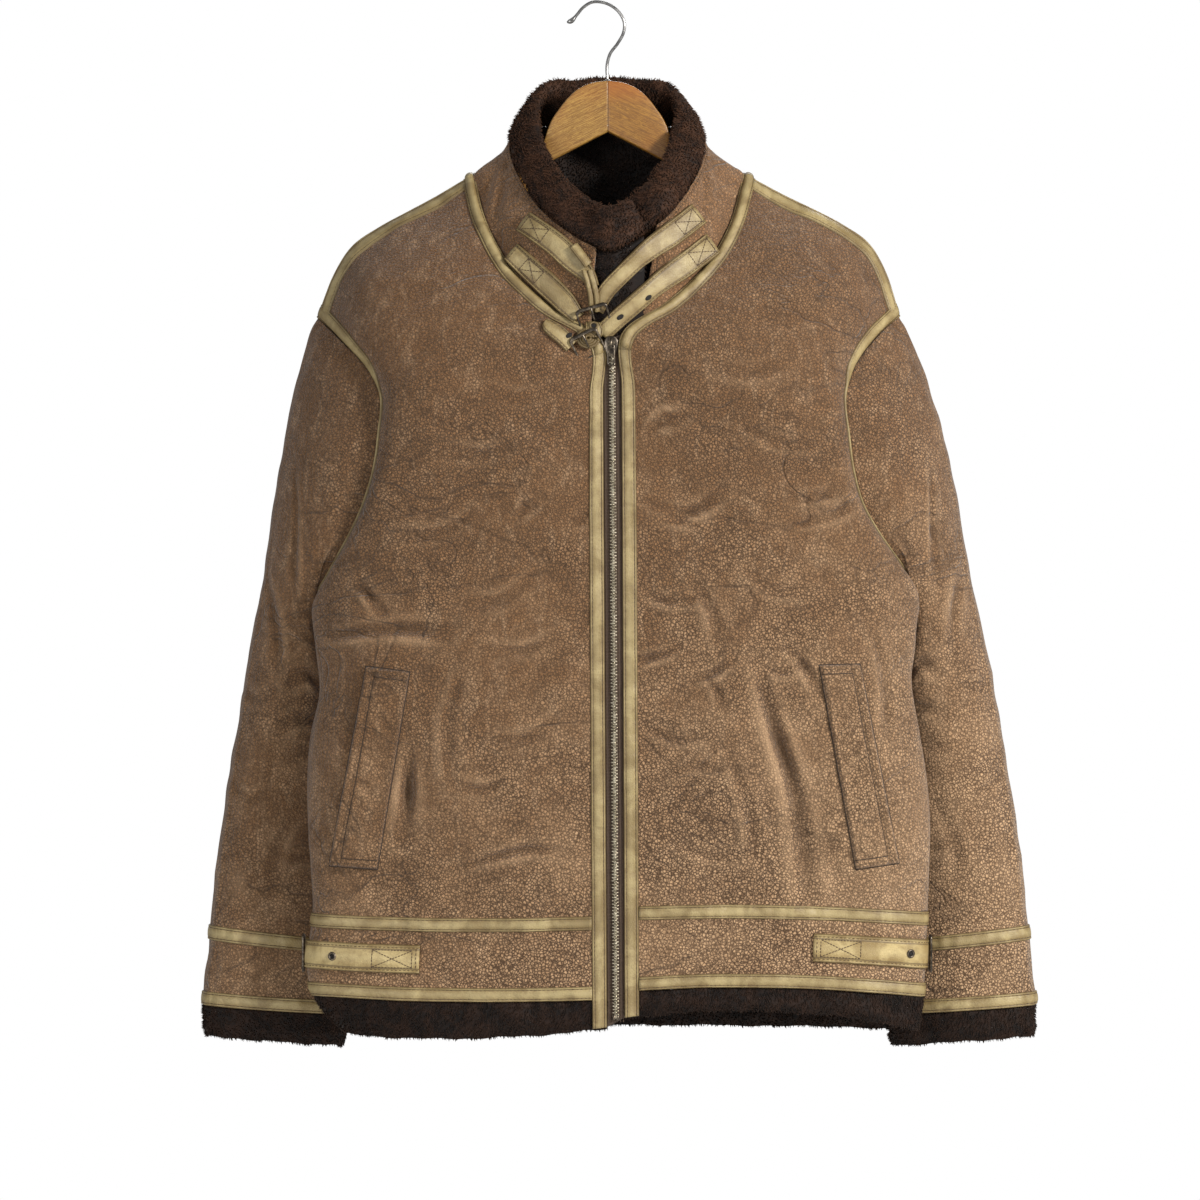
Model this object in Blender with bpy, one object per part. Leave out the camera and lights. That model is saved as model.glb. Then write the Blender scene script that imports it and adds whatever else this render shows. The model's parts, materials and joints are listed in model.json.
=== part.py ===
"""Sheepskin flying jacket on a wooden hanger, as sewn pieces with real wall thicknesses.

Sizes are in millimetres until a mesh is made. x runs to the right seen from the front, y to the
back and z up. The origin is the underside of the hook's crown, and a drop is a distance below it.
"""
import math
from collections import namedtuple

import bpy
import bmesh
import numpy as np
from mathutils import Vector
from mathutils.bvhtree import BVHTree

MM = 0.001

# Driving dimensions
SUEDE = 2.6             # suede wall
TAPE_WIDTH = 12.0       # tan leather seam tapes
TAPE_THICK = 1.2
SHOULDER_TAPE = 14.0
GAP = 0.3               # between pieces that touch
LAY_GAP = 0.4           # under a piece that is laid over several others
LAY_REACH = 2.5         # how far around a point such a piece looks for what it lies on
STRAP_WIDTH = 20.0
STRAP_THICK = 2.2
FUR_THICK = 5.5
ZIP_WIDTH = 15.0
CHAIN_WIDTH = 6.4
HOOK_WIRE = 2.6
SIDE_ROUND = 2.8        # exponent of the rounding from the chest to the side
BACK_ROUND = 2.2

# The jacket hangs a little to the right: its centre line moves with the drop
CENTRE_TOP = 9.8
LEAN = 0.00876
COLLAR_CENTRE = 8.5

FRONT_COLUMNS = 8
BODY_ROWS = 7           # rows from the waist tape to the underarm
ARM_ROWS = 10           # rows along each half of an armhole
NECK_COLUMNS = 6        # columns along the back neck

# Outer edge of a front: armhole from the shoulder tip down, then the side seam.
# half_* is the distance from the centre line, y the depth of the edge.
Edge = namedtuple("Edge", "name drop_left half_left drop_right half_right y")
ARMHOLE = [
    Edge("tip", 261.0, 243.6, 260.2, 238.5, 0),
    Edge("cap", 274.0, 230.3, 272.7, 223.6, -22),
    Edge("yoke", 303.5, 202.3, 304.0, 199.1, -48),
    Edge("turn", 315.3, 191.9, 317.0, 192.2, -56),
    Edge("chest", 345.0, 191.5, 346.0, 192.9, -62),
    Edge("mid", 378.0, 194.8, 380.0, 196.0, -61),
    Edge("low", 422.7, 208.2, 424.0, 208.4, -50),
    Edge("curve", 462.0, 229.0, 460.0, 233.0, -35),
    Edge("underarm", 498.3, 248.9, 488.4, 251.2, -20),
]
SIDE_SEAM = [
    Edge("underarm", 498.3, 248.9, 488.4, 251.2, -20),
    Edge("rib", 528.0, 247.3, 519.8, 249.1, -24),
    Edge("dip", 575.9, 244.3, 569.3, 245.2, -27),
    Edge("waist", 612.0, 252.6, 612.0, 252.6, -28),
    Edge("pocket", 665.0, 254.5, 661.7, 258.6, -28),
    Edge("tape", 742.6, 251.0, 741.7, 256.9, -28),
    Edge("hem", 825.0, 249.3, 825.0, 252.6, -28),
    Edge("fur", 856.0, 227.0, 856.0, 251.0, -28),
]
# Back edge of an armhole, the same on both sides
BackEdge = namedtuple("BackEdge", "name drop half y")
ARMHOLE_BACK = [
    BackEdge("cap", 276.0, 224.0, 24),
    BackEdge("yoke", 305.0, 205.0, 45),
    BackEdge("blade", 350.0, 196.0, 54),
    BackEdge("mid", 395.0, 199.0, 50),
    BackEdge("low", 440.0, 214.0, 31),
    BackEdge("curve", 474.0, 236.0, 4),
]
# Neck seam from the shoulder neck point down to the centre front
Neck = namedtuple("Neck", "name drop_left half_left drop_right half_right y")
NECK_SEAM = [
    Neck("point", 140.8, 111.6, 140.8, 109.8, 4),
    Neck("top", 166.0, 108.0, 168.0, 103.5, -20),
    Neck("side", 193.8, 97.9, 199.0, 91.5, -42),
    Neck("bend", 221.9, 81.9, 227.0, 71.5, -60),
    Neck("front", 245.5, 60.2, 250.0, 46.4, -72),
    Neck("centre", 266.5, 34.0, 267.5, 22.0, -79),
    Neck("corner", 282.8, 7.5, 277.9, 7.6, -83),
]
Shoulder = namedtuple("Shoulder", "name drop_left half_left drop_right half_right y")
SHOULDER = [
    Shoulder("point", 140.8, 111.6, 140.8, 109.8, 4),
    Shoulder("inner", 165.4, 153.2, 160.0, 145.2, 2),
    Shoulder("outer", 185.9, 191.5, 179.5, 184.0, 0),
    Shoulder("drop", 200.6, 213.2, 197.3, 211.7, 0),
    Shoulder("round", 224.5, 229.2, 224.5, 228.0, 0),
    Shoulder("tip", 261.0, 243.6, 260.2, 238.5, 0),
]
# Heights of the level rows: at the side seam, halfway and at the centre front of each front
Level = namedtuple("Level", "name side_left mid_left front_left front_right mid_right side_right")
LEVELS = [
    Level("fur_bottom", 854.8, 856.5, 848.2, 840.1, 833.8, 851.5),
    Level("hem_edge", 820.1, 824.0, 822.1, 815.5, 812.5, 821.8),
    Level("hem_tape_top", 808.6, 812.5, 810.6, 804.1, 801.1, 810.2),
    Level("strap_bottom", 797.9, 801.5, 799.6, 792.9, 790.3, 798.9),
    Level("strap_top", 774.7, 777.7, 775.8, 768.7, 766.9, 774.5),
    Level("waist_tape_bottom", 764.0, 766.7, 764.8, 757.5, 756.1, 763.2),
    Level("waist_seam", 758.2, 761.0, 759.1, 751.8, 750.4, 757.4),
    Level("waist_tape_top", 752.5, 755.2, 753.4, 746.0, 744.6, 751.7),
]
LEVEL = {level.name: index for index, level in enumerate(LEVELS)}
# Depth of the body on its centre line
Depth = namedtuple("Depth", "drop front back")
DEPTHS = [
    Depth(130, -60, 22), Depth(165, -70, 31), Depth(200, -78, 42), Depth(280, -83, 53),
    Depth(400, -81, 58), Depth(490, -81, 57), Depth(600, -82, 59), Depth(700, -77, 56),
    Depth(760, -74, 52), Depth(825, -73, 50), Depth(860, -72, 50),
]
# Extra crown of the rows above the underarm, by the share of the way up to the shoulder
CROWN_AT = [0.0, 0.35, 0.55, 0.8, 0.93, 1.0]
CROWN = [0.0, 2.0, 13.0, 12.0, 5.0, 0.0]

# Soft folds of the fronts and the back: from one end to the other, half width and height
Fold = namedtuple("Fold", "x0 drop0 x1 drop1 width height")
FRONT_FOLDS = [
    Fold(-150, 600, -168, 700, 20, -4.0), Fold(-120, 520, -205, 545, 22, 3.5),
    Fold(-70, 640, -100, 735, 26, 3.5), Fold(-40, 470, -150, 450, 24, -3.0),
    Fold(-60, 380, -140, 340, 26, 3.0), Fold(140, 545, 172, 735, 22, -4.5),
    Fold(105, 560, 130, 700, 24, 3.5), Fold(190, 560, 235, 520, 20, 3.5),
    Fold(60, 425, 105, 405, 18, -3.5), Fold(70, 360, 165, 400, 24, 3.0),
    Fold(225, 640, 235, 735, 16, 3.0), Fold(-215, 600, -222, 730, 14, 3.0),
]
BACK_FOLDS = [
    Fold(-60, 420, -90, 720, 26, 4.0), Fold(90, 460, 70, 730, 28, 4.0),
    Fold(0, 300, -30, 520, 30, -4.0), Fold(150, 330, 90, 430, 24, -4.0),
    Fold(-150, 340, -80, 450, 24, -4.0), Fold(20, 560, 30, 740, 24, -3.5),
]

# Sleeve rings from the armhole to the fur: outer point, inner point, depth each way and how far
# the ring has left the armhole's own outline (across, in depth and in height)
Ring = namedtuple("Ring", "name drop_out half_out_left half_out_right y_out"
                          " drop_in half_in y_in front back leave_x leave_y leave_z")
SLEEVE_RINGS = [
    Ring("cap", 300.0, 255.5, 251.0, 3, 514.0, 262.0, -16, 38, 52, 0.50, 0.45, 0.28),
    Ring("bicep_a", 345.0, 264.8, 264.8, 7, 526.0, 260.0, -10, 37, 46, 0.80, 0.70, 0.56),
    Ring("bicep_b", 400.0, 276.5, 280.0, 13, 536.0, 257.0, -2, 36, 44, 1.0, 0.95, 0.85),
    Ring("bicep_c", 465.0, 290.0, 295.6, 20, 553.0, 250.0, 7, 37, 42, 1.0, 1.0, 1.0),
    Ring("elbow_a", 530.0, 302.5, 309.0, 25, 584.0, 242.0, 17, 37, 40, 1.0, 1.0, 1.0),
    Ring("elbow_b", 590.0, 313.6, 320.6, 28, 627.0, 237.0, 27, 38, 38, 1.0, 1.0, 1.0),
    Ring("fore_a", 650.0, 324.0, 330.0, 28, 678.0, 234.5, 34, 37, 37, 1.0, 1.0, 1.0),
    Ring("fore_b", 708.0, 333.0, 337.5, 28, 729.0, 233.0, 36, 35, 35, 1.0, 1.0, 1.0),
    Ring("tape_top", 765.2, 339.0, 343.0, 28, 777.5, 234.8, 36, 33, 33, 1.0, 1.0, 1.0),
    Ring("cuff_seam", 771.5, 339.6, 343.6, 28, 783.4, 234.5, 36, 33, 33, 1.0, 1.0, 1.0),
    Ring("tape_bottom", 777.8, 340.4, 344.3, 28, 789.2, 234.0, 36, 33, 33, 1.0, 1.0, 1.0),
    Ring("band", 799.0, 343.2, 346.0, 28, 809.0, 231.0, 36, 32, 32, 1.0, 1.0, 1.0),
    Ring("cuff_tape_top", 820.4, 345.4, 347.6, 28, 828.5, 228.0, 36, 32, 32, 1.0, 1.0, 1.0),
    Ring("cuff_edge", 832.1, 346.3, 348.4, 28, 840.2, 227.2, 36, 32, 32, 1.0, 1.0, 1.0),
    Ring("fur_bottom", 859.5, 347.5, 350.8, 28, 868.5, 225.5, 36, 31, 31, 1.0, 1.0, 1.0),
]
RING = {ring.name: index + 1 for index, ring in enumerate(SLEEVE_RINGS)}

# Collar: k runs from the centre front (0) over the side (1) to the centre back (2).
# The edge is where the suede meets the fur, the crest is the top of the fur on the inside.
Collar = namedtuple("Collar", "k edge_half edge_y edge_drop crest_half crest_y crest_drop")
COLLAR = [
    Collar(0.00, 0.0, -85, 209.4, 0.0, -72, 171.9),
    Collar(0.13, 9.8, -84, 206.9, 7.5, -71, 169.5),
    Collar(0.38, 36.0, -77, 190.9, 21.0, -66, 160.0),
    Collar(0.55, 52.4, -64, 176.7, 33.0, -55, 149.4),
    Collar(0.70, 64.9, -48, 160.0, 41.2, -40, 136.0),
    Collar(0.85, 76.0, -25, 139.0, 51.0, -20, 114.0),
    Collar(1.00, 80.5, 0, 121.0, 56.0, 0, 95.0),
    Collar(1.25, 79.5, 20, 109.0, 55.0, 15, 77.0),
    Collar(1.50, 68.0, 37, 101.0, 47.0, 27, 61.5),
    Collar(1.75, 40.0, 44, 98.5, 26.0, 32, 58.5),
    Collar(2.00, 0.0, 46, 98.0, 0.0, 33, 57.7),
]
# The wings lap at the front: the left one in front, the right one behind
LAP_DEPTH = {-1: -7.0, 1: 11.0}
LAP_FULL = {-1: 0.0, 1: 0.32}
LAP_FADE = 0.28
COLLAR_START = {-1: (0.06, 0.13), 1: (0.10, 0.42)}      # k of each wing's end, at seam and edge
LINING_START = {-1: (-0.12, -0.33), 1: (0.02, 0.03)}
LINING_THICK = 3.0
LINING_DEPTH = 3.4       # behind the suede
RIM_START = {-1: -0.33, 1: 0.03}
RIM_RISE = 0.9           # from the suede's edge to the fur's lower side
BACK_STATIONS = (1.17, 1.33, 1.5, 1.67, 1.83)
RIM_AT = [-0.33, 0.35, 0.6, 0.9, 1.1, 1.5, 2.0]
RIM_THICK = [6.0, 6.5, 9.0, 6.5, 6.5, 9.0, 9.0]

# Hanger arm sections: distance from the middle, top and bottom. Where the shoulder rests on the arm
# the top follows from the cloth above it, and bottom is the arm's height.
Arm = namedtuple("Arm", "out top bottom")
ARM_SECTIONS = [
    Arm(0, 64.3, 107.0), Arm(14, 66.4, 114.0), Arm(28.8, 74.5, 121.7), Arm(39.7, 87.1, 127.4),
    Arm(48.0, 100.5, 132.0), Arm(52.5, 113.0, 136.0), Arm(60, 134.0, 150.0), Arm(72, 140.0, 160.0),
    Arm(86, 147.0, 168.0), Arm(104, 156.0, 177.0), Arm(126, None, 21.0), Arm(156, None, 20.0),
    Arm(186, None, 17.0),
]
ARM_THICK = 11.0
MITRE = 0.15
HOOK_PATH = [
    (8.6, 63.9), (8.6, 49.4), (10.8, 41.9), (17.4, 32.8), (22.0, 24.1), (22.8, 17.0), (19.1, 8.2),
    (12.0, 1.9), (4.0, -1.1), (-4.1, -1.1), (-11.6, 3.4), (-17.2, 10.0), (-21.6, 14.6), (-24.9, 15.6),
]

Point = namedtuple("Point", "x drop")
STRAPS = {
    "collar_strap_right_upper": [Point(83, 178), Point(62, 195), Point(41.5, 210), Point(22, 228),
                                 Point(5.8, 246), Point(-1, 258)],
    "collar_strap_right_lower": [Point(95, 203), Point(73, 220), Point(51, 236), Point(30, 254),
                                 Point(12, 270), Point(4, 278)],
    "collar_strap_left_lower": [Point(-70, 210), Point(-56, 223), Point(-42, 236), Point(-28, 250),
                                Point(-15.5, 265)],
    "collar_strap_left_upper": [Point(-60, 185), Point(-46, 195), Point(-33, 205), Point(-20, 218),
                                Point(-7, 231), Point(-2, 240)],
}
STRAP_TIP = [Point(-3, 269), Point(-2.5, 275), Point(-1.5, 281)]
STRAP_TAIL = [Point(-38, 274), Point(-30, 281), Point(-22, 288)]
BUCKLES = {"collar_buckle_upper": (-2.5, 265.0, 25.0, 17.0, 17.0),
           "collar_buckle_lower": (-7.5, 287.0, 23.0, 19.0, 27.0)}
BUCKLE_WIRE = 1.3

WELTS = {  # top left, top right, bottom right, bottom left corners
    "pocket_welt_left": [Point(-188.8, 549.0), Point(-152.8, 553.5), Point(-179.8, 715.7), Point(-219.9, 713.3)],
    "pocket_welt_right": [Point(181.5, 548.1), Point(215.1, 547.3), Point(247.8, 710.8), Point(211.8, 715.7)],
}
WELT_THICK = 2.2
SIDE_STRAP_REACH = {-1: 162.0, 1: 158.0}     # distance of each strap's front end from the centre
SLIDER_TOP = Point(11.5, 277.0)

COLOURS = {  # base colour, roughness, metallic
    "suede": ((0.235, 0.135, 0.075), 0.95, 0.0),
    "tan_leather": ((0.390, 0.300, 0.155), 0.65, 0.0),
    "dark_fur": ((0.016, 0.009, 0.006), 1.0, 0.0),
    "zip_tape": ((0.075, 0.050, 0.035), 0.9, 0.0),
    "gunmetal": ((0.050, 0.048, 0.046), 0.35, 1.0),
    "wood": ((0.440, 0.240, 0.080), 0.45, 0.0),
    "steel": ((0.550, 0.550, 0.540), 0.25, 1.0),
}


def clear_scene():
    for item in list(bpy.data.objects):
        bpy.data.objects.remove(item, do_unlink=True)


def material(name):
    found = bpy.data.materials.get(name)
    if found:
        return found
    colour, roughness, metallic = COLOURS[name]
    made = bpy.data.materials.new(name)
    made.use_nodes = True
    shader = made.node_tree.nodes["Principled BSDF"]
    shader.inputs["Base Color"].default_value = (*colour, 1.0)
    shader.inputs["Roughness"].default_value = roughness
    shader.inputs["Metallic"].default_value = metallic
    return made


def add_object(name, points, faces, finish):
    """One closed body from points in millimetres, its faces turned outwards."""
    mesh = bpy.data.meshes.new(name)
    mesh.from_pydata([tuple(float(c) * MM for c in p) for p in points], [], faces)
    shape = bmesh.new()
    shape.from_mesh(mesh)
    bmesh.ops.recalc_face_normals(shape, faces=shape.faces)
    shape.to_mesh(mesh)
    shape.free()
    mesh.materials.append(material(finish))
    made = bpy.data.objects.new(name, mesh)
    bpy.context.scene.collection.objects.link(made)
    return made


def spline(keys, values, at):
    """Smooth curve through values at keys, read at the given places."""
    keys = np.asarray(keys, float)
    values = np.asarray(values, float)
    at = np.atleast_1d(np.asarray(at, float))
    slopes = np.gradient(values, keys, axis=0)
    low = np.clip(np.searchsorted(keys, at, side="right") - 1, 0, len(keys) - 2)
    step = keys[low + 1] - keys[low]
    t = np.clip((at - keys[low]) / step, 0.0, 1.0)
    if values.ndim == 2:
        t, step = t[:, None], step[:, None]
    return ((2 * t**3 - 3 * t**2 + 1) * values[low] + (t**3 - 2 * t**2 + t) * step * slopes[low]
            + (3 * t**2 - 2 * t**3) * values[low + 1] + (t**3 - t**2) * step * slopes[low + 1])


def lengths(points):
    steps = np.linalg.norm(np.diff(points, axis=0), axis=1)
    return np.concatenate([[0.0], np.cumsum(steps)])


def through(points, at=None, count=120):
    """Points along a smooth curve through the given ones, at distances or evenly."""
    points = np.asarray(points, float)
    chord = lengths(points)
    fine = spline(chord, points, np.linspace(0, chord[-1], count * 4))
    run = lengths(fine)
    if at is None:
        at = np.linspace(0, run[-1], count)
    elif callable(at):
        at = at(run[-1])
    return np.stack([np.interp(at, run, fine[:, axis]) for axis in range(points.shape[1])], axis=1)


def along(points, at):
    """Points at distances along a polyline."""
    run = lengths(points)
    return np.stack([np.interp(at, run, points[:, axis]) for axis in range(points.shape[1])], axis=1)


def smooth(t):
    t = np.clip(t, 0.0, 1.0)
    return t * t * (3 - 2 * t)


def centre(drop):
    return CENTRE_TOP + LEAN * drop


def unit(vectors):
    size = np.linalg.norm(vectors, axis=-1, keepdims=True)
    return vectors / np.maximum(size, 1e-9)


def fold_height(x, drop, folds):
    """How far the soft folds lift the cloth at points given by x and drop."""
    lift = np.zeros_like(x)
    for fold in folds:
        dx, dz = fold.x1 - fold.x0, fold.drop1 - fold.drop0
        t = np.clip(((x - fold.x0) * dx + (drop - fold.drop0) * dz) / (dx * dx + dz * dz), 0, 1)
        away = np.hypot(x - fold.x0 - t * dx, drop - fold.drop0 - t * dz)
        ends = 0.35 + 0.65 * np.sin(np.pi * t)
        lift += fold.height * ends * np.exp(-(away / fold.width) ** 2)
    return lift


def normals(grid, inside, wrap=False):
    """Unit normals of a grid of points, pointing away from the inside points."""
    rows = np.gradient(grid, axis=0)
    if wrap:
        padded = np.concatenate([grid[:, -1:], grid, grid[:, :1]], axis=1)
        columns = (padded[:, 2:] - padded[:, :-2]) / 2
    else:
        columns = np.gradient(grid, axis=1)
    found = unit(np.cross(columns, rows))
    if np.sum(found * (grid - inside)) < 0:
        found = -found
    return found


def even(normal, passes, wrap=True):
    """Normals, each evened out with its neighbours'."""
    for _ in range(passes):
        ends = np.concatenate([normal[:1], normal, normal[-1:]])
        normal = unit(ends[:-2] + 2 * normal + ends[2:])
        first, last = (normal[:, -1:], normal[:, :1]) if wrap else (normal[:, :1], normal[:, -1:])
        ends = np.concatenate([first, normal, last], axis=1)
        normal = unit(ends[:, :-2] + 2 * normal + ends[:, 2:])
    return normal


def wall(name, grid, normal, outside, inside, finish, wrap=False):
    """A wall between two lifts of a grid of points, as one closed body."""
    rows, columns = grid.shape[:2]
    outer = (grid + normal * outside).reshape(-1, 3)
    inner = (grid + normal * inside).reshape(-1, 3)
    shift = rows * columns
    faces = []
    spans = columns if wrap else columns - 1
    for i in range(rows - 1):
        for j in range(spans):
            k = (j + 1) % columns
            a, b = i * columns + j, i * columns + k
            c, d = (i + 1) * columns + k, (i + 1) * columns + j
            faces += [(a, b, c), (a, c, d)]
            faces += [(shift + a, shift + c, shift + b), (shift + a, shift + d, shift + c)]
    rim = [(j, (j + 1) % columns) for j in range(spans)]
    for a, b in rim:
        last = (rows - 1) * columns
        faces += [(a, shift + b, b), (a, shift + a, shift + b)]
        faces += [(last + a, last + b, last + shift + b), (last + a, last + shift + b, last + shift + a)]
    if not wrap:
        for i in range(rows - 1):
            for j, turn in ((0, 1), (columns - 1, -1)):
                a, b = i * columns + j, (i + 1) * columns + j
                quad = [(a, b, shift + b), (a, shift + b, shift + a)]
                faces += quad if turn == 1 else [tri[::-1] for tri in quad]
    return add_object(name, np.concatenate([outer, inner]), faces, finish)


def trim(grid, gaps):
    """Draws the named edges of a grid in by a distance, so that neighbours stay apart."""
    grid = grid.copy()
    if "first_row" in gaps:
        grid[0] += unit(grid[1] - grid[0]) * gaps["first_row"]
    if "last_row" in gaps:
        grid[-1] += unit(grid[-2] - grid[-1]) * gaps["last_row"]
    if "first_column" in gaps:
        grid[:, 0] += unit(grid[:, 1] - grid[:, 0]) * gaps["first_column"]
    if "last_column" in gaps:
        grid[:, -1] += unit(grid[:, -2] - grid[:, -1]) * gaps["last_column"]
    return grid


ALL_EDGES = ("first_row", "last_row", "first_column", "last_column")


def piece(name, patch, rows, columns, lifts, finish, gap=GAP * 0.6, edges=ALL_EDGES):
    """A piece cut from a patch (grid and normals) by rows and columns."""
    grid, normal = patch
    grid = grid[rows[0]:rows[1] + 1, columns[0]:columns[1] + 1]
    normal = normal[rows[0]:rows[1] + 1, columns[0]:columns[1] + 1]
    return wall(name, trim(grid, {edge: gap for edge in edges}), normal, lifts[0], lifts[1], finish)


SHELL = (0.0, -SUEDE)
SLEEVE_WALL = (0.0, -2.0)
ON_TOP = (GAP + TAPE_THICK, GAP)


def pick(row, side, field):
    return getattr(row, field + ("_left" if side < 0 else "_right"))


def edge_points(rows, side):
    """Table rows as points (x, y, z) on one side of the jacket."""
    found = []
    for row in rows:
        drop = pick(row, side, "drop")
        found.append((centre(drop) + side * pick(row, side, "half"), row.y, -drop))
    return np.array(found, float)


def side_point(side, drop):
    drops = [pick(row, side, "drop") for row in SIDE_SEAM]
    half = spline(drops, [pick(row, side, "half") for row in SIDE_SEAM], drop)[0]
    y = spline(drops, [row.y for row in SIDE_SEAM], drop)[0]
    return np.array([centre(drop) + side * half, y, -drop])


def front_point(side, drop):
    """A point on the front edge, beside the zip."""
    half = 7.5 + (0.0 if side > 0 else 0.0025 * (drop - 280))
    if side > 0:
        half -= 0.0036 * (drop - 280)
    y = spline([d.drop for d in DEPTHS], [d.front for d in DEPTHS], drop)[0]
    return np.array([centre(drop) + side * half, y, -drop])


def row_curve(inner, outer, sag, crown, lift):
    """A row across a front, from its front or neck edge to its side or armhole edge."""
    u = np.sin(np.linspace(0, np.pi / 2, 90))
    curve = inner[None] + (outer - inner)[None] * u[:, None]
    curve[:, 1] = outer[1] + (inner[1] - outer[1]) * (1 - u ** SIDE_ROUND) ** (1 / SIDE_ROUND)
    curve[:, 1] -= crown * (1 - np.abs(2 * u - 1) ** 3)
    curve[:, 2] -= 4 * u * (1 - u) * sag
    if lift is not None:
        curve += lift(u)
    inside_edges = smooth(u / 0.08) * smooth((1 - u) / 0.12)
    curve[:, 1] -= fold_height(curve[:, 0], -curve[:, 2], FRONT_FOLDS) * inside_edges
    return curve


def front_columns(total):
    inner = np.linspace(TAPE_WIDTH, total - TAPE_WIDTH, FRONT_COLUMNS - 1)
    return np.concatenate([[0.0], inner, [total]])


def upper_rows(total, count, last):
    return np.concatenate([np.linspace(0, total - last, count), [total]])


def front_grid(side):
    """All rows of one front, from the bottom of the hem fur up to the shoulder."""
    rows = []
    for level in LEVELS:
        outer = side_point(side, pick(level, side, "side"))
        inner = front_point(side, pick(level, side, "front"))
        sag = pick(level, side, "mid") - (pick(level, side, "side") + pick(level, side, "front")) / 2
        rows.append(row_curve(inner, outer, sag, 0.0, None))
    top = LEVELS[-1]
    arm_low = pick(ARMHOLE[-1], side, "drop")
    for step in range(1, BODY_ROWS):
        share = step / BODY_ROWS
        start, end = pick(top, side, "side"), pick(top, side, "front")
        outer = side_point(side, start + (arm_low - start) * share)
        inner = front_point(side, end + (arm_low - end) * share)
        rows.append(row_curve(inner, outer, 0.0, 0.0, None))

    armhole = through(edge_points(ARMHOLE, side)[::-1], lambda total: upper_rows(total, ARM_ROWS, SHOULDER_TAPE))
    half_way = ARM_ROWS // 2
    corner = pick(NECK_SEAM[-1], side, "drop")
    opening = [front_point(side, drop) for drop in np.linspace(arm_low, corner, half_way + 1)]
    neck = through(edge_points(NECK_SEAM, side)[::-1],
                   lambda total: upper_rows(total, ARM_ROWS - half_way, SHOULDER_TAPE))
    inner_line = np.array(opening[:-1] + list(neck))
    inner_line[half_way, 0] = opening[-1][0]
    shoulder = through(edge_points(SHOULDER, side))
    chord_share = np.linspace(0, 1, len(shoulder))
    bulge = shoulder - (shoulder[0] + (shoulder[-1] - shoulder[0]) * chord_share[:, None])

    for step in range(ARM_ROWS + 1):
        share = step / ARM_ROWS
        grow = smooth((share - 0.35) / 0.65) if step < ARM_ROWS - 1 else (0.97 if step < ARM_ROWS else 1.0)

        def lift(u, grow=grow):
            return grow * np.stack([np.interp(u, chord_share, bulge[:, axis]) for axis in range(3)], axis=1)

        crown = float(np.interp(share, CROWN_AT, CROWN))
        rows.append(row_curve(inner_line[step], armhole[step], 0.0, crown, lift))
    rows[-1] = shoulder
    return np.array([along(curve, front_columns(lengths(curve)[-1])) for curve in rows])


def back_grid(left, right):
    """The back, from the left side seam and armhole to the right one."""
    shoulder_left, shoulder_right = left[-1][::-1], right[-1]
    t = np.linspace(0, 1, NECK_COLUMNS + 1)[1:-1, None]
    neck = shoulder_left[-1] + (shoulder_right[0] - shoulder_left[-1]) * t
    hollow = np.sin(np.pi * t[:, 0]) ** 0.7
    neck[:, 1] += 27.0 * hollow
    neck[:, 2] -= 24.0 * hollow
    top = np.concatenate([shoulder_left, neck, shoulder_right])
    share = (top[:, 0] - top[0, 0]) / (top[-1, 0] - top[0, 0])
    across = np.abs(2 * share - 1)

    def back_depth(drop):
        return spline([d.drop for d in DEPTHS], [d.back for d in DEPTHS], drop)

    rows = []
    lower = len(LEVELS) + BODY_ROWS - 1
    for index in range(lower + 1):
        start, end = left[index][-1], right[index][-1]
        row = start + (end - start) * share[:, None]
        middle = back_depth(-(start[2] + end[2]) / 2)[0]
        row[:, 1] += (middle - row[:, 1]) * (1 - across ** BACK_ROUND)
        rows.append(row)
    under = rows[-1]

    arms = []
    for side, grid in ((-1, left), (1, right)):
        tip, low = grid[-1][-1], grid[lower][-1]
        table = [(centre(e.drop) + side * e.half, e.y, -e.drop) for e in ARMHOLE_BACK]
        arms.append(through([low] + table[::-1] + [tip], lambda total: upper_rows(total, ARM_ROWS, SHOULDER_TAPE)))
    for step in range(1, ARM_ROWS):
        start, end = arms[0][step], arms[1][step]
        up_left = (start[2] - under[0, 2]) / (top[0, 2] - under[0, 2])
        up_right = (end[2] - under[-1, 2]) / (top[-1, 2] - under[-1, 2])
        up = up_left + (up_right - up_left) * share
        row = start + (end - start) * share[:, None]
        row[:, 2] = under[:, 2] + (top[:, 2] - under[:, 2]) * up
        fall = top[:, 2] - row[:, 2]
        reach = 0.45 * (1 - np.exp(-fall / 8.0)) + 0.55 * smooth(fall / 220.0)
        middle = top[:, 1] + (back_depth(-row[:, 2]) - top[:, 1]) * reach
        low_share = smooth(1 - step / 4.0)
        edge_weight = across ** (6.0 - 3.8 * low_share)
        row[:, 1] = edge_weight * row[:, 1] + (1 - edge_weight) * middle
        rows.append(row)
    rows.append(top)
    grid = np.array(rows)
    inner = smooth((1 - across) / 0.25)
    for index in range(1, len(grid) - 3):
        grid[index, :, 1] += fold_height(grid[index, :, 0], -grid[index, :, 2], BACK_FOLDS) * inner
    return grid


def share_seams(left, right, back):
    """Seams between the fronts and the back get one common normal each side."""
    (gl, nl), (gr, nr), (gb, nb) = left, right, back
    last = FRONT_COLUMNS
    level_rows = len(LEVELS) + BODY_ROWS
    for rows in range(level_rows):
        for n, column in ((nl, 0), (nr, -1)):
            mean = unit(n[rows, -1] + nb[rows, column])
            n[rows, -1] = mean
            nb[rows, column] = mean
    for j in range(last + 1):
        mean = unit(nl[-1, j] + nb[-1, last - j])
        nl[-1, j] = mean
        nb[-1, last - j] = mean
        k = nb.shape[1] - 1 - last + j
        mean = unit(nr[-1, j] + nb[-1, k])
        nr[-1, j] = mean
        nb[-1, k] = mean


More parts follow.
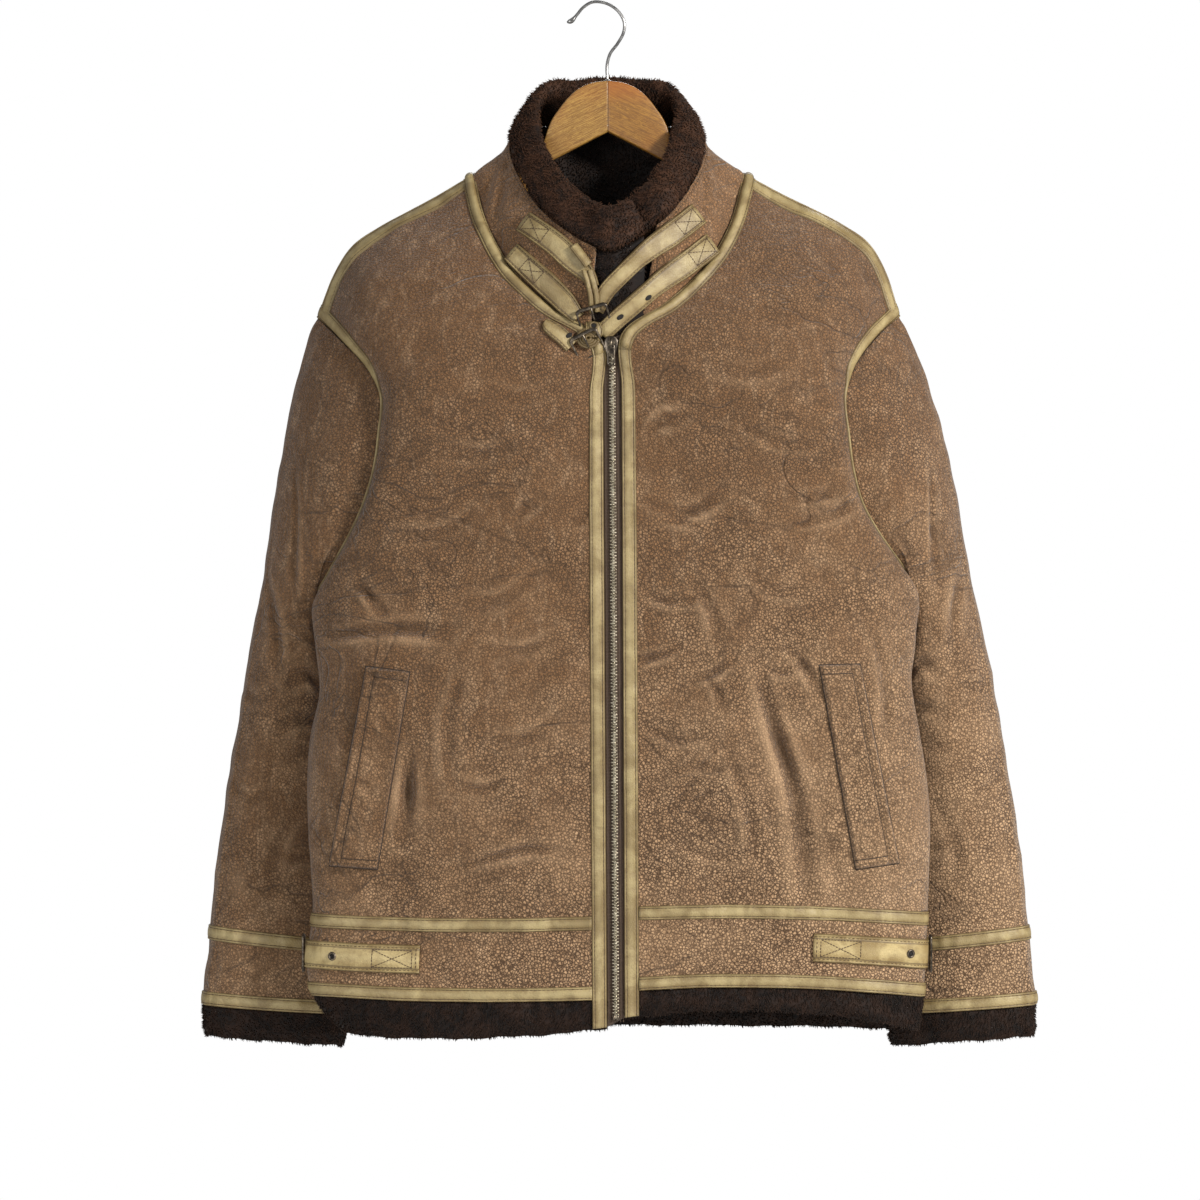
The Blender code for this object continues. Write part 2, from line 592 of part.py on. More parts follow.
def sleeve_grid(side, front, back_edge):
    """Rings of a sleeve. The first ring is the armhole: down its front edge, up its back edge."""
    first = len(LEVELS) + BODY_ROWS - 1
    down = front[first:, -1][::-1]
    up = back_edge[first + 1:-1]
    ring0 = np.concatenate([down, up])
    count = len(ring0)
    angle = np.arange(count) * 2 * np.pi / count
    cosine = np.sign(np.cos(angle)) * np.abs(np.cos(angle)) ** 0.9
    sine = np.sign(np.sin(angle)) * np.abs(np.sin(angle)) ** 0.9
    rings = [ring0]
    for ring in SLEEVE_RINGS:
        half_out = pick(ring, side, "half_out")
        out = np.array([centre(ring.drop_out) + side * half_out, ring.y_out, -ring.drop_out])
        inn = np.array([centre(ring.drop_in) + side * ring.half_in, ring.y_in, -ring.drop_in])
        oval = (out + inn) / 2 + cosine[:, None] * (out - inn) / 2
        oval[:, 1] += np.where(sine > 0, -ring.front * sine, -ring.back * sine)
        leave = np.array([ring.leave_x, ring.leave_y, ring.leave_z])
        rings.append(ring0 + (oval - ring0) * leave)
    return np.array(rings)


def share_armhole(sleeve, front, back, edge):
    """Where a sleeve runs on from the body, both get one normal along the armhole."""
    first = len(LEVELS) + BODY_ROWS - 1
    ring = sleeve[1][0]
    down = front[1][first:, -1][::-1]
    up = back[1][first + 1:-1, edge]
    for index in range(len(ring)):
        body = down[index] if index < len(down) else up[index - len(down)]
        if np.dot(body, ring[index]) > 0.1:
            mean = unit(body + ring[index])
            body[:] = mean
            ring[index] = mean
    back[1][-1, edge] = front[1][-1, -1]


def ring_centres(grid):
    return np.repeat(grid.mean(axis=1, keepdims=True), grid.shape[1], axis=1)


class Ground:
    """The front of what is already built, for laying straps and trims on it."""

    def __init__(self):
        self.points, self.faces = [], []
        self.tree = None

    def add(self, *objects):
        for item in objects:
            start = len(self.points)
            self.points += [v.co / MM for v in item.data.vertices]
            self.faces += [tuple(start + i for i in f.vertices) for f in item.data.polygons]
        self.tree = BVHTree.FromPolygons(self.points, self.faces)

    def front(self, x, drop, around=0.0):
        """Depth of the foremost surface at a place, or within a distance around it."""
        found = []
        for dx in (-around, 0.0, around) if around else (0.0,):
            for dz in (-around, 0.0, around) if around else (0.0,):
                hit = self.tree.ray_cast(Vector((x + dx, -400, dz - drop)), Vector((0, 1, 0)))[0]
                if hit:
                    found.append(hit.y)
        return min(found) if found else None

    def clearance(self, grid):
        """How far a grid of points can move back before it meets the ground."""
        found = []
        for i in range(len(grid) - 1):
            for j in range(grid.shape[1] - 1):
                for s in (0.0, 0.25, 0.5, 0.75, 1.0):
                    for t in (0.0, 0.25, 0.5, 0.75, 1.0):
                        a = grid[i, j] + (grid[i, j + 1] - grid[i, j]) * t
                        b = grid[i + 1, j] + (grid[i + 1, j + 1] - grid[i + 1, j]) * t
                        x, y, z = a + (b - a) * s
                        front = self.front(x, -z)
                        if front is not None:
                            found.append(front - y)
        return min(found)

    def above(self, x, y, drop):
        """Drop of the first surface above a place."""
        hit = self.tree.ray_cast(Vector((x, y, -drop)), Vector((0, 0, 1)))[0]
        return -hit.z if hit else 0.0


def laid_strip(name, ground, path, width, thick, finish, count=None):
    """A taut strap laid on the front of the ground along a path, bridging the hollows."""
    line = np.array([(p.x, 0.0, -p.drop) for p in path], float)
    total = lengths(line)[-1]
    count = count or max(4, int(total / 5))
    line = through(line, count=count)
    heading = unit(np.gradient(line, axis=0))
    across = np.stack([heading[:, 2], 0 * heading[:, 0], -heading[:, 0]], axis=1)
    offsets = np.array([-0.5, -0.25, 0.0, 0.25, 0.5]) * width
    grid = line[:, None] + across[:, None] * offsets[None, :, None]
    for i in range(grid.shape[0]):
        for j in range(grid.shape[1]):
            found = ground.front(grid[i, j, 0], -grid[i, j, 2], LAY_REACH)
            grid[i, j, 1] = found if found is not None else np.nan
    deepest = np.nanmax(grid[:, :, 1])
    grid[:, :, 1] = np.where(np.isnan(grid[:, :, 1]), deepest, grid[:, :, 1])
    column = grid[:, :, 1]
    flat = np.minimum(column[:, 2:3], (column[:, :1] + column[:, -1:]) / 2)
    lean = np.clip(column[:, -1:] - column[:, :1], -width / 3, width / 3) * np.linspace(-0.5, 0.5, 5)[None]
    plane = flat + lean
    plane -= np.max(plane - column, axis=1, keepdims=True).clip(min=0)
    for _ in range(60):
        plane[1:-1] = np.minimum(plane[1:-1], (plane[:-2] + plane[2:]) / 2)
    grid[:, :, 1] = plane
    grid = grid[:, [0, 2, 4]]
    behind = grid + np.array([0.0, 100.0, 0.0])
    normal = normals(grid, behind)
    grid[..., 1] += ground.clearance(grid) - LAY_GAP
    made = wall(name, grid, normal, thick, 0.0, finish)
    ground.add(made)
    return made


def swept_loop(name, centre_at, radius, sides, finish, closed=True):
    """A round wire along a path of points, closed on itself or with flat ends."""
    path = np.asarray(centre_at, float)
    count = len(path)
    if closed:
        heading = unit(np.roll(path, -1, axis=0) - np.roll(path, 1, axis=0))
    else:
        heading = unit(np.gradient(path, axis=0))
    plane = unit(np.cross(path[count // 3] - path[0], path[2 * count // 3] - path[0]))
    angle = np.arange(sides) * 2 * np.pi / sides
    rings = []
    for i in range(count):
        side = unit(np.cross(heading[i], plane))
        rings.append(path[i] + radius * (np.cos(angle)[:, None] * side + np.sin(angle)[:, None] * plane))
    points = np.concatenate(rings)
    faces = []
    for i in range(count if closed else count - 1):
        for j in range(sides):
            a, b = i * sides + j, i * sides + (j + 1) % sides
            c, d = ((i + 1) % count) * sides + (j + 1) % sides, ((i + 1) % count) * sides + j
            faces += [(a, b, c), (a, c, d)]
    if not closed:
        faces.append(tuple(range(sides))[::-1])
        faces.append(tuple((count - 1) * sides + j for j in range(sides)))
    return add_object(name, points, faces, finish)


def rounded_frame(width, height, corner, steps=3):
    """Points of a rounded rectangle about the origin, in its own plane."""
    found = []
    for quarter in range(4):
        cx = (width / 2 - corner) * (1 if quarter in (0, 3) else -1)
        cz = (height / 2 - corner) * (1 if quarter in (0, 1) else -1)
        for step in range(steps + 1):
            turn = (quarter + step / steps) * math.pi / 2
            found.append((cx + corner * math.cos(turn), cz + corner * math.sin(turn)))
    return found


def loft(name, sections, finish):
    """A closed body through rings of points, with flat ends."""
    rings = np.asarray(sections, float)
    count, sides = rings.shape[:2]
    faces = []
    for i in range(count - 1):
        for j in range(sides):
            a, b = i * sides + j, i * sides + (j + 1) % sides
            c, d = (i + 1) * sides + (j + 1) % sides, (i + 1) * sides + j
            faces += [(a, b, c), (a, c, d)]
    faces.append(tuple(range(sides))[::-1])
    faces.append(tuple((count - 1) * sides + j for j in range(sides)))
    return add_object(name, rings.reshape(-1, 3), faces, finish)


def lap(side, k):
    return LAP_DEPTH[side] * smooth((LAP_FULL[side] + LAP_FADE - k) / LAP_FADE)


def collar_point(side, k, kind):
    """A point on the collar's edge or crest, with the lap of the wings at the front."""
    ks = [row.k for row in COLLAR]
    mirror = -1 if k < 0 else 1
    half, y, drop = (spline(ks, [getattr(row, f"{kind}_{field}") for row in COLLAR], abs(k))[0]
                     for field in ("half", "y", "drop"))
    return np.array([COLLAR_CENTRE + side * mirror * half, y + lap(side, k), -drop])


def neck_point(side, k, left, right, back):
    """A point on the neck seam: k from the centre front (0) over the shoulder (1) to the back (2)."""
    if k < 0:
        side, k = -side, -k
    first = len(LEVELS) + BODY_ROWS - 1 + ARM_ROWS // 2
    line = (left if side < 0 else right)[first:, 0]
    if k <= 1:
        run = lengths(line)
        return along(line, [run[-1] * k])[0]
    middle = back.shape[1] // 2
    line = back[-1][FRONT_COLUMNS:middle + 1] if side < 0 else back[-1][middle:-FRONT_COLUMNS][::-1]
    run = lengths(line)
    return along(line, [run[-1] * (k - 1)])[0]


def collar_columns(facing):
    """Places (side, k at the seam, k at the edge) from the left wing's end to the right one's."""
    found = []
    for side in (-1, 1):
        k_seam, k_edge = COLLAR_START[side]
        half = [(side, k_seam + (1 - k_seam) * t, k_edge + (1 - k_edge) * t) for t in np.linspace(0, 1, 8)]
        half += [(side, k, k) for k in BACK_STATIONS]
        if facing:
            seam, edge = LINING_START[side]
            half = [(side, seam + (k_seam - seam) * t, edge + (k_edge - edge) * t) for t in (0, 0.33, 0.67)] + half
        found += half + [(side, 2.0, 2.0)] if side < 0 else half[::-1]
    return found


def collar_grid(facing, rise, left, right, back):
    """Rows of the standing collar from the neck seam to the fur, or of the lining behind it."""
    columns = collar_columns(facing)
    bulge = 3.0
    rows = []
    for share in rise:
        row = []
        for side, k_seam, k_edge in columns:
            low = neck_point(side, k_seam, left, right, back)
            high = collar_point(side, k_edge, "edge")
            if facing:
                lapped = 1.0 if side > 0 else smooth((COLLAR_START[side][0] - k_seam) / 0.18)
                low = low + np.array([0.0, 0.7 * lap(side, k_edge) * lapped, 0.0])
            point = low + (high - low) * share
            out = unit(point - np.array([COLLAR_CENTRE, -15.0, point[2]]))
            row.append(point + out * bulge * math.sin(math.pi * share))
        rows.append(row)
    return np.array(rows)


def build_body():
    left, right = front_grid(-1), front_grid(1)
    back = back_grid(left, right)

    def axis(grid):
        inside = grid.copy()
        inside[..., 0] = centre(-grid[..., 2]) + 0.35 * (grid[..., 0] - centre(-grid[..., 2]))
        inside[..., 1] = 0.0
        return inside

    patches = [(grid, normals(grid, axis(grid))) for grid in (left, right, back)]
    share_seams(*patches)
    sleeves = []
    for side, front, edge in ((-1, patches[0], 0), (1, patches[1], -1)):
        grid = sleeve_grid(side, front[0], back[:, edge])
        sleeve = (grid, even(normals(grid, ring_centres(grid), wrap=True), 5))
        share_armhole(sleeve, front, patches[2], edge)
        sleeves.append(sleeve)
    return patches, sleeves


def build_shell(patches):
    (left, right, back) = patches
    seam, hem = LEVEL["waist_seam"], LEVEL["hem_edge"]
    top = left[0].shape[0] - 1
    last = FRONT_COLUMNS
    made = []
    for name, patch, columns in (("left", left, last), ("right", right, last),
                                 ("back", back, back[0].shape[1] - 1)):
        panel = "back" if name == "back" else f"front_{name}"
        made.append(piece(panel, patch, (seam, top), (0, columns), SHELL, "suede"))
        made.append(piece(f"hem_band_{name}", patch, (hem, seam), (0, columns), SHELL, "suede"))
        made.append(piece(f"hem_fur_{name}", patch, (0, hem), (0, columns), (-0.8, -0.8 - FUR_THICK),
                          "dark_fur", gap=0.4))
    return made


def build_body_tapes(patches):
    left, right, back = patches
    top = left[0].shape[0] - 1
    last = FRONT_COLUMNS
    corner = len(LEVELS) + BODY_ROWS - 1 + ARM_ROWS // 2
    under = len(LEVELS) + BODY_ROWS - 1
    waist = (LEVEL["waist_tape_bottom"], LEVEL["waist_tape_top"])
    hem = (LEVEL["hem_edge"], LEVEL["hem_tape_top"])
    width = back[0].shape[1] - 1
    made = []
    for name, patch in (("left", left), ("right", right)):
        made += [
            piece(f"centre_front_tape_{name}", patch, (0, corner), (0, 1), ON_TOP, "tan_leather"),
            piece(f"neck_tape_{name}", patch, (corner, top), (0, 1), ON_TOP, "tan_leather"),
            piece(f"shoulder_tape_{name}", patch, (top - 1, top), (1, last - 1), ON_TOP, "tan_leather"),
            piece(f"armhole_tape_{name}", patch, (under + 2, top), (last - 1, last), ON_TOP, "tan_leather",
                  gap=0.8),
            piece(f"waist_tape_{name}", patch, waist, (1, last), ON_TOP, "tan_leather"),
            piece(f"hem_tape_{name}", patch, hem, (1, last), ON_TOP, "tan_leather"),
        ]
    made += [
        piece("neck_tape_back", back, (top - 1, top), (last, width - last), ON_TOP, "tan_leather"),
        piece("waist_tape_back", back, waist, (0, width), ON_TOP, "tan_leather"),
        piece("hem_tape_back", back, hem, (0, width), ON_TOP, "tan_leather"),
    ]
    return made


def build_side_straps(patches):
    """Adjuster straps on the hem band, from the front round the side to the back."""
    left, right, back = patches
    rows = slice(LEVEL["strap_bottom"], LEVEL["strap_top"] + 1)
    back_columns = 4
    made = []
    for side, (grid, normal) in ((-1, left), (1, right)):
        back_grid_rows, back_normals = back[0][rows], back[1][rows]
        if side > 0:
            back_grid_rows, back_normals = back_grid_rows[:, ::-1], back_normals[:, ::-1]
        front_grid_rows, front_normals = grid[rows], normal[rows]
        distance = np.abs(front_grid_rows[0, :, 0] - centre(790))
        first = int(np.argmax(distance > SIDE_STRAP_REACH[side]))
        t = (SIDE_STRAP_REACH[side] - distance[first - 1]) / (distance[first] - distance[first - 1])
        start = front_grid_rows[:, first - 1] + (front_grid_rows[:, first] - front_grid_rows[:, first - 1]) * t
        start_normal = unit(front_normals[:, first - 1] * (1 - t) + front_normals[:, first] * t)
        strip = np.concatenate([start[:, None], front_grid_rows[:, first:],
                                back_grid_rows[:, 1:back_columns + 1]], axis=1)
        strip_normals = np.concatenate([start_normal[:, None], front_normals[:, first:],
                                        back_normals[:, 1:back_columns + 1]], axis=1)
        name = "left" if side < 0 else "right"
        made.append(wall(f"side_strap_{name}", trim(strip, {"first_row": 0.3, "last_row": 0.3}),
                         strip_normals, GAP + STRAP_THICK, GAP, "tan_leather"))
        edge = front_grid_rows[:, -1].mean(axis=0)
        frame = [(edge[0] + side * 3.9, edge[1] + 2 + u, edge[2] + v) for u, v in rounded_frame(13, 29, 2.5)]
        made.append(swept_loop(f"side_buckle_{name}", frame, BUCKLE_WIRE, 6, "gunmetal"))
    return made


def build_sleeves(sleeves):
    made = []
    for name, (grid, normal) in zip(("left", "right"), sleeves):

        def cut(title, rows, lifts, finish, gap=GAP * 0.6):
            part = trim(grid[rows[0]:rows[1] + 1], {"first_row": gap, "last_row": gap})
            made.append(wall(f"{title}_{name}", part, normal[rows[0]:rows[1] + 1], lifts[0], lifts[1],
                             finish, wrap=True))

        cut("sleeve", (0, RING["cuff_seam"]), SLEEVE_WALL, "suede", gap=1.0)
        cut("cuff_band", (RING["cuff_seam"], RING["cuff_edge"]), SHELL, "suede")
        cut("cuff_fur", (RING["cuff_edge"], RING["fur_bottom"]), (-0.8, -0.8 - FUR_THICK), "dark_fur")
        cut("upper_cuff_tape", (RING["tape_top"], RING["tape_bottom"]), ON_TOP, "tan_leather")
        cut("lower_cuff_tape", (RING["cuff_tape_top"], RING["cuff_edge"]), ON_TOP, "tan_leather")
    return made


def build_collar(patches):
    left, right, back = (patch[0] for patch in patches)
    made = []
    for name, facing, rise, outside, thick, finish in (
            ("collar", False, (0.0, 0.33, 0.67, 1.0), 0.0, SUEDE, "suede"),
            ("collar_lining", True, (0.3, 0.5, 0.75, 0.97), -SUEDE - LINING_DEPTH, LINING_THICK, "dark_fur")):
        grid = trim(collar_grid(facing, rise, left, right, back), {"first_row": 0.6, "last_row": 1.2})
        inside = grid.copy()
        inside[..., 0] = COLLAR_CENTRE
        inside[..., 1] = -15.0
        normal = even(normals(grid, inside), 2, wrap=False)
        made.append(wall(name, grid, normal, outside, outside - thick, finish))

    stations = [(-1, k) for k in np.linspace(RIM_START[-1], 0.9, 11)]
    stations += [(-1, k) for k in (1.0, *BACK_STATIONS)] + [(1, 2.0)]
    stations += [(1, k) for k in (*BACK_STATIONS[::-1], 1.0)]
    stations += [(1, k) for k in np.linspace(0.88, RIM_START[1], 9)]
    low = np.array([collar_point(side, k, "edge") for side, k in stations])
    high = np.array([collar_point(side, k, "crest") for side, k in stations])
    low += unit(high - low) * RIM_RISE
    middle, rise = (low + high) / 2, (high - low) / 2
    out = unit(np.cross(np.gradient(middle, axis=0), rise))
    away = middle - np.array([COLLAR_CENTRE, -15.0, 0.0])
    away[:, 2] = 0.0
    out *= np.where(np.sum(out * away, axis=1) < 0, -1.0, 1.0)[:, None]
    angle = np.arange(12) * np.pi / 6
    sections = []
    for i in range(len(stations)):
        along_rise = np.sign(np.cos(angle)) * np.abs(np.cos(angle)) ** 0.8
        through_wall = np.sign(np.sin(angle)) * np.abs(np.sin(angle)) ** 0.8
        thick = np.interp(stations[i][1], RIM_AT, RIM_THICK)
        sections.append(middle[i] + along_rise[:, None] * rise[i] + through_wall[:, None] * out[i] * thick)
    made.append(loft("collar_fur", sections, "dark_fur"))
    return made


def build_zip(patches):
    left, right = patches[0][0], patches[1][0]
    corner = len(LEVELS) + BODY_ROWS - 1 + ARM_ROWS // 2
    start, end = left[:corner + 1, 0], right[:corner + 1, 0]
    across = unit(end - start)
    a, b = start + across * 0.35, end - across * 0.35
    grid = np.stack([a, (a + b) / 2, b], axis=1)
    grid[..., 1] += 1.0
    front = np.zeros_like(grid)
    front[..., 1] = -1.0
    made = [wall("zip_tape", grid, front, 0.0, -1.2, "zip_tape")]
    middle = (a + b) / 2
    half = across * CHAIN_WIDTH / 2
    chain = np.stack([middle - half, middle, middle + half], axis=1)
    chain[..., 1] += 1.0
    chain = trim(chain, {"first_row": 2.0, "last_row": 16.0})
    made.append(wall("zip_chain", chain, front, GAP + 2.0, GAP, "gunmetal"))

    outline = [(0.0, 0.0), (4.2, 0.6), (6.0, 4.0), (5.2, 9.0), (3.4, 16.0), (0.0, 16.6),
               (-3.4, 16.0), (-5.2, 9.0), (-6.0, 4.0), (-4.2, 0.6)]
    top = chain[-1, 1]
    base = top[1] - GAP - 2.0 - GAP
    plate = np.array([(SLIDER_TOP.x + x, 0.0, -(SLIDER_TOP.drop + z)) for x, z in outline])
    crown = np.array([(SLIDER_TOP.x + 0.3 * x, 0.0, -(SLIDER_TOP.drop + 2.5 + 0.65 * z)) for x, z in outline])
    sections = []
    for ring, out in ((plate, 0.0), (plate, 1.8), (crown, 2.0), (crown, 4.2)):
        lifted = ring.copy()
        lifted[:, 1] = base - out
        sections.append(lifted)
    made.append(loft("zip_slider", sections, "gunmetal"))
    return made


def build_welts(ground):
    made = []
    for name, corners in WELTS.items():
        tl, tr, br, bl = (np.array([p.x, 0.0, -p.drop]) for p in corners)
        down = np.linspace(0, 1, 11)[:, None, None]
        over = np.linspace(0, 1, 7)[None, :, None]
        grid = (tl * (1 - over) + tr * over) * (1 - down) + (bl * (1 - over) + br * over) * down
        for i in range(grid.shape[0]):
            for j in range(grid.shape[1]):
                grid[i, j, 1] = ground.front(grid[i, j, 0], -grid[i, j, 2], LAY_REACH)
        behind = grid + np.array([0.0, 100.0, 0.0])
        grid[..., 1] += ground.clearance(grid) - LAY_GAP
        made.append(wall(name, grid, normals(grid, behind), WELT_THICK, 0.0, "suede"))
    ground.add(*made)
    return made


def build_collar_hardware(ground):
    made = []
    for name, path in STRAPS.items():
        made.append(laid_strip(name, ground, path, STRAP_WIDTH, STRAP_THICK, "tan_leather"))
    made.append(laid_strip("strap_keeper", ground, [Point(-19, 206), Point(-13, 214), Point(-7, 222)],
                           7.0, 1.8, "tan_leather", count=4))
    for name, (x, drop, width, height, tilt) in BUCKLES.items():
        turn = math.radians(tilt)
        flat = [(u * math.cos(turn) - v * math.sin(turn), u * math.sin(turn) + v * math.cos(turn))
                for u, v in rounded_frame(width, height, 3.0)]
        bars = through([(u, v) for u, v in flat + flat[:1]], count=40)
        reach = [ground.front(x + u, drop - v, BUCKLE_WIRE) for u, v in bars]
        front = min(y for y in reach if y is not None) - BUCKLE_WIRE - LAY_GAP
        frame = [(x + u, front, -drop + v) for u, v in flat]
        buckle = swept_loop(name, frame, BUCKLE_WIRE, 8, "gunmetal")
        ground.add(buckle)
        made.append(buckle)
    made.append(laid_strip("strap_tip", ground, STRAP_TIP, 17.0, 3.0, "tan_leather", count=4))
    made.append(laid_strip("strap_tail", ground, STRAP_TAIL, 13.0, 2.2, "tan_leather", count=5))
    return made


def build_hanger(ground):
    made = []
    reach = (-ARM_THICK / 2, -ARM_THICK / 4, 0.0, ARM_THICK / 4, ARM_THICK / 2)
    section = rounded_frame(2.0, 2.0, 0.5, steps=2)
    for side, name in ((-1, "left"), (1, "right")):
        sections = []
        for arm in ARM_SECTIONS:
            x = 9.0 + side * (arm.out + MITRE)
            top, bottom = arm.top, arm.bottom
            if top is None:
                top = max(ground.above(x, y, 250.0) for y in reach) + GAP
                bottom = top + arm.bottom
            middle, half = -(top + bottom) / 2, (bottom - top) / 2
            sections.append([(x, v * ARM_THICK / 2, middle + u * half) for u, v in section])
        made.append(loft(f"hanger_arm_{name}", sections, "wood"))
    wire = through([(x, 0.0, -drop) for x, drop in HOOK_PATH], count=30)
    made.append(swept_loop("hanger_hook", wire, HOOK_WIRE / 2, 8, "steel", closed=False))
    return made


def main():
    clear_scene()
    patches, sleeves = build_body()
    shell = build_shell(patches)
    tapes = build_body_tapes(patches)
    build_side_straps(patches)
    build_sleeves(sleeves)
    collar = build_collar(patches)
    fastening = build_zip(patches)
    ground = Ground()
    ground.add(*shell, *tapes, *collar, *fastening)
    build_welts(ground)
    build_collar_hardware(ground)
    build_hanger(ground)


main()
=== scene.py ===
"""Sheepskin flying jacket on a wooden hanger: its cloth, fur, tapes, stitches and metal.

Sizes are in millimetres until a mesh is made. x runs to the right seen from the front, y to the
back and z up. The origin is the underside of the hook's crown, and a drop is a distance below it.
"""
import json
import math
from collections import namedtuple

import bpy
import numpy as np
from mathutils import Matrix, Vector
from mathutils.bvhtree import BVHTree

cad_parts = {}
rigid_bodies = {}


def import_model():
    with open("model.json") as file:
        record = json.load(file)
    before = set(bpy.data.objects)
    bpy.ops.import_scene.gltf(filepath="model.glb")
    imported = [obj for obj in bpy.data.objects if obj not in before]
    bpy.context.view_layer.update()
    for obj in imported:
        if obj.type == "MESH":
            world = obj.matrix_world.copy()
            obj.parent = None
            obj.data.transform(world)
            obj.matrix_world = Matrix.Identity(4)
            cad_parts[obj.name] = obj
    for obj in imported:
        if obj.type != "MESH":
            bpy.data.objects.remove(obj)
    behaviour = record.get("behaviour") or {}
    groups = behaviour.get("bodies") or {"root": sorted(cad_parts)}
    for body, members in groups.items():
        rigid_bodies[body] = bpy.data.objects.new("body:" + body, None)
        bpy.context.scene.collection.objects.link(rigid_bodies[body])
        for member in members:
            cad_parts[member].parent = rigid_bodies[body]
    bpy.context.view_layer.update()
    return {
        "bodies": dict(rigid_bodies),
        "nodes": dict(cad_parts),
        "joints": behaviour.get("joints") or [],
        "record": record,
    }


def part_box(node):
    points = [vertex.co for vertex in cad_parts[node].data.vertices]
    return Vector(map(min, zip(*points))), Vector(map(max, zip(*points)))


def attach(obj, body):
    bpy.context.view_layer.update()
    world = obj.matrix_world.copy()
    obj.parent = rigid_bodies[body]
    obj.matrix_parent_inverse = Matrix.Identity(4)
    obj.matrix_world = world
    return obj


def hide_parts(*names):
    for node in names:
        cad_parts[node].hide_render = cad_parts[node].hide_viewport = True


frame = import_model()
MM = 0.001

# Driving dimensions
SUEDE = 2.6             # suede wall
TAPE_WIDTH = 12.0       # tan leather seam tapes
SHOULDER_TAPE = 14.0
GAP = 0.3               # between pieces that touch
STRAP_WIDTH = 20.0
FUR_THICK = 5.5
HOOK_WIRE = 2.6
SIDE_ROUND = 2.8        # exponent of the rounding from the chest to the side
BACK_ROUND = 2.2

# The jacket hangs a little to the right: its centre line moves with the drop
CENTRE_TOP = 9.8
LEAN = 0.00876
COLLAR_CENTRE = 8.5

FRONT_COLUMNS = 8
BODY_ROWS = 7           # rows from the waist tape to the underarm
ARM_ROWS = 10           # rows along each half of an armhole
NECK_COLUMNS = 6        # columns along the back neck

# Outer edge of a front: armhole from the shoulder tip down, then the side seam.
# half_* is the distance from the centre line, y the depth of the edge.
Edge = namedtuple("Edge", "name drop_left half_left drop_right half_right y")
ARMHOLE = [
    Edge("tip", 261.0, 243.6, 260.2, 238.5, 0),
    Edge("cap", 274.0, 230.3, 272.7, 223.6, -22),
    Edge("yoke", 303.5, 202.3, 304.0, 199.1, -48),
    Edge("turn", 315.3, 191.9, 317.0, 192.2, -56),
    Edge("chest", 345.0, 191.5, 346.0, 192.9, -62),
    Edge("mid", 378.0, 194.8, 380.0, 196.0, -61),
    Edge("low", 422.7, 208.2, 424.0, 208.4, -50),
    Edge("curve", 462.0, 229.0, 460.0, 233.0, -35),
    Edge("underarm", 498.3, 248.9, 488.4, 251.2, -20),
]
SIDE_SEAM = [
    Edge("underarm", 498.3, 248.9, 488.4, 251.2, -20),
    Edge("rib", 528.0, 247.3, 519.8, 249.1, -24),
    Edge("dip", 575.9, 244.3, 569.3, 245.2, -27),
    Edge("waist", 612.0, 252.6, 612.0, 252.6, -28),
    Edge("pocket", 665.0, 254.5, 661.7, 258.6, -28),
    Edge("tape", 742.6, 251.0, 741.7, 256.9, -28),
    Edge("hem", 825.0, 249.3, 825.0, 252.6, -28),
    Edge("fur", 856.0, 227.0, 856.0, 251.0, -28),
]
# Back edge of an armhole, the same on both sides
BackEdge = namedtuple("BackEdge", "name drop half y")
ARMHOLE_BACK = [
    BackEdge("cap", 276.0, 224.0, 24),
    BackEdge("yoke", 305.0, 205.0, 45),
    BackEdge("blade", 350.0, 196.0, 54),
    BackEdge("mid", 395.0, 199.0, 50),
    BackEdge("low", 440.0, 214.0, 31),
    BackEdge("curve", 474.0, 236.0, 4),
]
# Neck seam from the shoulder neck point down to the centre front
Neck = namedtuple("Neck", "name drop_left half_left drop_right half_right y")
NECK_SEAM = [
    Neck("point", 140.8, 111.6, 140.8, 109.8, 4),
    Neck("top", 166.0, 108.0, 168.0, 103.5, -20),
    Neck("side", 193.8, 97.9, 199.0, 91.5, -42),
    Neck("bend", 221.9, 81.9, 227.0, 71.5, -60),
    Neck("front", 245.5, 60.2, 250.0, 46.4, -72),
    Neck("centre", 266.5, 34.0, 267.5, 22.0, -79),
    Neck("corner", 282.8, 7.5, 277.9, 7.6, -83),
]
Shoulder = namedtuple("Shoulder", "name drop_left half_left drop_right half_right y")
SHOULDER = [
    Shoulder("point", 140.8, 111.6, 140.8, 109.8, 4),
    Shoulder("inner", 165.4, 153.2, 160.0, 145.2, 2),
    Shoulder("outer", 185.9, 191.5, 179.5, 184.0, 0),
    Shoulder("drop", 200.6, 213.2, 197.3, 211.7, 0),
    Shoulder("round", 224.5, 229.2, 224.5, 228.0, 0),
    Shoulder("tip", 261.0, 243.6, 260.2, 238.5, 0),
]
# Heights of the level rows: at the side seam, halfway and at the centre front of each front
Level = namedtuple("Level", "name side_left mid_left front_left front_right mid_right side_right")
LEVELS = [
    Level("fur_bottom", 854.8, 856.5, 848.2, 840.1, 833.8, 851.5),
    Level("hem_edge", 820.1, 824.0, 822.1, 815.5, 812.5, 821.8),
    Level("hem_tape_top", 808.6, 812.5, 810.6, 804.1, 801.1, 810.2),
    Level("strap_bottom", 797.9, 801.5, 799.6, 792.9, 790.3, 798.9),
    Level("strap_top", 774.7, 777.7, 775.8, 768.7, 766.9, 774.5),
    Level("waist_tape_bottom", 764.0, 766.7, 764.8, 757.5, 756.1, 763.2),
    Level("waist_seam", 758.2, 761.0, 759.1, 751.8, 750.4, 757.4),
    Level("waist_tape_top", 752.5, 755.2, 753.4, 746.0, 744.6, 751.7),
]
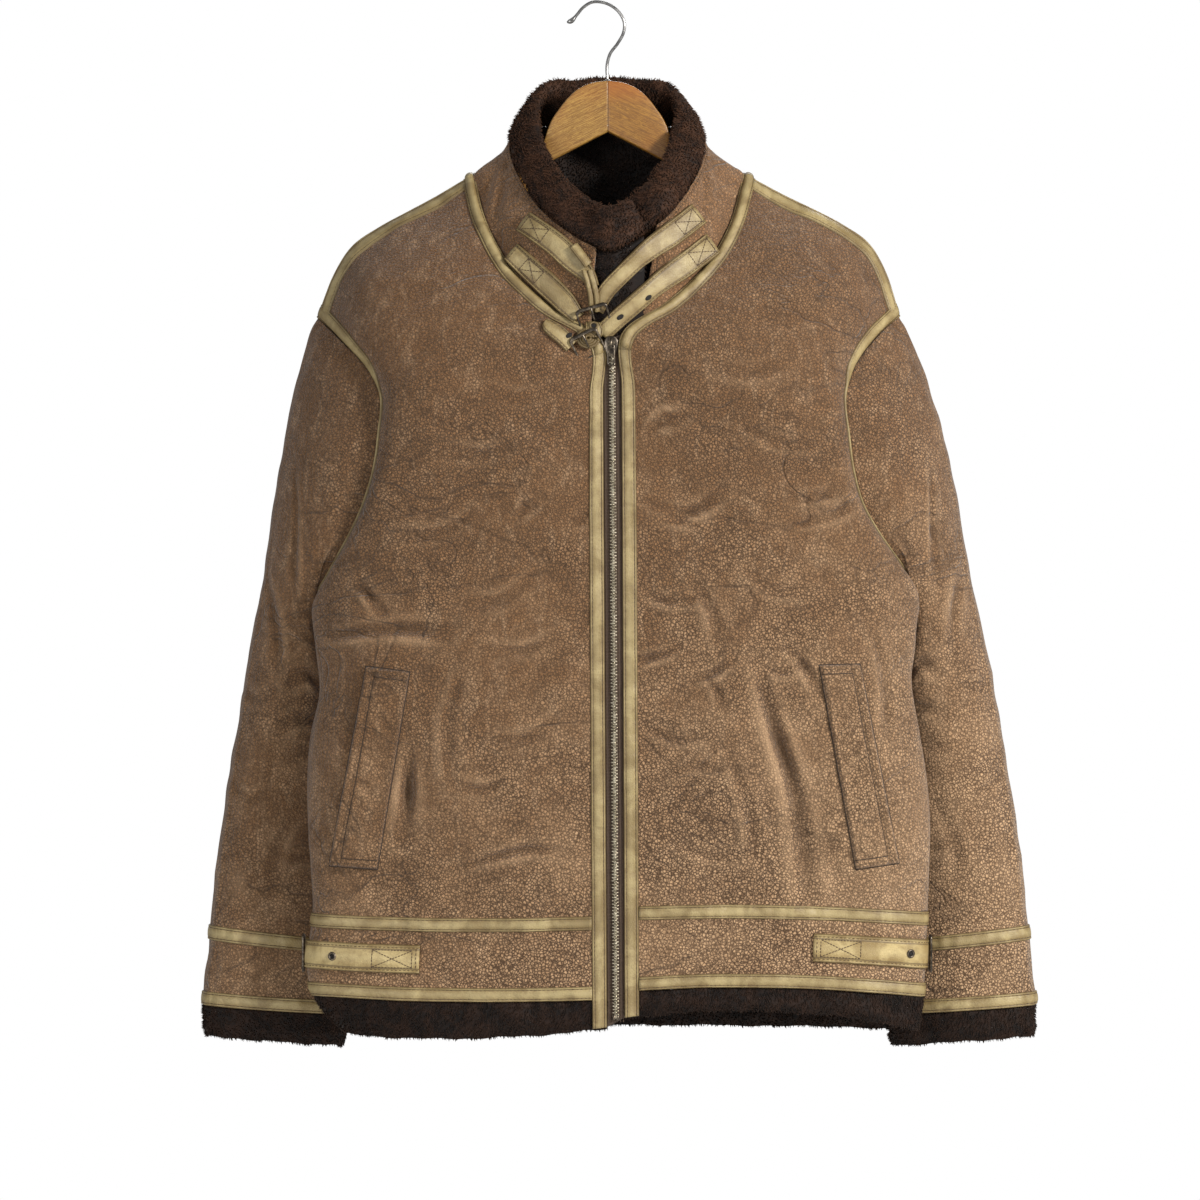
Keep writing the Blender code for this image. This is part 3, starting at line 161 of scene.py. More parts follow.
LEVEL = {level.name: index for index, level in enumerate(LEVELS)}
# Depth of the body on its centre line
Depth = namedtuple("Depth", "drop front back")
DEPTHS = [
    Depth(130, -60, 22), Depth(165, -70, 31), Depth(200, -78, 42), Depth(280, -83, 53),
    Depth(400, -81, 58), Depth(490, -81, 57), Depth(600, -82, 59), Depth(700, -77, 56),
    Depth(760, -74, 52), Depth(825, -73, 50), Depth(860, -72, 50),
]
# Extra crown of the rows above the underarm, by the share of the way up to the shoulder
CROWN_AT = [0.0, 0.35, 0.55, 0.8, 0.93, 1.0]
CROWN = [0.0, 2.0, 13.0, 12.0, 5.0, 0.0]

# Soft folds of the fronts and the back: from one end to the other, half width and height
Fold = namedtuple("Fold", "x0 drop0 x1 drop1 width height")
FRONT_FOLDS = [
    Fold(-150, 600, -168, 700, 20, -4.0), Fold(-120, 520, -205, 545, 22, 3.5),
    Fold(-70, 640, -100, 735, 26, 3.5), Fold(-40, 470, -150, 450, 24, -3.0),
    Fold(-60, 380, -140, 340, 26, 3.0), Fold(140, 545, 172, 735, 22, -4.5),
    Fold(105, 560, 130, 700, 24, 3.5), Fold(190, 560, 235, 520, 20, 3.5),
    Fold(60, 425, 105, 405, 18, -3.5), Fold(70, 360, 165, 400, 24, 3.0),
    Fold(225, 640, 235, 735, 16, 3.0), Fold(-215, 600, -222, 730, 14, 3.0),
]
BACK_FOLDS = [
    Fold(-60, 420, -90, 720, 26, 4.0), Fold(90, 460, 70, 730, 28, 4.0),
    Fold(0, 300, -30, 520, 30, -4.0), Fold(150, 330, 90, 430, 24, -4.0),
    Fold(-150, 340, -80, 450, 24, -4.0), Fold(20, 560, 30, 740, 24, -3.5),
]

# Sleeve rings from the armhole to the fur: outer point, inner point, depth each way and how far
# the ring has left the armhole's own outline (across, in depth and in height)
Ring = namedtuple("Ring", "name drop_out half_out_left half_out_right y_out"
                          " drop_in half_in y_in front back leave_x leave_y leave_z")
SLEEVE_RINGS = [
    Ring("cap", 300.0, 255.5, 251.0, 3, 514.0, 253.0, -12, 38, 52, 0.50, 0.45, 0.28),
    Ring("bicep_a", 345.0, 264.8, 264.8, 7, 526.0, 250.0, -4, 37, 46, 0.80, 0.70, 0.56),
    Ring("bicep_b", 400.0, 276.5, 280.0, 13, 536.0, 246.0, 3, 36, 44, 1.0, 0.95, 0.85),
    Ring("bicep_c", 465.0, 290.0, 295.6, 20, 553.0, 241.0, 10, 37, 42, 1.0, 1.0, 1.0),
    Ring("elbow_a", 530.0, 302.5, 309.0, 25, 584.0, 238.5, 19, 37, 40, 1.0, 1.0, 1.0),
    Ring("elbow_b", 590.0, 313.6, 320.6, 28, 627.0, 237.0, 27, 38, 38, 1.0, 1.0, 1.0),
    Ring("fore_a", 650.0, 324.0, 330.0, 28, 678.0, 234.5, 34, 37, 37, 1.0, 1.0, 1.0),
    Ring("fore_b", 708.0, 333.0, 337.5, 28, 729.0, 233.0, 36, 35, 35, 1.0, 1.0, 1.0),
    Ring("tape_top", 765.2, 339.0, 343.0, 28, 777.5, 234.8, 36, 33, 33, 1.0, 1.0, 1.0),
    Ring("cuff_seam", 771.5, 339.6, 343.6, 28, 783.4, 234.5, 36, 33, 33, 1.0, 1.0, 1.0),
    Ring("tape_bottom", 777.8, 340.4, 344.3, 28, 789.2, 234.0, 36, 33, 33, 1.0, 1.0, 1.0),
    Ring("band", 799.0, 343.2, 346.0, 28, 809.0, 231.0, 36, 32, 32, 1.0, 1.0, 1.0),
    Ring("cuff_tape_top", 820.4, 345.4, 347.6, 28, 828.5, 228.0, 36, 32, 32, 1.0, 1.0, 1.0),
    Ring("cuff_edge", 832.1, 346.3, 348.4, 28, 840.2, 227.2, 36, 32, 32, 1.0, 1.0, 1.0),
    Ring("fur_bottom", 859.5, 347.5, 350.8, 28, 868.5, 225.5, 36, 31, 31, 1.0, 1.0, 1.0),
]
RING = {ring.name: index + 1 for index, ring in enumerate(SLEEVE_RINGS)}

# Collar: k runs from the centre front (0) over the side (1) to the centre back (2).
# The edge is where the suede meets the fur, the crest is the top of the fur on the inside.
Collar = namedtuple("Collar", "k edge_half edge_y edge_drop crest_half crest_y crest_drop")
COLLAR = [
    Collar(0.00, 0.0, -85, 209.4, 0.0, -72, 171.9),
    Collar(0.13, 9.8, -84, 206.9, 7.5, -71, 169.5),
    Collar(0.38, 36.0, -77, 190.9, 21.0, -66, 160.0),
    Collar(0.55, 52.4, -64, 176.7, 33.0, -55, 149.4),
    Collar(0.70, 64.9, -48, 160.0, 41.2, -40, 136.0),
    Collar(0.85, 76.0, -25, 139.0, 51.0, -20, 114.0),
    Collar(1.00, 80.5, 0, 121.0, 56.0, 0, 95.0),
    Collar(1.25, 79.5, 20, 109.0, 55.0, 15, 77.0),
    Collar(1.50, 68.0, 37, 101.0, 47.0, 27, 61.5),
    Collar(1.75, 40.0, 44, 98.5, 26.0, 32, 58.5),
    Collar(2.00, 0.0, 46, 98.0, 0.0, 33, 57.7),
]
# The wings lap at the front: the left one in front, the right one behind
LAP_DEPTH = {-1: -7.0, 1: 11.0}
LAP_FULL = {-1: 0.0, 1: 0.32}
LAP_FADE = 0.28
COLLAR_START = {-1: (0.06, 0.13), 1: (0.10, 0.42)}      # k of each wing's end, at seam and edge
LINING_START = {-1: (-0.12, -0.33), 1: (0.02, 0.03)}
LINING_THICK = 3.0
LINING_DEPTH = 3.4       # behind the suede
RIM_START = {-1: -0.33, 1: 0.03}
BACK_STATIONS = (1.17, 1.33, 1.5, 1.67, 1.83)
RIM_AT = [-0.33, 0.35, 0.6, 0.9, 1.1, 1.5, 2.0]
RIM_THICK = [6.0, 6.5, 9.0, 6.5, 6.5, 9.0, 9.0]

# Hanger arm sections: distance from the middle, top and bottom. Where the shoulder rests on the arm
# the top follows from the cloth above it, and bottom is the arm's height.
Arm = namedtuple("Arm", "out top bottom")
ARM_SECTIONS = [
    Arm(0, 64.3, 107.0), Arm(14, 66.4, 114.0), Arm(28.8, 74.5, 121.7), Arm(39.7, 87.1, 127.4),
    Arm(48.0, 100.5, 132.0), Arm(52.5, 113.0, 136.0), Arm(60, 134.0, 150.0), Arm(72, 140.0, 160.0),
    Arm(86, 147.0, 168.0), Arm(104, 156.0, 177.0), Arm(126, None, 21.0), Arm(156, None, 20.0),
    Arm(186, None, 17.0),
]
ARM_THICK = 11.0
MITRE = 0.15
HOOK_PATH = [
    (8.6, 63.9), (8.6, 49.4), (10.8, 41.9), (17.4, 32.8), (22.0, 24.1), (22.8, 17.0), (19.1, 8.2),
    (12.0, 1.9), (4.0, -1.1), (-4.1, -1.1), (-11.6, 3.4), (-17.2, 10.0), (-21.6, 14.6), (-24.9, 15.6),
]

Point = namedtuple("Point", "x drop")
STRAPS = {
    "collar_strap_right_upper": [Point(83, 178), Point(62, 195), Point(41.5, 210), Point(22, 228),
                                 Point(5.8, 246), Point(-1, 258)],
    "collar_strap_right_lower": [Point(95, 203), Point(73, 220), Point(51, 236), Point(30, 254),
                                 Point(12, 270), Point(4, 278)],
    "collar_strap_left_lower": [Point(-70, 210), Point(-56, 223), Point(-42, 236), Point(-28, 250),
                                Point(-15.5, 265)],
    "collar_strap_left_upper": [Point(-60, 185), Point(-46, 195), Point(-33, 205), Point(-20, 218),
                                Point(-7, 231), Point(-2, 240)],
}
STRAP_TIP = [Point(-3, 269), Point(-2.5, 275), Point(-1.5, 281)]
STRAP_TAIL = [Point(-43, 269), Point(-36, 274.5), Point(-29, 280), Point(-21, 288)]
STRAP_KEEPER = [Point(-19, 206), Point(-13, 214), Point(-7, 222)]
STRAP_STRAND = [Point(-8, 226), Point(-4.5, 238), Point(-2.5, 248), Point(-2, 260)]
STRAP_CURL = Point(-7.2, 281.5)
BUCKLES = {"collar_buckle_upper": (-2.5, 265.0, 25.0, 17.0, 17.0),
           "collar_buckle_lower": (-7.5, 287.0, 23.0, 19.0, 27.0)}
BUCKLE_WIRE = 1.3
BUCKLE_CORNER = 3.0
SIDE_EYELET_AT = {-1: 74.0, 1: 82.0}    # place of each side strap's eyelet along it
HOLE_TILT = 0.7
HANGER_MIDDLE = 9.0

WELTS = {  # top left, top right, bottom right, bottom left corners
    "pocket_welt_left": [Point(-188.8, 549.0), Point(-152.8, 553.5), Point(-179.8, 715.7),
                         Point(-219.9, 713.3)],
    "pocket_welt_right": [Point(181.5, 548.1), Point(215.1, 547.3), Point(247.8, 710.8), Point(211.8, 715.7)],
}
# Distances on a welt: its inner panel from the side edge and the ends, and its rows of stitches
WELT_PANEL_SIDE = 8.3
WELT_PANEL_END = 7.0
WELT_STITCH_SIDE = 6.6
WELT_STITCH_FRONT = 2.2
WELT_STITCH_END = 4.6
SIDE_STRAP_REACH = {-1: 162.0, 1: 158.0}     # distance of each strap's front end from the centre
SLIDER_TOP = Point(11.5, 277.0)


def spline(keys, values, at):
    """Smooth curve through values at keys, read at the given places."""
    keys = np.asarray(keys, float)
    values = np.asarray(values, float)
    at = np.atleast_1d(np.asarray(at, float))
    slopes = np.gradient(values, keys, axis=0)
    low = np.clip(np.searchsorted(keys, at, side="right") - 1, 0, len(keys) - 2)
    step = keys[low + 1] - keys[low]
    t = np.clip((at - keys[low]) / step, 0.0, 1.0)
    if values.ndim == 2:
        t, step = t[:, None], step[:, None]
    return ((2 * t**3 - 3 * t**2 + 1) * values[low] + (t**3 - 2 * t**2 + t) * step * slopes[low]
            + (3 * t**2 - 2 * t**3) * values[low + 1] + (t**3 - t**2) * step * slopes[low + 1])


def lengths(points):
    steps = np.linalg.norm(np.diff(points, axis=0), axis=1)
    return np.concatenate([[0.0], np.cumsum(steps)])


def through(points, at=None, count=120):
    """Points along a smooth curve through the given ones, at distances or evenly."""
    points = np.asarray(points, float)
    chord = lengths(points)
    fine = spline(chord, points, np.linspace(0, chord[-1], count * 4))
    run = lengths(fine)
    if at is None:
        at = np.linspace(0, run[-1], count)
    elif callable(at):
        at = at(run[-1])
    return np.stack([np.interp(at, run, fine[:, axis]) for axis in range(points.shape[1])], axis=1)


def along(points, at):
    """Points at distances along a polyline."""
    run = lengths(points)
    return np.stack([np.interp(at, run, points[:, axis]) for axis in range(points.shape[1])], axis=1)


def smooth(t):
    t = np.clip(t, 0.0, 1.0)
    return t * t * (3 - 2 * t)


def centre(drop):
    return CENTRE_TOP + LEAN * drop


def unit(vectors):
    size = np.linalg.norm(vectors, axis=-1, keepdims=True)
    return vectors / np.maximum(size, 1e-9)


def fold_height(x, drop, folds):
    """How far the soft folds lift the cloth at points given by x and drop."""
    lift = np.zeros_like(x)
    for fold in folds:
        dx, dz = fold.x1 - fold.x0, fold.drop1 - fold.drop0
        t = np.clip(((x - fold.x0) * dx + (drop - fold.drop0) * dz) / (dx * dx + dz * dz), 0, 1)
        away = np.hypot(x - fold.x0 - t * dx, drop - fold.drop0 - t * dz)
        ends = 0.35 + 0.65 * np.sin(np.pi * t)
        lift += fold.height * ends * np.exp(-(away / fold.width) ** 2)
    return lift


def normals(grid, inside, wrap=False):
    """Unit normals of a grid of points, pointing away from the inside points."""
    rows = np.gradient(grid, axis=0)
    if wrap:
        padded = np.concatenate([grid[:, -1:], grid, grid[:, :1]], axis=1)
        columns = (padded[:, 2:] - padded[:, :-2]) / 2
    else:
        columns = np.gradient(grid, axis=1)
    found = unit(np.cross(columns, rows))
    if np.sum(found * (grid - inside)) < 0:
        found = -found
    return found


def even(normal, passes, wrap=True):
    """Normals, each evened out with its neighbours'."""
    for _ in range(passes):
        ends = np.concatenate([normal[:1], normal, normal[-1:]])
        normal = unit(ends[:-2] + 2 * normal + ends[2:])
        first, last = (normal[:, -1:], normal[:, :1]) if wrap else (normal[:, :1], normal[:, -1:])
        ends = np.concatenate([first, normal, last], axis=1)
        normal = unit(ends[:, :-2] + 2 * normal + ends[:, 2:])
    return normal


def trim(grid, gaps):
    """Draws the named edges of a grid in by a distance, so that neighbours stay apart."""
    grid = grid.copy()
    if "first_row" in gaps:
        grid[0] += unit(grid[1] - grid[0]) * gaps["first_row"]
    if "last_row" in gaps:
        grid[-1] += unit(grid[-2] - grid[-1]) * gaps["last_row"]
    if "first_column" in gaps:
        grid[:, 0] += unit(grid[:, 1] - grid[:, 0]) * gaps["first_column"]
    if "last_column" in gaps:
        grid[:, -1] += unit(grid[:, -2] - grid[:, -1]) * gaps["last_column"]
    return grid


def pick(row, side, field):
    return getattr(row, field + ("_left" if side < 0 else "_right"))


def edge_points(rows, side):
    """Table rows as points (x, y, z) on one side of the jacket."""
    found = []
    for row in rows:
        drop = pick(row, side, "drop")
        found.append((centre(drop) + side * pick(row, side, "half"), row.y, -drop))
    return np.array(found, float)


def side_point(side, drop):
    drops = [pick(row, side, "drop") for row in SIDE_SEAM]
    half = spline(drops, [pick(row, side, "half") for row in SIDE_SEAM], drop)[0]
    y = spline(drops, [row.y for row in SIDE_SEAM], drop)[0]
    return np.array([centre(drop) + side * half, y, -drop])


def front_point(side, drop):
    """A point on the front edge, beside the zip."""
    half = 7.5 + (0.0 if side > 0 else 0.0025 * (drop - 280))
    if side > 0:
        half -= 0.0036 * (drop - 280)
    y = spline([d.drop for d in DEPTHS], [d.front for d in DEPTHS], drop)[0]
    return np.array([centre(drop) + side * half, y, -drop])


def row_curve(inner, outer, sag, crown, lift):
    """A row across a front, from its front or neck edge to its side or armhole edge."""
    u = np.sin(np.linspace(0, np.pi / 2, 90))
    curve = inner[None] + (outer - inner)[None] * u[:, None]
    curve[:, 1] = outer[1] + (inner[1] - outer[1]) * (1 - u ** SIDE_ROUND) ** (1 / SIDE_ROUND)
    curve[:, 1] -= crown * (1 - np.abs(2 * u - 1) ** 3)
    curve[:, 2] -= 4 * u * (1 - u) * sag
    if lift is not None:
        curve += lift(u)
    inside_edges = smooth(u / 0.08) * smooth((1 - u) / 0.12)
    curve[:, 1] -= fold_height(curve[:, 0], -curve[:, 2], FRONT_FOLDS) * inside_edges
    return curve


def arm_places(total):
    return upper_rows(total, ARM_ROWS, SHOULDER_TAPE)


def front_columns(total):
    inner = np.linspace(TAPE_WIDTH, total - TAPE_WIDTH, FRONT_COLUMNS - 1)
    return np.concatenate([[0.0], inner, [total]])


def upper_rows(total, count, last):
    return np.concatenate([np.linspace(0, total - last, count), [total]])


def front_grid(side):
    """All rows of one front, from the bottom of the hem fur up to the shoulder."""
    rows = []
    for level in LEVELS:
        outer = side_point(side, pick(level, side, "side"))
        inner = front_point(side, pick(level, side, "front"))
        sag = pick(level, side, "mid") - (pick(level, side, "side") + pick(level, side, "front")) / 2
        rows.append(row_curve(inner, outer, sag, 0.0, None))
    top = LEVELS[-1]
    arm_low = pick(ARMHOLE[-1], side, "drop")
    for step in range(1, BODY_ROWS):
        share = step / BODY_ROWS
        start, end = pick(top, side, "side"), pick(top, side, "front")
        outer = side_point(side, start + (arm_low - start) * share)
        inner = front_point(side, end + (arm_low - end) * share)
        rows.append(row_curve(inner, outer, 0.0, 0.0, None))

    armhole = through(edge_points(ARMHOLE, side)[::-1], arm_places)
    half_way = ARM_ROWS // 2
    corner = pick(NECK_SEAM[-1], side, "drop")
    opening = [front_point(side, drop) for drop in np.linspace(arm_low, corner, half_way + 1)]
    neck = through(edge_points(NECK_SEAM, side)[::-1],
                   lambda total: upper_rows(total, ARM_ROWS - half_way, SHOULDER_TAPE))
    inner_line = np.array(opening[:-1] + list(neck))
    inner_line[half_way, 0] = opening[-1][0]
    shoulder = through(edge_points(SHOULDER, side))
    chord_share = np.linspace(0, 1, len(shoulder))
    bulge = shoulder - (shoulder[0] + (shoulder[-1] - shoulder[0]) * chord_share[:, None])

    for step in range(ARM_ROWS + 1):
        share = step / ARM_ROWS
        grow = smooth((share - 0.35) / 0.65) if step < ARM_ROWS - 1 else (0.97 if step < ARM_ROWS else 1.0)

        def lift(u, grow=grow):
            return grow * np.stack([np.interp(u, chord_share, bulge[:, axis]) for axis in range(3)], axis=1)

        crown = float(np.interp(share, CROWN_AT, CROWN))
        rows.append(row_curve(inner_line[step], armhole[step], 0.0, crown, lift))
    rows[-1] = shoulder
    return np.array([along(curve, front_columns(lengths(curve)[-1])) for curve in rows])


def back_grid(left, right):
    """The back, from the left side seam and armhole to the right one."""
    shoulder_left, shoulder_right = left[-1][::-1], right[-1]
    t = np.linspace(0, 1, NECK_COLUMNS + 1)[1:-1, None]
    neck = shoulder_left[-1] + (shoulder_right[0] - shoulder_left[-1]) * t
    hollow = np.sin(np.pi * t[:, 0]) ** 0.7
    neck[:, 1] += 27.0 * hollow
    neck[:, 2] -= 24.0 * hollow
    top = np.concatenate([shoulder_left, neck, shoulder_right])
    share = (top[:, 0] - top[0, 0]) / (top[-1, 0] - top[0, 0])
    across = np.abs(2 * share - 1)

    def back_depth(drop):
        return spline([d.drop for d in DEPTHS], [d.back for d in DEPTHS], drop)

    rows = []
    lower = len(LEVELS) + BODY_ROWS - 1
    for index in range(lower + 1):
        start, end = left[index][-1], right[index][-1]
        row = start + (end - start) * share[:, None]
        middle = back_depth(-(start[2] + end[2]) / 2)[0]
        row[:, 1] += (middle - row[:, 1]) * (1 - across ** BACK_ROUND)
        rows.append(row)
    under = rows[-1]

    arms = []
    for side, grid in ((-1, left), (1, right)):
        tip, low = grid[-1][-1], grid[lower][-1]
        table = [(centre(e.drop) + side * e.half, e.y, -e.drop) for e in ARMHOLE_BACK]
        arms.append(through([low] + table[::-1] + [tip], arm_places))
    for step in range(1, ARM_ROWS):
        start, end = arms[0][step], arms[1][step]
        up_left = (start[2] - under[0, 2]) / (top[0, 2] - under[0, 2])
        up_right = (end[2] - under[-1, 2]) / (top[-1, 2] - under[-1, 2])
        up = up_left + (up_right - up_left) * share
        row = start + (end - start) * share[:, None]
        row[:, 2] = under[:, 2] + (top[:, 2] - under[:, 2]) * up
        fall = top[:, 2] - row[:, 2]
        reach = 0.45 * (1 - np.exp(-fall / 8.0)) + 0.55 * smooth(fall / 220.0)
        middle = top[:, 1] + (back_depth(-row[:, 2]) - top[:, 1]) * reach
        low_share = smooth(1 - step / 4.0)
        edge_weight = across ** (6.0 - 3.8 * low_share)
        row[:, 1] = edge_weight * row[:, 1] + (1 - edge_weight) * middle
        rows.append(row)
    rows.append(top)
    grid = np.array(rows)
    inner = smooth((1 - across) / 0.25)
    for index in range(1, len(grid) - 3):
        grid[index, :, 1] += fold_height(grid[index, :, 0], -grid[index, :, 2], BACK_FOLDS) * inner
    return grid


def share_seams(left, right, back):
    """Seams between the fronts and the back get one common normal each side."""
    nl, nr, nb = left[1], right[1], back[1]
    last = FRONT_COLUMNS
    level_rows = len(LEVELS) + BODY_ROWS
    for rows in range(level_rows):
        for n, column in ((nl, 0), (nr, -1)):
            mean = unit(n[rows, -1] + nb[rows, column])
            n[rows, -1] = mean
            nb[rows, column] = mean
    for j in range(last + 1):
        mean = unit(nl[-1, j] + nb[-1, last - j])
        nl[-1, j] = mean
        nb[-1, last - j] = mean
        k = nb.shape[1] - 1 - last + j
        mean = unit(nr[-1, j] + nb[-1, k])
        nr[-1, j] = mean
        nb[-1, k] = mean


def sleeve_grid(side, front, back_edge):
    """Rings of a sleeve. The first ring is the armhole: down its front edge, up its back edge."""
    first = len(LEVELS) + BODY_ROWS - 1
    down = front[first:, -1][::-1]
    up = back_edge[first + 1:-1]
    ring0 = np.concatenate([down, up])
    count = len(ring0)
    angle = np.arange(count) * 2 * np.pi / count
    cosine = np.sign(np.cos(angle)) * np.abs(np.cos(angle)) ** 0.9
    sine = np.sign(np.sin(angle)) * np.abs(np.sin(angle)) ** 0.9
    rings = [ring0]
    for ring in SLEEVE_RINGS:
        half_out = pick(ring, side, "half_out")
        out = np.array([centre(ring.drop_out) + side * half_out, ring.y_out, -ring.drop_out])
        inn = np.array([centre(ring.drop_in) + side * ring.half_in, ring.y_in, -ring.drop_in])
        oval = (out + inn) / 2 + cosine[:, None] * (out - inn) / 2
        oval[:, 1] += np.where(sine > 0, -ring.front * sine, -ring.back * sine)
        leave = np.array([ring.leave_x, ring.leave_y, ring.leave_z])
        rings.append(ring0 + (oval - ring0) * leave)
    return np.array(rings)


def share_armhole(sleeve, front, back, edge):
    """Where a sleeve runs on from the body, both get one normal along the armhole."""
    first = len(LEVELS) + BODY_ROWS - 1
    ring = sleeve[1][0]
    down = front[1][first:, -1][::-1]
    up = back[1][first + 1:-1, edge]
    for index in range(len(ring)):
        body = down[index] if index < len(down) else up[index - len(down)]
        if np.dot(body, ring[index]) > 0.1:
            mean = unit(body + ring[index])
            body[:] = mean
            ring[index] = mean
    back[1][-1, edge] = front[1][-1, -1]


def ring_centres(grid):
    return np.repeat(grid.mean(axis=1, keepdims=True), grid.shape[1], axis=1)


def lap(side, k):
    return LAP_DEPTH[side] * smooth((LAP_FULL[side] + LAP_FADE - k) / LAP_FADE)


def collar_point(side, k, kind):
    """A point on the collar's edge or crest, with the lap of the wings at the front."""
    ks = [row.k for row in COLLAR]
    mirror = -1 if k < 0 else 1
    half, y, drop = (spline(ks, [getattr(row, f"{kind}_{field}") for row in COLLAR], abs(k))[0]
                     for field in ("half", "y", "drop"))
    return np.array([COLLAR_CENTRE + side * mirror * half, y + lap(side, k), -drop])


def neck_point(side, k, left, right, back):
    """A point on the neck seam: k from the centre front (0) over the shoulder (1) to the back (2)."""
    if k < 0:
        side, k = -side, -k
    first = len(LEVELS) + BODY_ROWS - 1 + ARM_ROWS // 2
    line = (left if side < 0 else right)[first:, 0]
    if k <= 1:
        run = lengths(line)
        return along(line, [run[-1] * k])[0]
    middle = back.shape[1] // 2
    line = back[-1][FRONT_COLUMNS:middle + 1] if side < 0 else back[-1][middle:-FRONT_COLUMNS][::-1]
    run = lengths(line)
    return along(line, [run[-1] * (k - 1)])[0]


def collar_columns(facing):
    """Places (side, k at the seam, k at the edge) from the left wing's end to the right one's."""
    found = []
    for side in (-1, 1):
        k_seam, k_edge = COLLAR_START[side]
        half = [(side, k_seam + (1 - k_seam) * t, k_edge + (1 - k_edge) * t) for t in np.linspace(0, 1, 8)]
        half += [(side, k, k) for k in BACK_STATIONS]
        if facing:
            seam, edge = LINING_START[side]
            inner = [(side, seam + (k_seam - seam) * t, edge + (k_edge - edge) * t) for t in (0, 0.33, 0.67)]
            half = inner + half
        found += half + [(side, 2.0, 2.0)] if side < 0 else half[::-1]
    return found


def collar_grid(facing, rise, left, right, back):
    """Rows of the standing collar from the neck seam to the fur, or of the lining behind it."""
    columns = collar_columns(facing)
    bulge = 3.0
    rows = []
    for share in rise:
        row = []
        for side, k_seam, k_edge in columns:
            low = neck_point(side, k_seam, left, right, back)
            high = collar_point(side, k_edge, "edge")
            if facing:
                lapped = 1.0 if side > 0 else smooth((COLLAR_START[side][0] - k_seam) / 0.18)
                low = low + np.array([0.0, 0.7 * lap(side, k_edge) * lapped, 0.0])
            point = low + (high - low) * share
            out = unit(point - np.array([COLLAR_CENTRE, -15.0, point[2]]))
            row.append(point + out * bulge * math.sin(math.pi * share))
        rows.append(row)
    return np.array(rows)


def build_body():
    left, right = front_grid(-1), front_grid(1)
    back = back_grid(left, right)
    patches = [(grid, normals(grid, inside_axis(grid))) for grid in (left, right, back)]
    share_seams(*patches)
    sleeves = []
    for side, front, edge in ((-1, patches[0], 0), (1, patches[1], -1)):
        grid = sleeve_grid(side, front[0], back[:, edge])
        sleeve = (grid, even(normals(grid, ring_centres(grid), wrap=True), 5))
        share_armhole(sleeve, front, patches[2], edge)
        sleeves.append(sleeve)
    return patches, sleeves


# How finely each row and column of the coarse grids is divided
ROW_STEPS = [14] + [4] * 6 + [16] * BODY_ROWS + [8] * ARM_ROWS
FRONT_STEPS = [6] + [15] * (FRONT_COLUMNS - 2) + [6]
BACK_STEPS = FRONT_STEPS[::-1] + [8] * NECK_COLUMNS + FRONT_STEPS
RING_STEPS = [10] + [12] * 7 + [4] * 6 + [12]
ARM_STEPS = ROW_STEPS[-ARM_ROWS:]

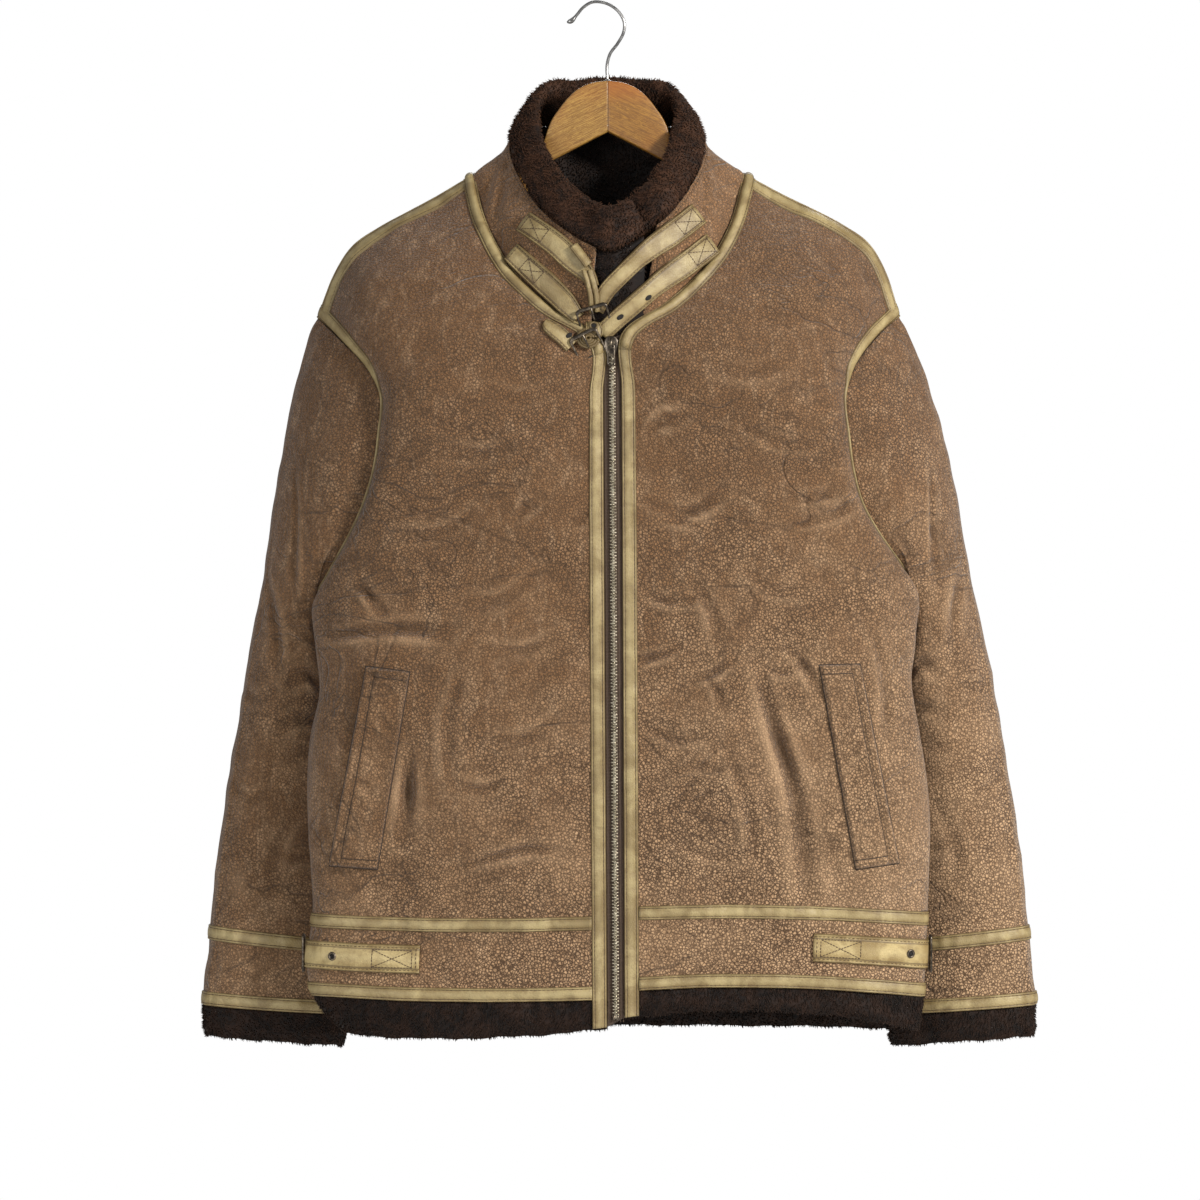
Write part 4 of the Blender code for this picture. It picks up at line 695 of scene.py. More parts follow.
# Creases of each front: points (x, drop), half width and depth; a ridge has a negative depth
Crease = namedtuple("Crease", "width depth points")
FRONT_CREASES = [
    Crease(5.0, 2.6, [(33.7, 410.5), (50, 418), (67.3, 424.5), (88, 418), (104.2, 405.6)]),
    Crease(3.2, 1.4, [(46.8, 424.5), (66, 431), (82.9, 432.7)]),
    Crease(5.0, -1.6, [(39.4, 349.9), (51.7, 339.2), (67.3, 338.4)]),
    Crease(4.0, 1.6, [(42, 356), (56, 350), (70, 347)]),
    Crease(4.2, 1.8, [(159.1, 411.4), (178, 411), (198.5, 404.8)]),
    Crease(4.5, 1.9, [(164.0, 432.7), (190, 427), (210.0, 416.3)]),
    Crease(3.0, 1.4, [(32.8, 547.5), (48.4, 540.1)]),
    Crease(3.4, 1.6, [(33.7, 543.4), (50, 541), (66.5, 533.5)]),
    Crease(4.0, 1.9, [(78.8, 559.8), (95, 555), (109.9, 543.4)]),
    Crease(4.0, 1.6, [(90.2, 557.3), (98, 569), (102.5, 581.1)]),
    Crease(3.6, 1.4, [(136.2, 551.6), (150, 554), (165.7, 549.9)]),
    Crease(9.0, 3.4, [(130.4, 545.8), (146.0, 601.6), (161.6, 650.8), (173.9, 740.2)]),
    Crease(5.5, 2.2, [(154.2, 531.9), (170, 550), (183.7, 573.7)]),
    Crease(6.0, 1.4, [(72, 470), (92, 500), (104, 534)]),
    Crease(4.6, 1.4, [(36, 486), (58, 496), (84, 494)]),
    Crease(5.4, 1.2, [(120, 470), (142, 486), (170, 488)]),
    Crease(5.0, 1.3, [(38, 598), (62, 608), (92, 604)]),
    Crease(4.4, 1.2, [(52, 640), (80, 630), (104, 634)]),
    Crease(6.5, 1.5, [(108, 622), (122, 660), (132, 706)]),
    Crease(5.0, 1.2, [(62, 694), (92, 704), (128, 702)]),
    Crease(5.6, 1.3, [(226, 520), (236, 556), (238, 604)]),
    Crease(5.0, 1.2, [(118, 352), (146, 366), (176, 368)]),
    Crease(6.0, 1.1, [(84, 300), (118, 310), (150, 306)]),
    Crease(3.8, 1.7, [(-65.6, 427.8), (-60, 421), (-52.4, 417.1)]),
    Crease(3.4, 1.6, [(-22.9, 434.3), (-14, 430), (-6.5, 422.8)]),
    Crease(5.0, 2.0, [(-196.8, 481.9), (-187, 491), (-175.4, 505.7)]),
    Crease(6.5, 2.4, [(-218.9, 525.3), (-179.5, 519.6), (-150, 519), (-123.8, 522.1)]),
    Crease(7.5, 3.0, [(-153.3, 617.2), (-155.8, 660.6), (-159.0, 690.2)]),
    Crease(5.0, 1.9, [(-115.6, 714.8), (-80, 704), (-50.0, 698.4), (-20.5, 702.5)]),
    Crease(6.0, 1.3, [(-48, 470), (-74, 494), (-108, 500)]),
    Crease(5.0, 1.3, [(-28, 520), (-58, 536), (-92, 536)]),
    Crease(5.2, 1.3, [(-100, 424), (-128, 440), (-160, 442)]),
    Crease(5.6, 1.2, [(-30, 586), (-52, 606), (-84, 612)]),
    Crease(5.0, 1.2, [(-66, 640), (-96, 650), (-122, 644)]),
    Crease(6.5, 1.4, [(-112, 556), (-122, 596), (-118, 640)]),
    Crease(5.4, 1.1, [(-60, 364), (-92, 376), (-128, 372)]),
    Crease(5.2, 1.2, [(-228, 560), (-238, 606), (-240, 660)]),
    Crease(4.6, 1.1, [(-34, 322), (-62, 330), (-88, 324)]),
]
BACK_CREASES = [
    Crease(8.0, 2.4, [(-150, 470), (-110, 500), (-60, 512)]),
    Crease(8.0, 2.4, [(172, 466), (128, 498), (76, 508)]),
    Crease(6.0, 1.8, [(-60, 420), (-20, 436), (30, 432)]),
    Crease(6.0, 1.6, [(-20, 560), (20, 572), (70, 562)]),
    Crease(7.0, 2.0, [(-120, 590), (-80, 612), (-30, 610)]),
    Crease(7.0, 1.8, [(150, 580), (112, 606), (70, 612)]),
    Crease(9.0, 2.6, [(-130, 620), (-116, 680), (-112, 740)]),
    Crease(9.0, 2.6, [(150, 622), (138, 680), (128, 742)]),
    Crease(6.0, 1.6, [(-30, 660), (10, 676), (58, 668)]),
    Crease(6.0, 1.6, [(-200, 520), (-170, 548), (-150, 590)]),
    Crease(6.0, 1.6, [(224, 520), (192, 546), (176, 590)]),
    Crease(7.0, 1.8, [(-90, 300), (-60, 340), (-50, 386)]),
    Crease(7.0, 1.8, [(112, 300), (84, 342), (74, 388)]),
    Crease(5.0, 1.4, [(-10, 480), (16, 500), (22, 530)]),
]
# Creases of the sleeves: half way out across the sleeve (0 is the inner line, 1 the outer one) and drop
SLEEVE_CREASES = [
    Crease(7.0, 2.6, [(0.02, 560), (0.22, 548), (0.44, 552)]),
    Crease(6.0, 2.2, [(0.05, 590), (0.28, 584), (0.52, 592)]),
    Crease(6.0, 1.9, [(0.0, 622), (0.2, 612), (0.4, 616)]),
    Crease(5.0, 1.6, [(0.95, 560), (0.8, 568), (0.62, 562)]),
    Crease(6.5, 1.8, [(0.9, 470), (0.72, 500), (0.6, 540)]),
    Crease(6.0, 1.6, [(0.3, 660), (0.46, 690), (0.5, 730)]),
    Crease(5.0, 1.4, [(0.9, 640), (0.74, 652), (0.6, 646)]),
    Crease(7.0, 1.6, [(0.62, 380), (0.52, 430), (0.5, 480)]),
    Crease(5.0, 1.4, [(0.08, 690), (0.26, 700), (0.44, 696)]),
    Crease(5.0, 1.3, [(0.92, 716), (0.76, 724), (0.6, 720)]),
    Crease(5.0, 1.6, [(0.1, 520), (0.3, 516), (0.46, 524)]),
    Crease(4.0, 1.0, [(0.8, 790), (0.6, 798), (0.4, 794)]),
]
# Long soft ripples of the cloth: direction in degrees, wavelength, height and phase
RIPPLES = [(12, 74, 0.55, 0.3), (68, 51, 0.42, 1.9), (101, 39, 0.30, 4.1), (151, 62, 0.45, 2.7),
           (37, 27, 0.20, 5.2), (124, 22, 0.15, 0.9), (81, 31, 0.18, 3.3)]
PUCKER = 0.55            # height of the puckers along a seam
PUCKER_STEP = 13.0
PUCKER_REACH = 11.0


def divide(grid, row_keys, column_keys, row_steps, column_steps, wrap=False):
    """A grid of points made finer, along smooth curves both ways."""
    def places(keys, steps):
        found = [np.linspace(keys[i], keys[i + 1], step, endpoint=False) for i, step in enumerate(steps)]
        return np.concatenate(found + [[keys[-1]]])

    rows = len(row_keys)
    at = places(row_keys, row_steps)
    fine = spline(row_keys, grid.reshape(rows, -1), at).reshape(len(at), grid.shape[1], 3)
    if wrap:
        total = column_keys[-1]
        fine = np.concatenate([fine[:, -3:], fine, fine[:, :4]], axis=1)
        keys = np.concatenate([column_keys[-4:-1] - total, column_keys[:-1], column_keys[:4] + total])
        at = places(column_keys, column_steps)[:-1]
    else:
        keys, at = column_keys, places(column_keys, column_steps)
    turned = np.swapaxes(fine, 0, 1)
    turned = spline(keys, turned.reshape(len(keys), -1), at).reshape(len(at), fine.shape[0], 3)
    return np.swapaxes(turned, 0, 1)


def mean_keys(*grids):
    """Average distance down the rows of several grids."""
    steps = [np.linalg.norm(np.diff(grid, axis=0), axis=2).mean(axis=1) for grid in grids]
    return np.concatenate([[0.0], np.cumsum(np.mean(steps, axis=0))])


def dent(x, drop, creases):
    """How deep the creases press the cloth in at points given by x and drop."""
    depth = np.zeros_like(x)
    for crease in creases:
        line = through([(a, b) for a, b in crease.points], count=24)
        near = np.full(x.shape, 1e9)
        place = np.zeros_like(x)
        side = np.zeros_like(x)
        for index in range(len(line) - 1):
            a, b = line[index], line[index + 1]
            dx, dz = b - a
            t = np.clip(((x - a[0]) * dx + (drop - a[1]) * dz) / (dx * dx + dz * dz), 0, 1)
            ax, az = x - a[0] - t * dx, drop - a[1] - t * dz
            away = np.hypot(ax, az)
            closer = away < near
            near = np.where(closer, away, near)
            place = np.where(closer, (index + t) / (len(line) - 1), place)
            side = np.where(closer, np.sign(dx * az - dz * ax), side)
        ends = np.sin(np.pi * np.clip(0.06 + 0.88 * place, 0, 1)) ** 0.8
        uneven = 1 + 0.3 * np.sin(place * 9 + crease.points[0][0])
        width = np.maximum(2.7, 0.66 * crease.width * (0.7 + 0.5 * place))
        trough = np.exp(-(near / width) ** 2)
        ridge = np.exp(-((near - 1.9 * width) / (1.1 * width)) ** 2) * np.where(side > 0, 0.5, 0.22)
        depth += crease.depth * ends * uneven * (trough - ridge)
    return depth


def ripple(x, drop, shift=0.0):
    """Low waves all over the cloth."""
    found = np.zeros_like(x)
    for turn, length, height, phase in RIPPLES:
        run = x * math.cos(math.radians(turn)) + drop * math.sin(math.radians(turn))
        bend = 0.6 * np.sin(drop / 47 + phase) + 0.5 * np.sin(x / 61 - phase)
        found += height * np.sin(2 * np.pi * run / length + phase + shift + bend)
    return found


def puckers(grid, lines, seed):
    """Short puckers square to the seams, which fade away from them."""
    flat = grid.reshape(-1, 3)
    found = np.zeros(len(flat))
    for number, line in enumerate(lines):
        run = lengths(line)
        fine = along(line, np.arange(0, run[-1], 3.0))
        for start in range(0, len(flat), 8000):
            part = flat[start:start + 8000]
            space = np.linalg.norm(part[:, None] - fine[None], axis=2)
            nearest = space.argmin(axis=1)
            away = space[np.arange(len(part)), nearest]
            place = nearest * 3.0
            wave = np.sin(2 * np.pi * place / PUCKER_STEP + 1.7 * np.sin(place / 31 + seed + number) + seed)
            found[start:start + 8000] += (PUCKER * (wave - 0.3) * np.exp(-(away / PUCKER_REACH) ** 2)
                                          * (0.6 + 0.4 * np.sin(place / 57 + number)))
    return found.reshape(grid.shape[:2])


def edge_mask(shape, reach, edges):
    """1 inside a grid, falling to 0 over the given count of rows or columns at its named edges."""
    rows, columns = np.arange(shape[0])[:, None], np.arange(shape[1])[None]
    mask = np.ones(shape)
    for edge, count in zip(edges, reach):
        place = {"first_row": rows, "last_row": shape[0] - 1 - rows, "first_column": columns,
                 "last_column": shape[1] - 1 - columns}[edge]
        mask = mask * smooth(place / count)
    return mask


# fold is how deep the creases press the cloth in; the suede material turns it into painted shade in the
# troughs and a painted highlight on the ridges
Cloth = namedtuple("Cloth", "grid normal fold")


def at_row(index):
    """Fine row of a coarse one."""
    return sum(ROW_STEPS[:index])


def at_ring(index):
    return sum(RING_STEPS[:index])


def inside_axis(grid):
    """Points well inside the body, one for each of the grid's."""
    inside = grid.copy()
    inside[..., 0] = centre(-grid[..., 2]) + 0.35 * (grid[..., 0] - centre(-grid[..., 2]))
    inside[..., 1] = 0.0
    return inside


def dress_body(patches):
    """Fine cloth of the fronts and the back, with its folds, creases and puckers."""
    coarse = [patch[0] for patch in patches]
    keys = mean_keys(*coarse)
    made = []
    for number, (grid, steps) in enumerate(zip(coarse, (FRONT_STEPS, FRONT_STEPS, BACK_STEPS))):
        across = np.linalg.norm(np.diff(grid, axis=1), axis=2).mean(axis=0)
        if number == 2:
            across = (across + across[::-1]) / 2
        fine = divide(grid, keys, np.concatenate([[0.0], np.cumsum(across)]), ROW_STEPS, steps)
        made.append(fine)
    left, right, back = made
    for side, front in ((-1, left), (1, right)):
        column = 0 if side < 0 else -1
        seam = (front[:, -1] + back[:, column]) / 2
        front[:, -1] = back[:, column] = seam
        count = front.shape[1]
        top = (front[-1] + (back[-1, :count][::-1] if side < 0 else back[-1, -count:])) / 2
        front[-1] = top
        if side < 0:
            back[-1, :count] = top[::-1]
        else:
            back[-1, -count:] = top
    waist, hem = at_row(LEVEL["waist_seam"]), at_row(LEVEL["hem_edge"])
    under = at_row(len(LEVELS) + BODY_ROWS - 1)
    cloths = []
    for number, grid in enumerate(made):
        normal = normals(grid, inside_axis(grid))
        x, drop = grid[..., 0], -grid[..., 2]
        front = number < 2
        pressed = 1.65 * dent(x, drop, FRONT_CREASES if front else BACK_CREASES)
        depth = -pressed + ripple(x, drop, number * 1.3)
        mask = edge_mask(grid.shape[:2], (6, 6, 5, 8) if front else (6, 6, 8, 8),
                         ("first_row", "last_row", "first_column", "last_column"))
        seams = [grid[waist], grid[hem], grid[under:, -1], grid[-1]]
        seams += [grid[:, 0]] if front else [grid[under:, 0]]
        depth = depth * mask + puckers(grid, seams, number * 2.1 + 0.4) * edge_mask(
            grid.shape[:2], (3, 3, 3, 3), ("first_row", "last_row", "first_column", "last_column"))
        grid = grid + normal * depth[..., None]
        cloths.append([grid, even(normals(grid, inside_axis(grid)), 1, wrap=False), pressed * mask])
    (gl, nl, _), (gr, nr, _), (_, nb, _) = cloths
    for grid, normal, column in ((gl, nl, 0), (gr, nr, -1)):
        mean = unit(normal[:, -1] + nb[:, column])
        normal[:, -1] = nb[:, column] = mean
        count = grid.shape[1]
        back_top = nb[-1, :count][::-1] if column == 0 else nb[-1, -count:]
        mean = unit(normal[-1] + back_top)
        normal[-1] = mean
        if column == 0:
            nb[-1, :count] = mean[::-1]
        else:
            nb[-1, -count:] = mean
    return [Cloth(*pair) for pair in cloths]


def dress_sleeve(side, coarse, body):
    """Fine cloth of a sleeve, which starts at the armhole and covers the side of the body."""
    grid = coarse.copy()
    keys = mean_keys(grid)
    up = mean_keys(*body)[-ARM_ROWS - 1:]
    steps = np.diff(up)
    columns = np.concatenate([[0.0], np.cumsum(np.concatenate([steps[::-1], steps]))])
    fine = divide(grid, keys, columns, RING_STEPS, ARM_STEPS[::-1] + ARM_STEPS, wrap=True)
    middle = ring_centres(fine)
    normal = normals(fine, middle, wrap=True)
    low = fine[..., 0].min(axis=1, keepdims=True)
    high = fine[..., 0].max(axis=1, keepdims=True)
    share = (fine[..., 0] - low) / (high - low)
    share = share if side > 0 else 1 - share
    scaled = [Crease(c.width, c.depth, [(a * 88 if side > 0 else a * 88 + 3, b + (0 if side > 0 else 9))
                                        for a, b in c.points]) for c in SLEEVE_CREASES]
    pressed = 1.35 * dent(share * 88, -fine[..., 2], scaled)
    depth = -pressed + 0.7 * ripple(fine[..., 0], -fine[..., 2], side * 2.3)
    behind = fine[..., 1] > middle[..., 1]
    depth = np.where(behind, 0.8 * depth + 0.5 * np.sin(fine[..., 2] / 19 + share * 5), depth)
    for _ in range(2):
        depth = (np.roll(depth, 1, axis=1) + 2 * depth + np.roll(depth, -1, axis=1)) / 4
    fade = smooth(np.arange(fine.shape[0]) / 14.0)[:, None]
    seams = [np.concatenate([fine[at_ring(RING[name])], fine[at_ring(RING[name])][:1]])
             for name in ("cuff_seam", "cuff_edge")]
    armhole = [np.concatenate([fine[0], fine[0][:1]])]
    near = smooth(np.arange(fine.shape[0]) / 3.0)[:, None]
    depth = (depth * fade + puckers(fine, seams, side + 2.0)
             + 1.5 * puckers(fine, armhole, side + 0.6) * near)
    depth[at_ring(RING["cuff_edge"]):] *= 0.5
    fine = fine + normal * depth[..., None]
    return Cloth(fine, even(normals(fine, ring_centres(fine), wrap=True), 3), pressed * fade)


# Profiles across a tape or strap: share of its width and height above the cloth
TAPE_PROFILE = [(0, 0.1), (0.02, 0.75), (0.06, 1.25), (0.12, 1.35), (0.155, 1.15), (0.175, 0.85),
                (0.195, 1.15),
                (0.24, 1.4), (0.35, 1.55), (0.5, 1.62), (0.65, 1.55), (0.76, 1.4), (0.805, 1.15),
                (0.825, 0.85),
                (0.845, 1.15), (0.88, 1.35), (0.94, 1.25), (0.98, 0.75), (1, 0.1)]
ROLL_PROFILE = [(0, 0.1), (0.02, 0.8), (0.06, 1.3), (0.1, 1.3), (0.13, 0.9), (0.16, 1.5), (0.22, 2.6),
                (0.3, 3.4),
                (0.4, 3.9), (0.5, 4.0), (0.6, 3.8), (0.7, 3.2), (0.78, 2.4), (0.84, 1.4), (0.87, 0.9),
                (0.9, 1.3),
                (0.94, 1.3), (0.98, 0.8), (1, 0.1)]
PIPE_PROFILE = [(0, 0.1), (0.08, 1.2), (0.22, 2.0), (0.4, 2.4), (0.6, 2.4), (0.78, 2.0), (0.92, 1.2),
                (1, 0.1)]
STRAP_PROFILE = [(0, 0.2), (0.015, 1.5), (0.04, 2.5), (0.075, 2.6), (0.095, 2.0), (0.11, 1.7), (0.125, 2.0),
                 (0.17, 2.3), (0.33, 2.45), (0.5, 2.5), (0.67, 2.45), (0.83, 2.3), (0.875, 2.0), (0.89, 1.7),
                 (0.905, 2.0), (0.925, 2.6), (0.96, 2.5), (0.985, 1.5), (1, 0.2)]
STITCH_IN = 0.175        # share of a tape's width from its edge to its stitching
STRAP_STITCH_IN = 0.11
STITCH_PITCH = 3.45
FINISHES = {}            # name of each finish and its material
PIECES = []              # every finished piece with its node, for attaching it and hiding its part at the end


def quads_of(rows, columns, wrap, shift=0):
    i = np.arange(rows - 1)[:, None]
    j = np.arange(columns if wrap else columns - 1)[None]
    k = (j + 1) % columns
    quads = np.stack([i * columns + j, i * columns + k, (i + 1) * columns + k, (i + 1) * columns + j],
                     axis=-1)
    return quads.reshape(-1, 4) + shift


def outline(rows, columns, wrap):
    """Vertices round the edge of a grid, as closed loops in one direction."""
    if wrap:
        first = np.arange(columns)
        return [first, ((rows - 1) * columns + first)[::-1]]
    top = np.arange(columns)
    right = np.arange(1, rows) * columns + columns - 1
    bottom = ((rows - 1) * columns + np.arange(columns - 1))[::-1]
    left = (np.arange(1, rows - 1) * columns)[::-1]
    return [np.concatenate([top, right, bottom, left])]


def mesh_piece(name, points, faces, finish, marks=None):
    """An object from points in millimetres, its faces turned outwards."""
    points = np.asarray(points, float) * MM
    mesh = bpy.data.meshes.new(name)
    mesh.from_pydata(points.tolist(), [], [tuple(int(v) for v in face) for face in faces])
    volume = 0.0
    for polygon in mesh.polygons:
        corner = points[list(polygon.vertices)]
        volume += np.dot(corner[0], np.cross(corner[1:-1], corner[2:]).sum(axis=0))
    if volume < 0:
        mesh.flip_normals()
    for mark, values in (marks or {}).items():
        layer = mesh.attributes.new(mark, "FLOAT", "POINT")
        layer.data.foreach_set("value", np.asarray(values, np.float32).reshape(-1))
    mesh.polygons.foreach_set("use_smooth", [True] * len(mesh.polygons))
    mesh.validate()
    mesh.update()
    item = bpy.data.objects.new(name, mesh)
    bpy.context.scene.collection.objects.link(item)
    mesh.materials.append(FINISHES[finish])
    return item


def closed(name, outer, inner, finish, wrap=False, marks=None):
    """A closed wall between two grids of points."""
    rows, columns = outer.shape[:2]
    shift = rows * columns
    faces = [tuple(q) for q in quads_of(rows, columns, wrap)]
    faces += [tuple(q[::-1]) for q in quads_of(rows, columns, wrap, shift)]
    for loop in outline(rows, columns, wrap):
        following = np.roll(loop, -1)
        faces += [(a, a + shift, b + shift, b) for a, b in zip(loop, following)]
    both = {mark: np.concatenate([np.asarray(values).reshape(-1)] * 2) for mark,
            values in (marks or {}).items()}
    return mesh_piece(name, np.concatenate([outer.reshape(-1, 3), inner.reshape(-1, 3)]), faces, finish, both)


def cloth_piece(name, cloth, rows, columns, lifts, finish, wrap=False, gap=0.15):
    """A piece of the shell between two rows and two columns of the fine cloth."""
    grid = cloth.grid[rows[0]:rows[1] + 1]
    normal = cloth.normal[rows[0]:rows[1] + 1]
    if not wrap:
        grid, normal = grid[:, columns[0]:columns[1] + 1], normal[:, columns[0]:columns[1] + 1]
    fold = cloth.fold[rows[0]:rows[1] + 1]
    fold = fold if wrap else fold[:, columns[0]:columns[1] + 1]
    edges = ("first_row", "last_row") if wrap else ("first_row", "last_row", "first_column", "last_column")
    grid = trim(grid, {edge: gap for edge in edges})
    return closed(name, grid + normal * lifts[0], grid + normal * lifts[1], finish, wrap, {"fold": fold})


def across_rows(grid, shares):
    """A strip read again at shares of its width, which runs along its second axis."""
    place = np.asarray(shares) * (grid.shape[1] - 1)
    low = np.clip(place.astype(int), 0, grid.shape[1] - 2)
    part = (place - low)[None, :, None]
    return grid[:, low] * (1 - part) + grid[:, low + 1] * part


def uneven(distance, seed):
    """Small unevenness along a strip of leather."""
    return (0.5 * np.sin(distance / 4.1 + seed) + 0.6 * np.sin(distance / 9.7 + 2.3 * seed)
            + 0.5 * np.sin(distance / 23.0 + 0.7 * seed + 1.5 * np.sin(distance / 41.0)))


Strip = namedtuple("Strip", "grid normal across along item")


def strip(name, grid, normal, profile, finish="tan_leather", base=0.05, wrap=False, seed=1.0, start=None,
          lean=0.0):
    """A tape or strap laid on the cloth. Its length runs along the grid's rows, its width across them."""
    shares = np.array([share for share, _ in profile])
    lifts = np.array([height for _, height in profile])
    if start is not None:
        strips, turned = [], []
        for index in range(len(grid)):
            inner = start[index] + (1 - start[index]) * shares
            strips.append(across_rows(grid[index:index + 1], inner)[0])
            turned.append(across_rows(normal[index:index + 1], inner)[0])
        bed, face = np.array(strips), unit(np.array(turned))
    else:
        bed, face = across_rows(grid, shares), unit(across_rows(normal, shares))
    run = lengths(bed[:, len(shares) // 2])
    wobble = uneven(run, seed)[:, None]
    heights = lifts[None] * (1 + 0.07 * wobble * np.sin(np.pi * shares)[None])
    heights = heights + lean * wobble * (shares[None] - 0.5)
    outer = bed + face * heights[..., None]
    inner = bed + face * base
    across = np.repeat(shares[None], len(grid), axis=0)
    length = np.repeat(run[:, None], len(shares), axis=1)
    if wrap:
        outer, inner = outer[:-1], inner[:-1]
        item = closed(name, np.swapaxes(outer, 0, 1), np.swapaxes(inner, 0, 1), finish, True,
                      {"across": across[:-1].T, "along": length[:-1].T})
    else:
        item = closed(name, outer, inner, finish, False, {"across": across, "along": length})
    return Strip(bed + face * heights[..., None], face, shares, run, item)


THREAD_LINES = []        # points, headings and normals of every line of stitches


def stitch_line(points, normal, pitch=STITCH_PITCH, sink=0.0):
    """Stitches along a line of points."""
    run = lengths(points)
    if run[-1] < pitch:
        return
    at = np.arange(pitch * 0.5, run[-1], pitch)
    place = along(points, at)
    heading = unit(along(points, at + 0.4 * pitch) - along(points, at - 0.4 * pitch))
    up = unit(np.stack([np.interp(at, run, normal[:, axis]) for axis in range(3)], axis=1))
    THREAD_LINES.append((place + up * (0.12 - sink), heading, up))


def stitch_strip(laid, shares):
    for share in shares:
        index = int(np.argmin(np.abs(laid.across - share)))
        stitch_line(laid.grid[:, index], laid.normal[:, index])


def stitched_cross(laid, first, last, low, high):
    """A stitched box with a cross in it, between two places along a strap."""
    def point(run, share):
        row = np.interp(run, laid.along, np.arange(len(laid.along)))
        i = int(np.clip(row, 0, len(laid.along) - 2))
        column = np.interp(share, laid.across, np.arange(len(laid.across)))
        j = int(np.clip(column, 0, len(laid.across) - 2))
        s, t = row - i, column - j
        found = []
        for array in (laid.grid, laid.normal):
            a = array[i, j] * (1 - t) + array[i, j + 1] * t
            b = array[i + 1, j] * (1 - t) + array[i + 1, j + 1] * t
            found.append(a * (1 - s) + b * s)
        return found

    corners = [(first, low), (last, low), (last, high), (first, high)]
    for a, b in ((0, 1), (1, 2), (2, 3), (3, 0), (0, 2), (1, 3)):
        steps = [point(corners[a][0] + (corners[b][0] - corners[a][0]) * t,
                       corners[a][1] + (corners[b][1] - corners[a][1]) * t) for t in np.linspace(0, 1, 9)]
        stitch_line(np.array([s[0] for s in steps]), np.array([s[1] for s in steps]), pitch=2.6)


class Ground:
    """The front of what is already built, for laying straps and trims on it."""

    def __init__(self):
        self.points, self.faces, self.tree = [], [], None

    def add(self, *items):
        for item in items:
            start = len(self.points)
            flat = np.empty(len(item.data.vertices) * 3)
            item.data.vertices.foreach_get("co", flat)
            self.points += [tuple(p) for p in (flat.reshape(-1, 3) / MM)]
            self.faces += [tuple(start + i for i in face.vertices) for face in item.data.polygons]
        self.tree = BVHTree.FromPolygons(self.points, self.faces)

    def front(self, x, drop, around=0.0):
        found = []
        for dx in (-around, 0.0, around) if around else (0.0,):
            for dz in (-around, 0.0, around) if around else (0.0,):
                hit = self.tree.ray_cast(Vector((x + dx, -400, dz - drop)), Vector((0, 1, 0)))[0]
                if hit:
                    found.append(hit.y)
        return min(found) if found else None


def laid_grid(ground, path, width, step=2.2, taut=True, widths=None):
    """A strip's bed on the ground along a path; where it is taut it bridges the hollows."""
    line = np.array([(p.x, 0.0, -p.drop) for p in path], float)
    count = max(5, int(lengths(line)[-1] / step))
    line = through(line, count=count)
    heading = unit(np.gradient(line, axis=0))
    across = np.stack([heading[:, 2], 0 * heading[:, 0], -heading[:, 0]], axis=1)
    offsets = np.linspace(-0.5, 0.5, 5) * width
    size = np.ones(count) if widths is None else np.interp(np.linspace(0, 1, count), *zip(*widths))
    grid = line[:, None] + across[:, None] * offsets[None, :, None] * size[:, None, None]
    for i in range(count):
        for j in range(5):
            found = ground.front(grid[i, j, 0], -grid[i, j, 2], 1.2)
            grid[i, j, 1] = found if found is not None else np.nan
    deepest = np.nanmax(grid[..., 1])
    grid[..., 1] = np.where(np.isnan(grid[..., 1]), deepest, grid[..., 1])
    column = grid[..., 1]
    flat = np.minimum(column[:, 2:3], (column[:, :1] + column[:, -1:]) / 2)
    lean = np.clip(column[:, -1:] - column[:, :1], -width / 3, width / 3) * np.linspace(-0.5, 0.5, 5)[None]
    plane = flat + lean
    plane -= np.max(plane - column, axis=1, keepdims=True).clip(min=0)
    if taut:
        for _ in range(160):
            plane[1:-1] = np.minimum(plane[1:-1], (plane[:-2] + plane[2:]) / 2)
    for _ in range(4):
        plane[1:-1] = np.minimum((plane[:-2] + 2 * plane[1:-1] + plane[2:]) / 4, plane[1:-1] + 0.4)
    grid[..., 1] = plane - 0.15
    behind = grid + np.array([0.0, 100.0, 0.0])
    return grid, normals(grid, behind)


def tube(name, path, radius, sides, finish, loop=False, squash=None):
    """A round wire or bar along a path; radius may change along it."""
    path = np.asarray(path, float)
    count = len(path)
    radii = np.full(count, radius, float) if np.isscalar(radius) else np.asarray(radius, float)
    heading = unit(np.roll(path, -1, axis=0) - np.roll(path, 1, axis=0) if loop else np.gradient(path, axis=0))
    across = np.cross(heading[0], (0.3, 0.2, 0.93))
    angle = np.arange(sides) * 2 * np.pi / sides
    rings = []
    for i in range(count):
        across = unit(across - heading[i] * np.dot(across, heading[i]))
        other = np.cross(heading[i], across)
        rings.append(path[i] + radii[i] * (np.cos(angle)[:, None] * across + np.sin(angle)[:, None] * other))
    rings = np.array(rings)
    if squash:
        rings[..., 1] = path[:, None, 1] + (rings[..., 1] - path[:, None, 1]) * squash
    if loop:
        quads = quads_of(count + 1, sides, True) % (count * sides)
        return mesh_piece(name, rings.reshape(-1, 3), quads, finish)
    return loft(name, rings, finish)


def loft(name, sections, finish):
    """A closed body through rings of points, with flat ends."""
    rings = np.asarray(sections, float)
    count, sides = rings.shape[:2]
    faces = [tuple(q) for q in quads_of(count, sides, True)]
    faces.append(tuple(range(sides))[::-1])
    faces.append(tuple((count - 1) * sides + j for j in range(sides)))
    return mesh_piece(name, rings.reshape(-1, 3), faces, finish)


def joined(name, *items):
    """Several bodies as one piece."""
    bpy.ops.object.select_all(action="DESELECT")
    for item in items:
        item.select_set(True)
    bpy.context.view_layer.objects.active = items[0]
    if len(items) > 1:
        bpy.ops.object.join()
    items[0].name = name
    items[0].data.name = name
    return items[0]


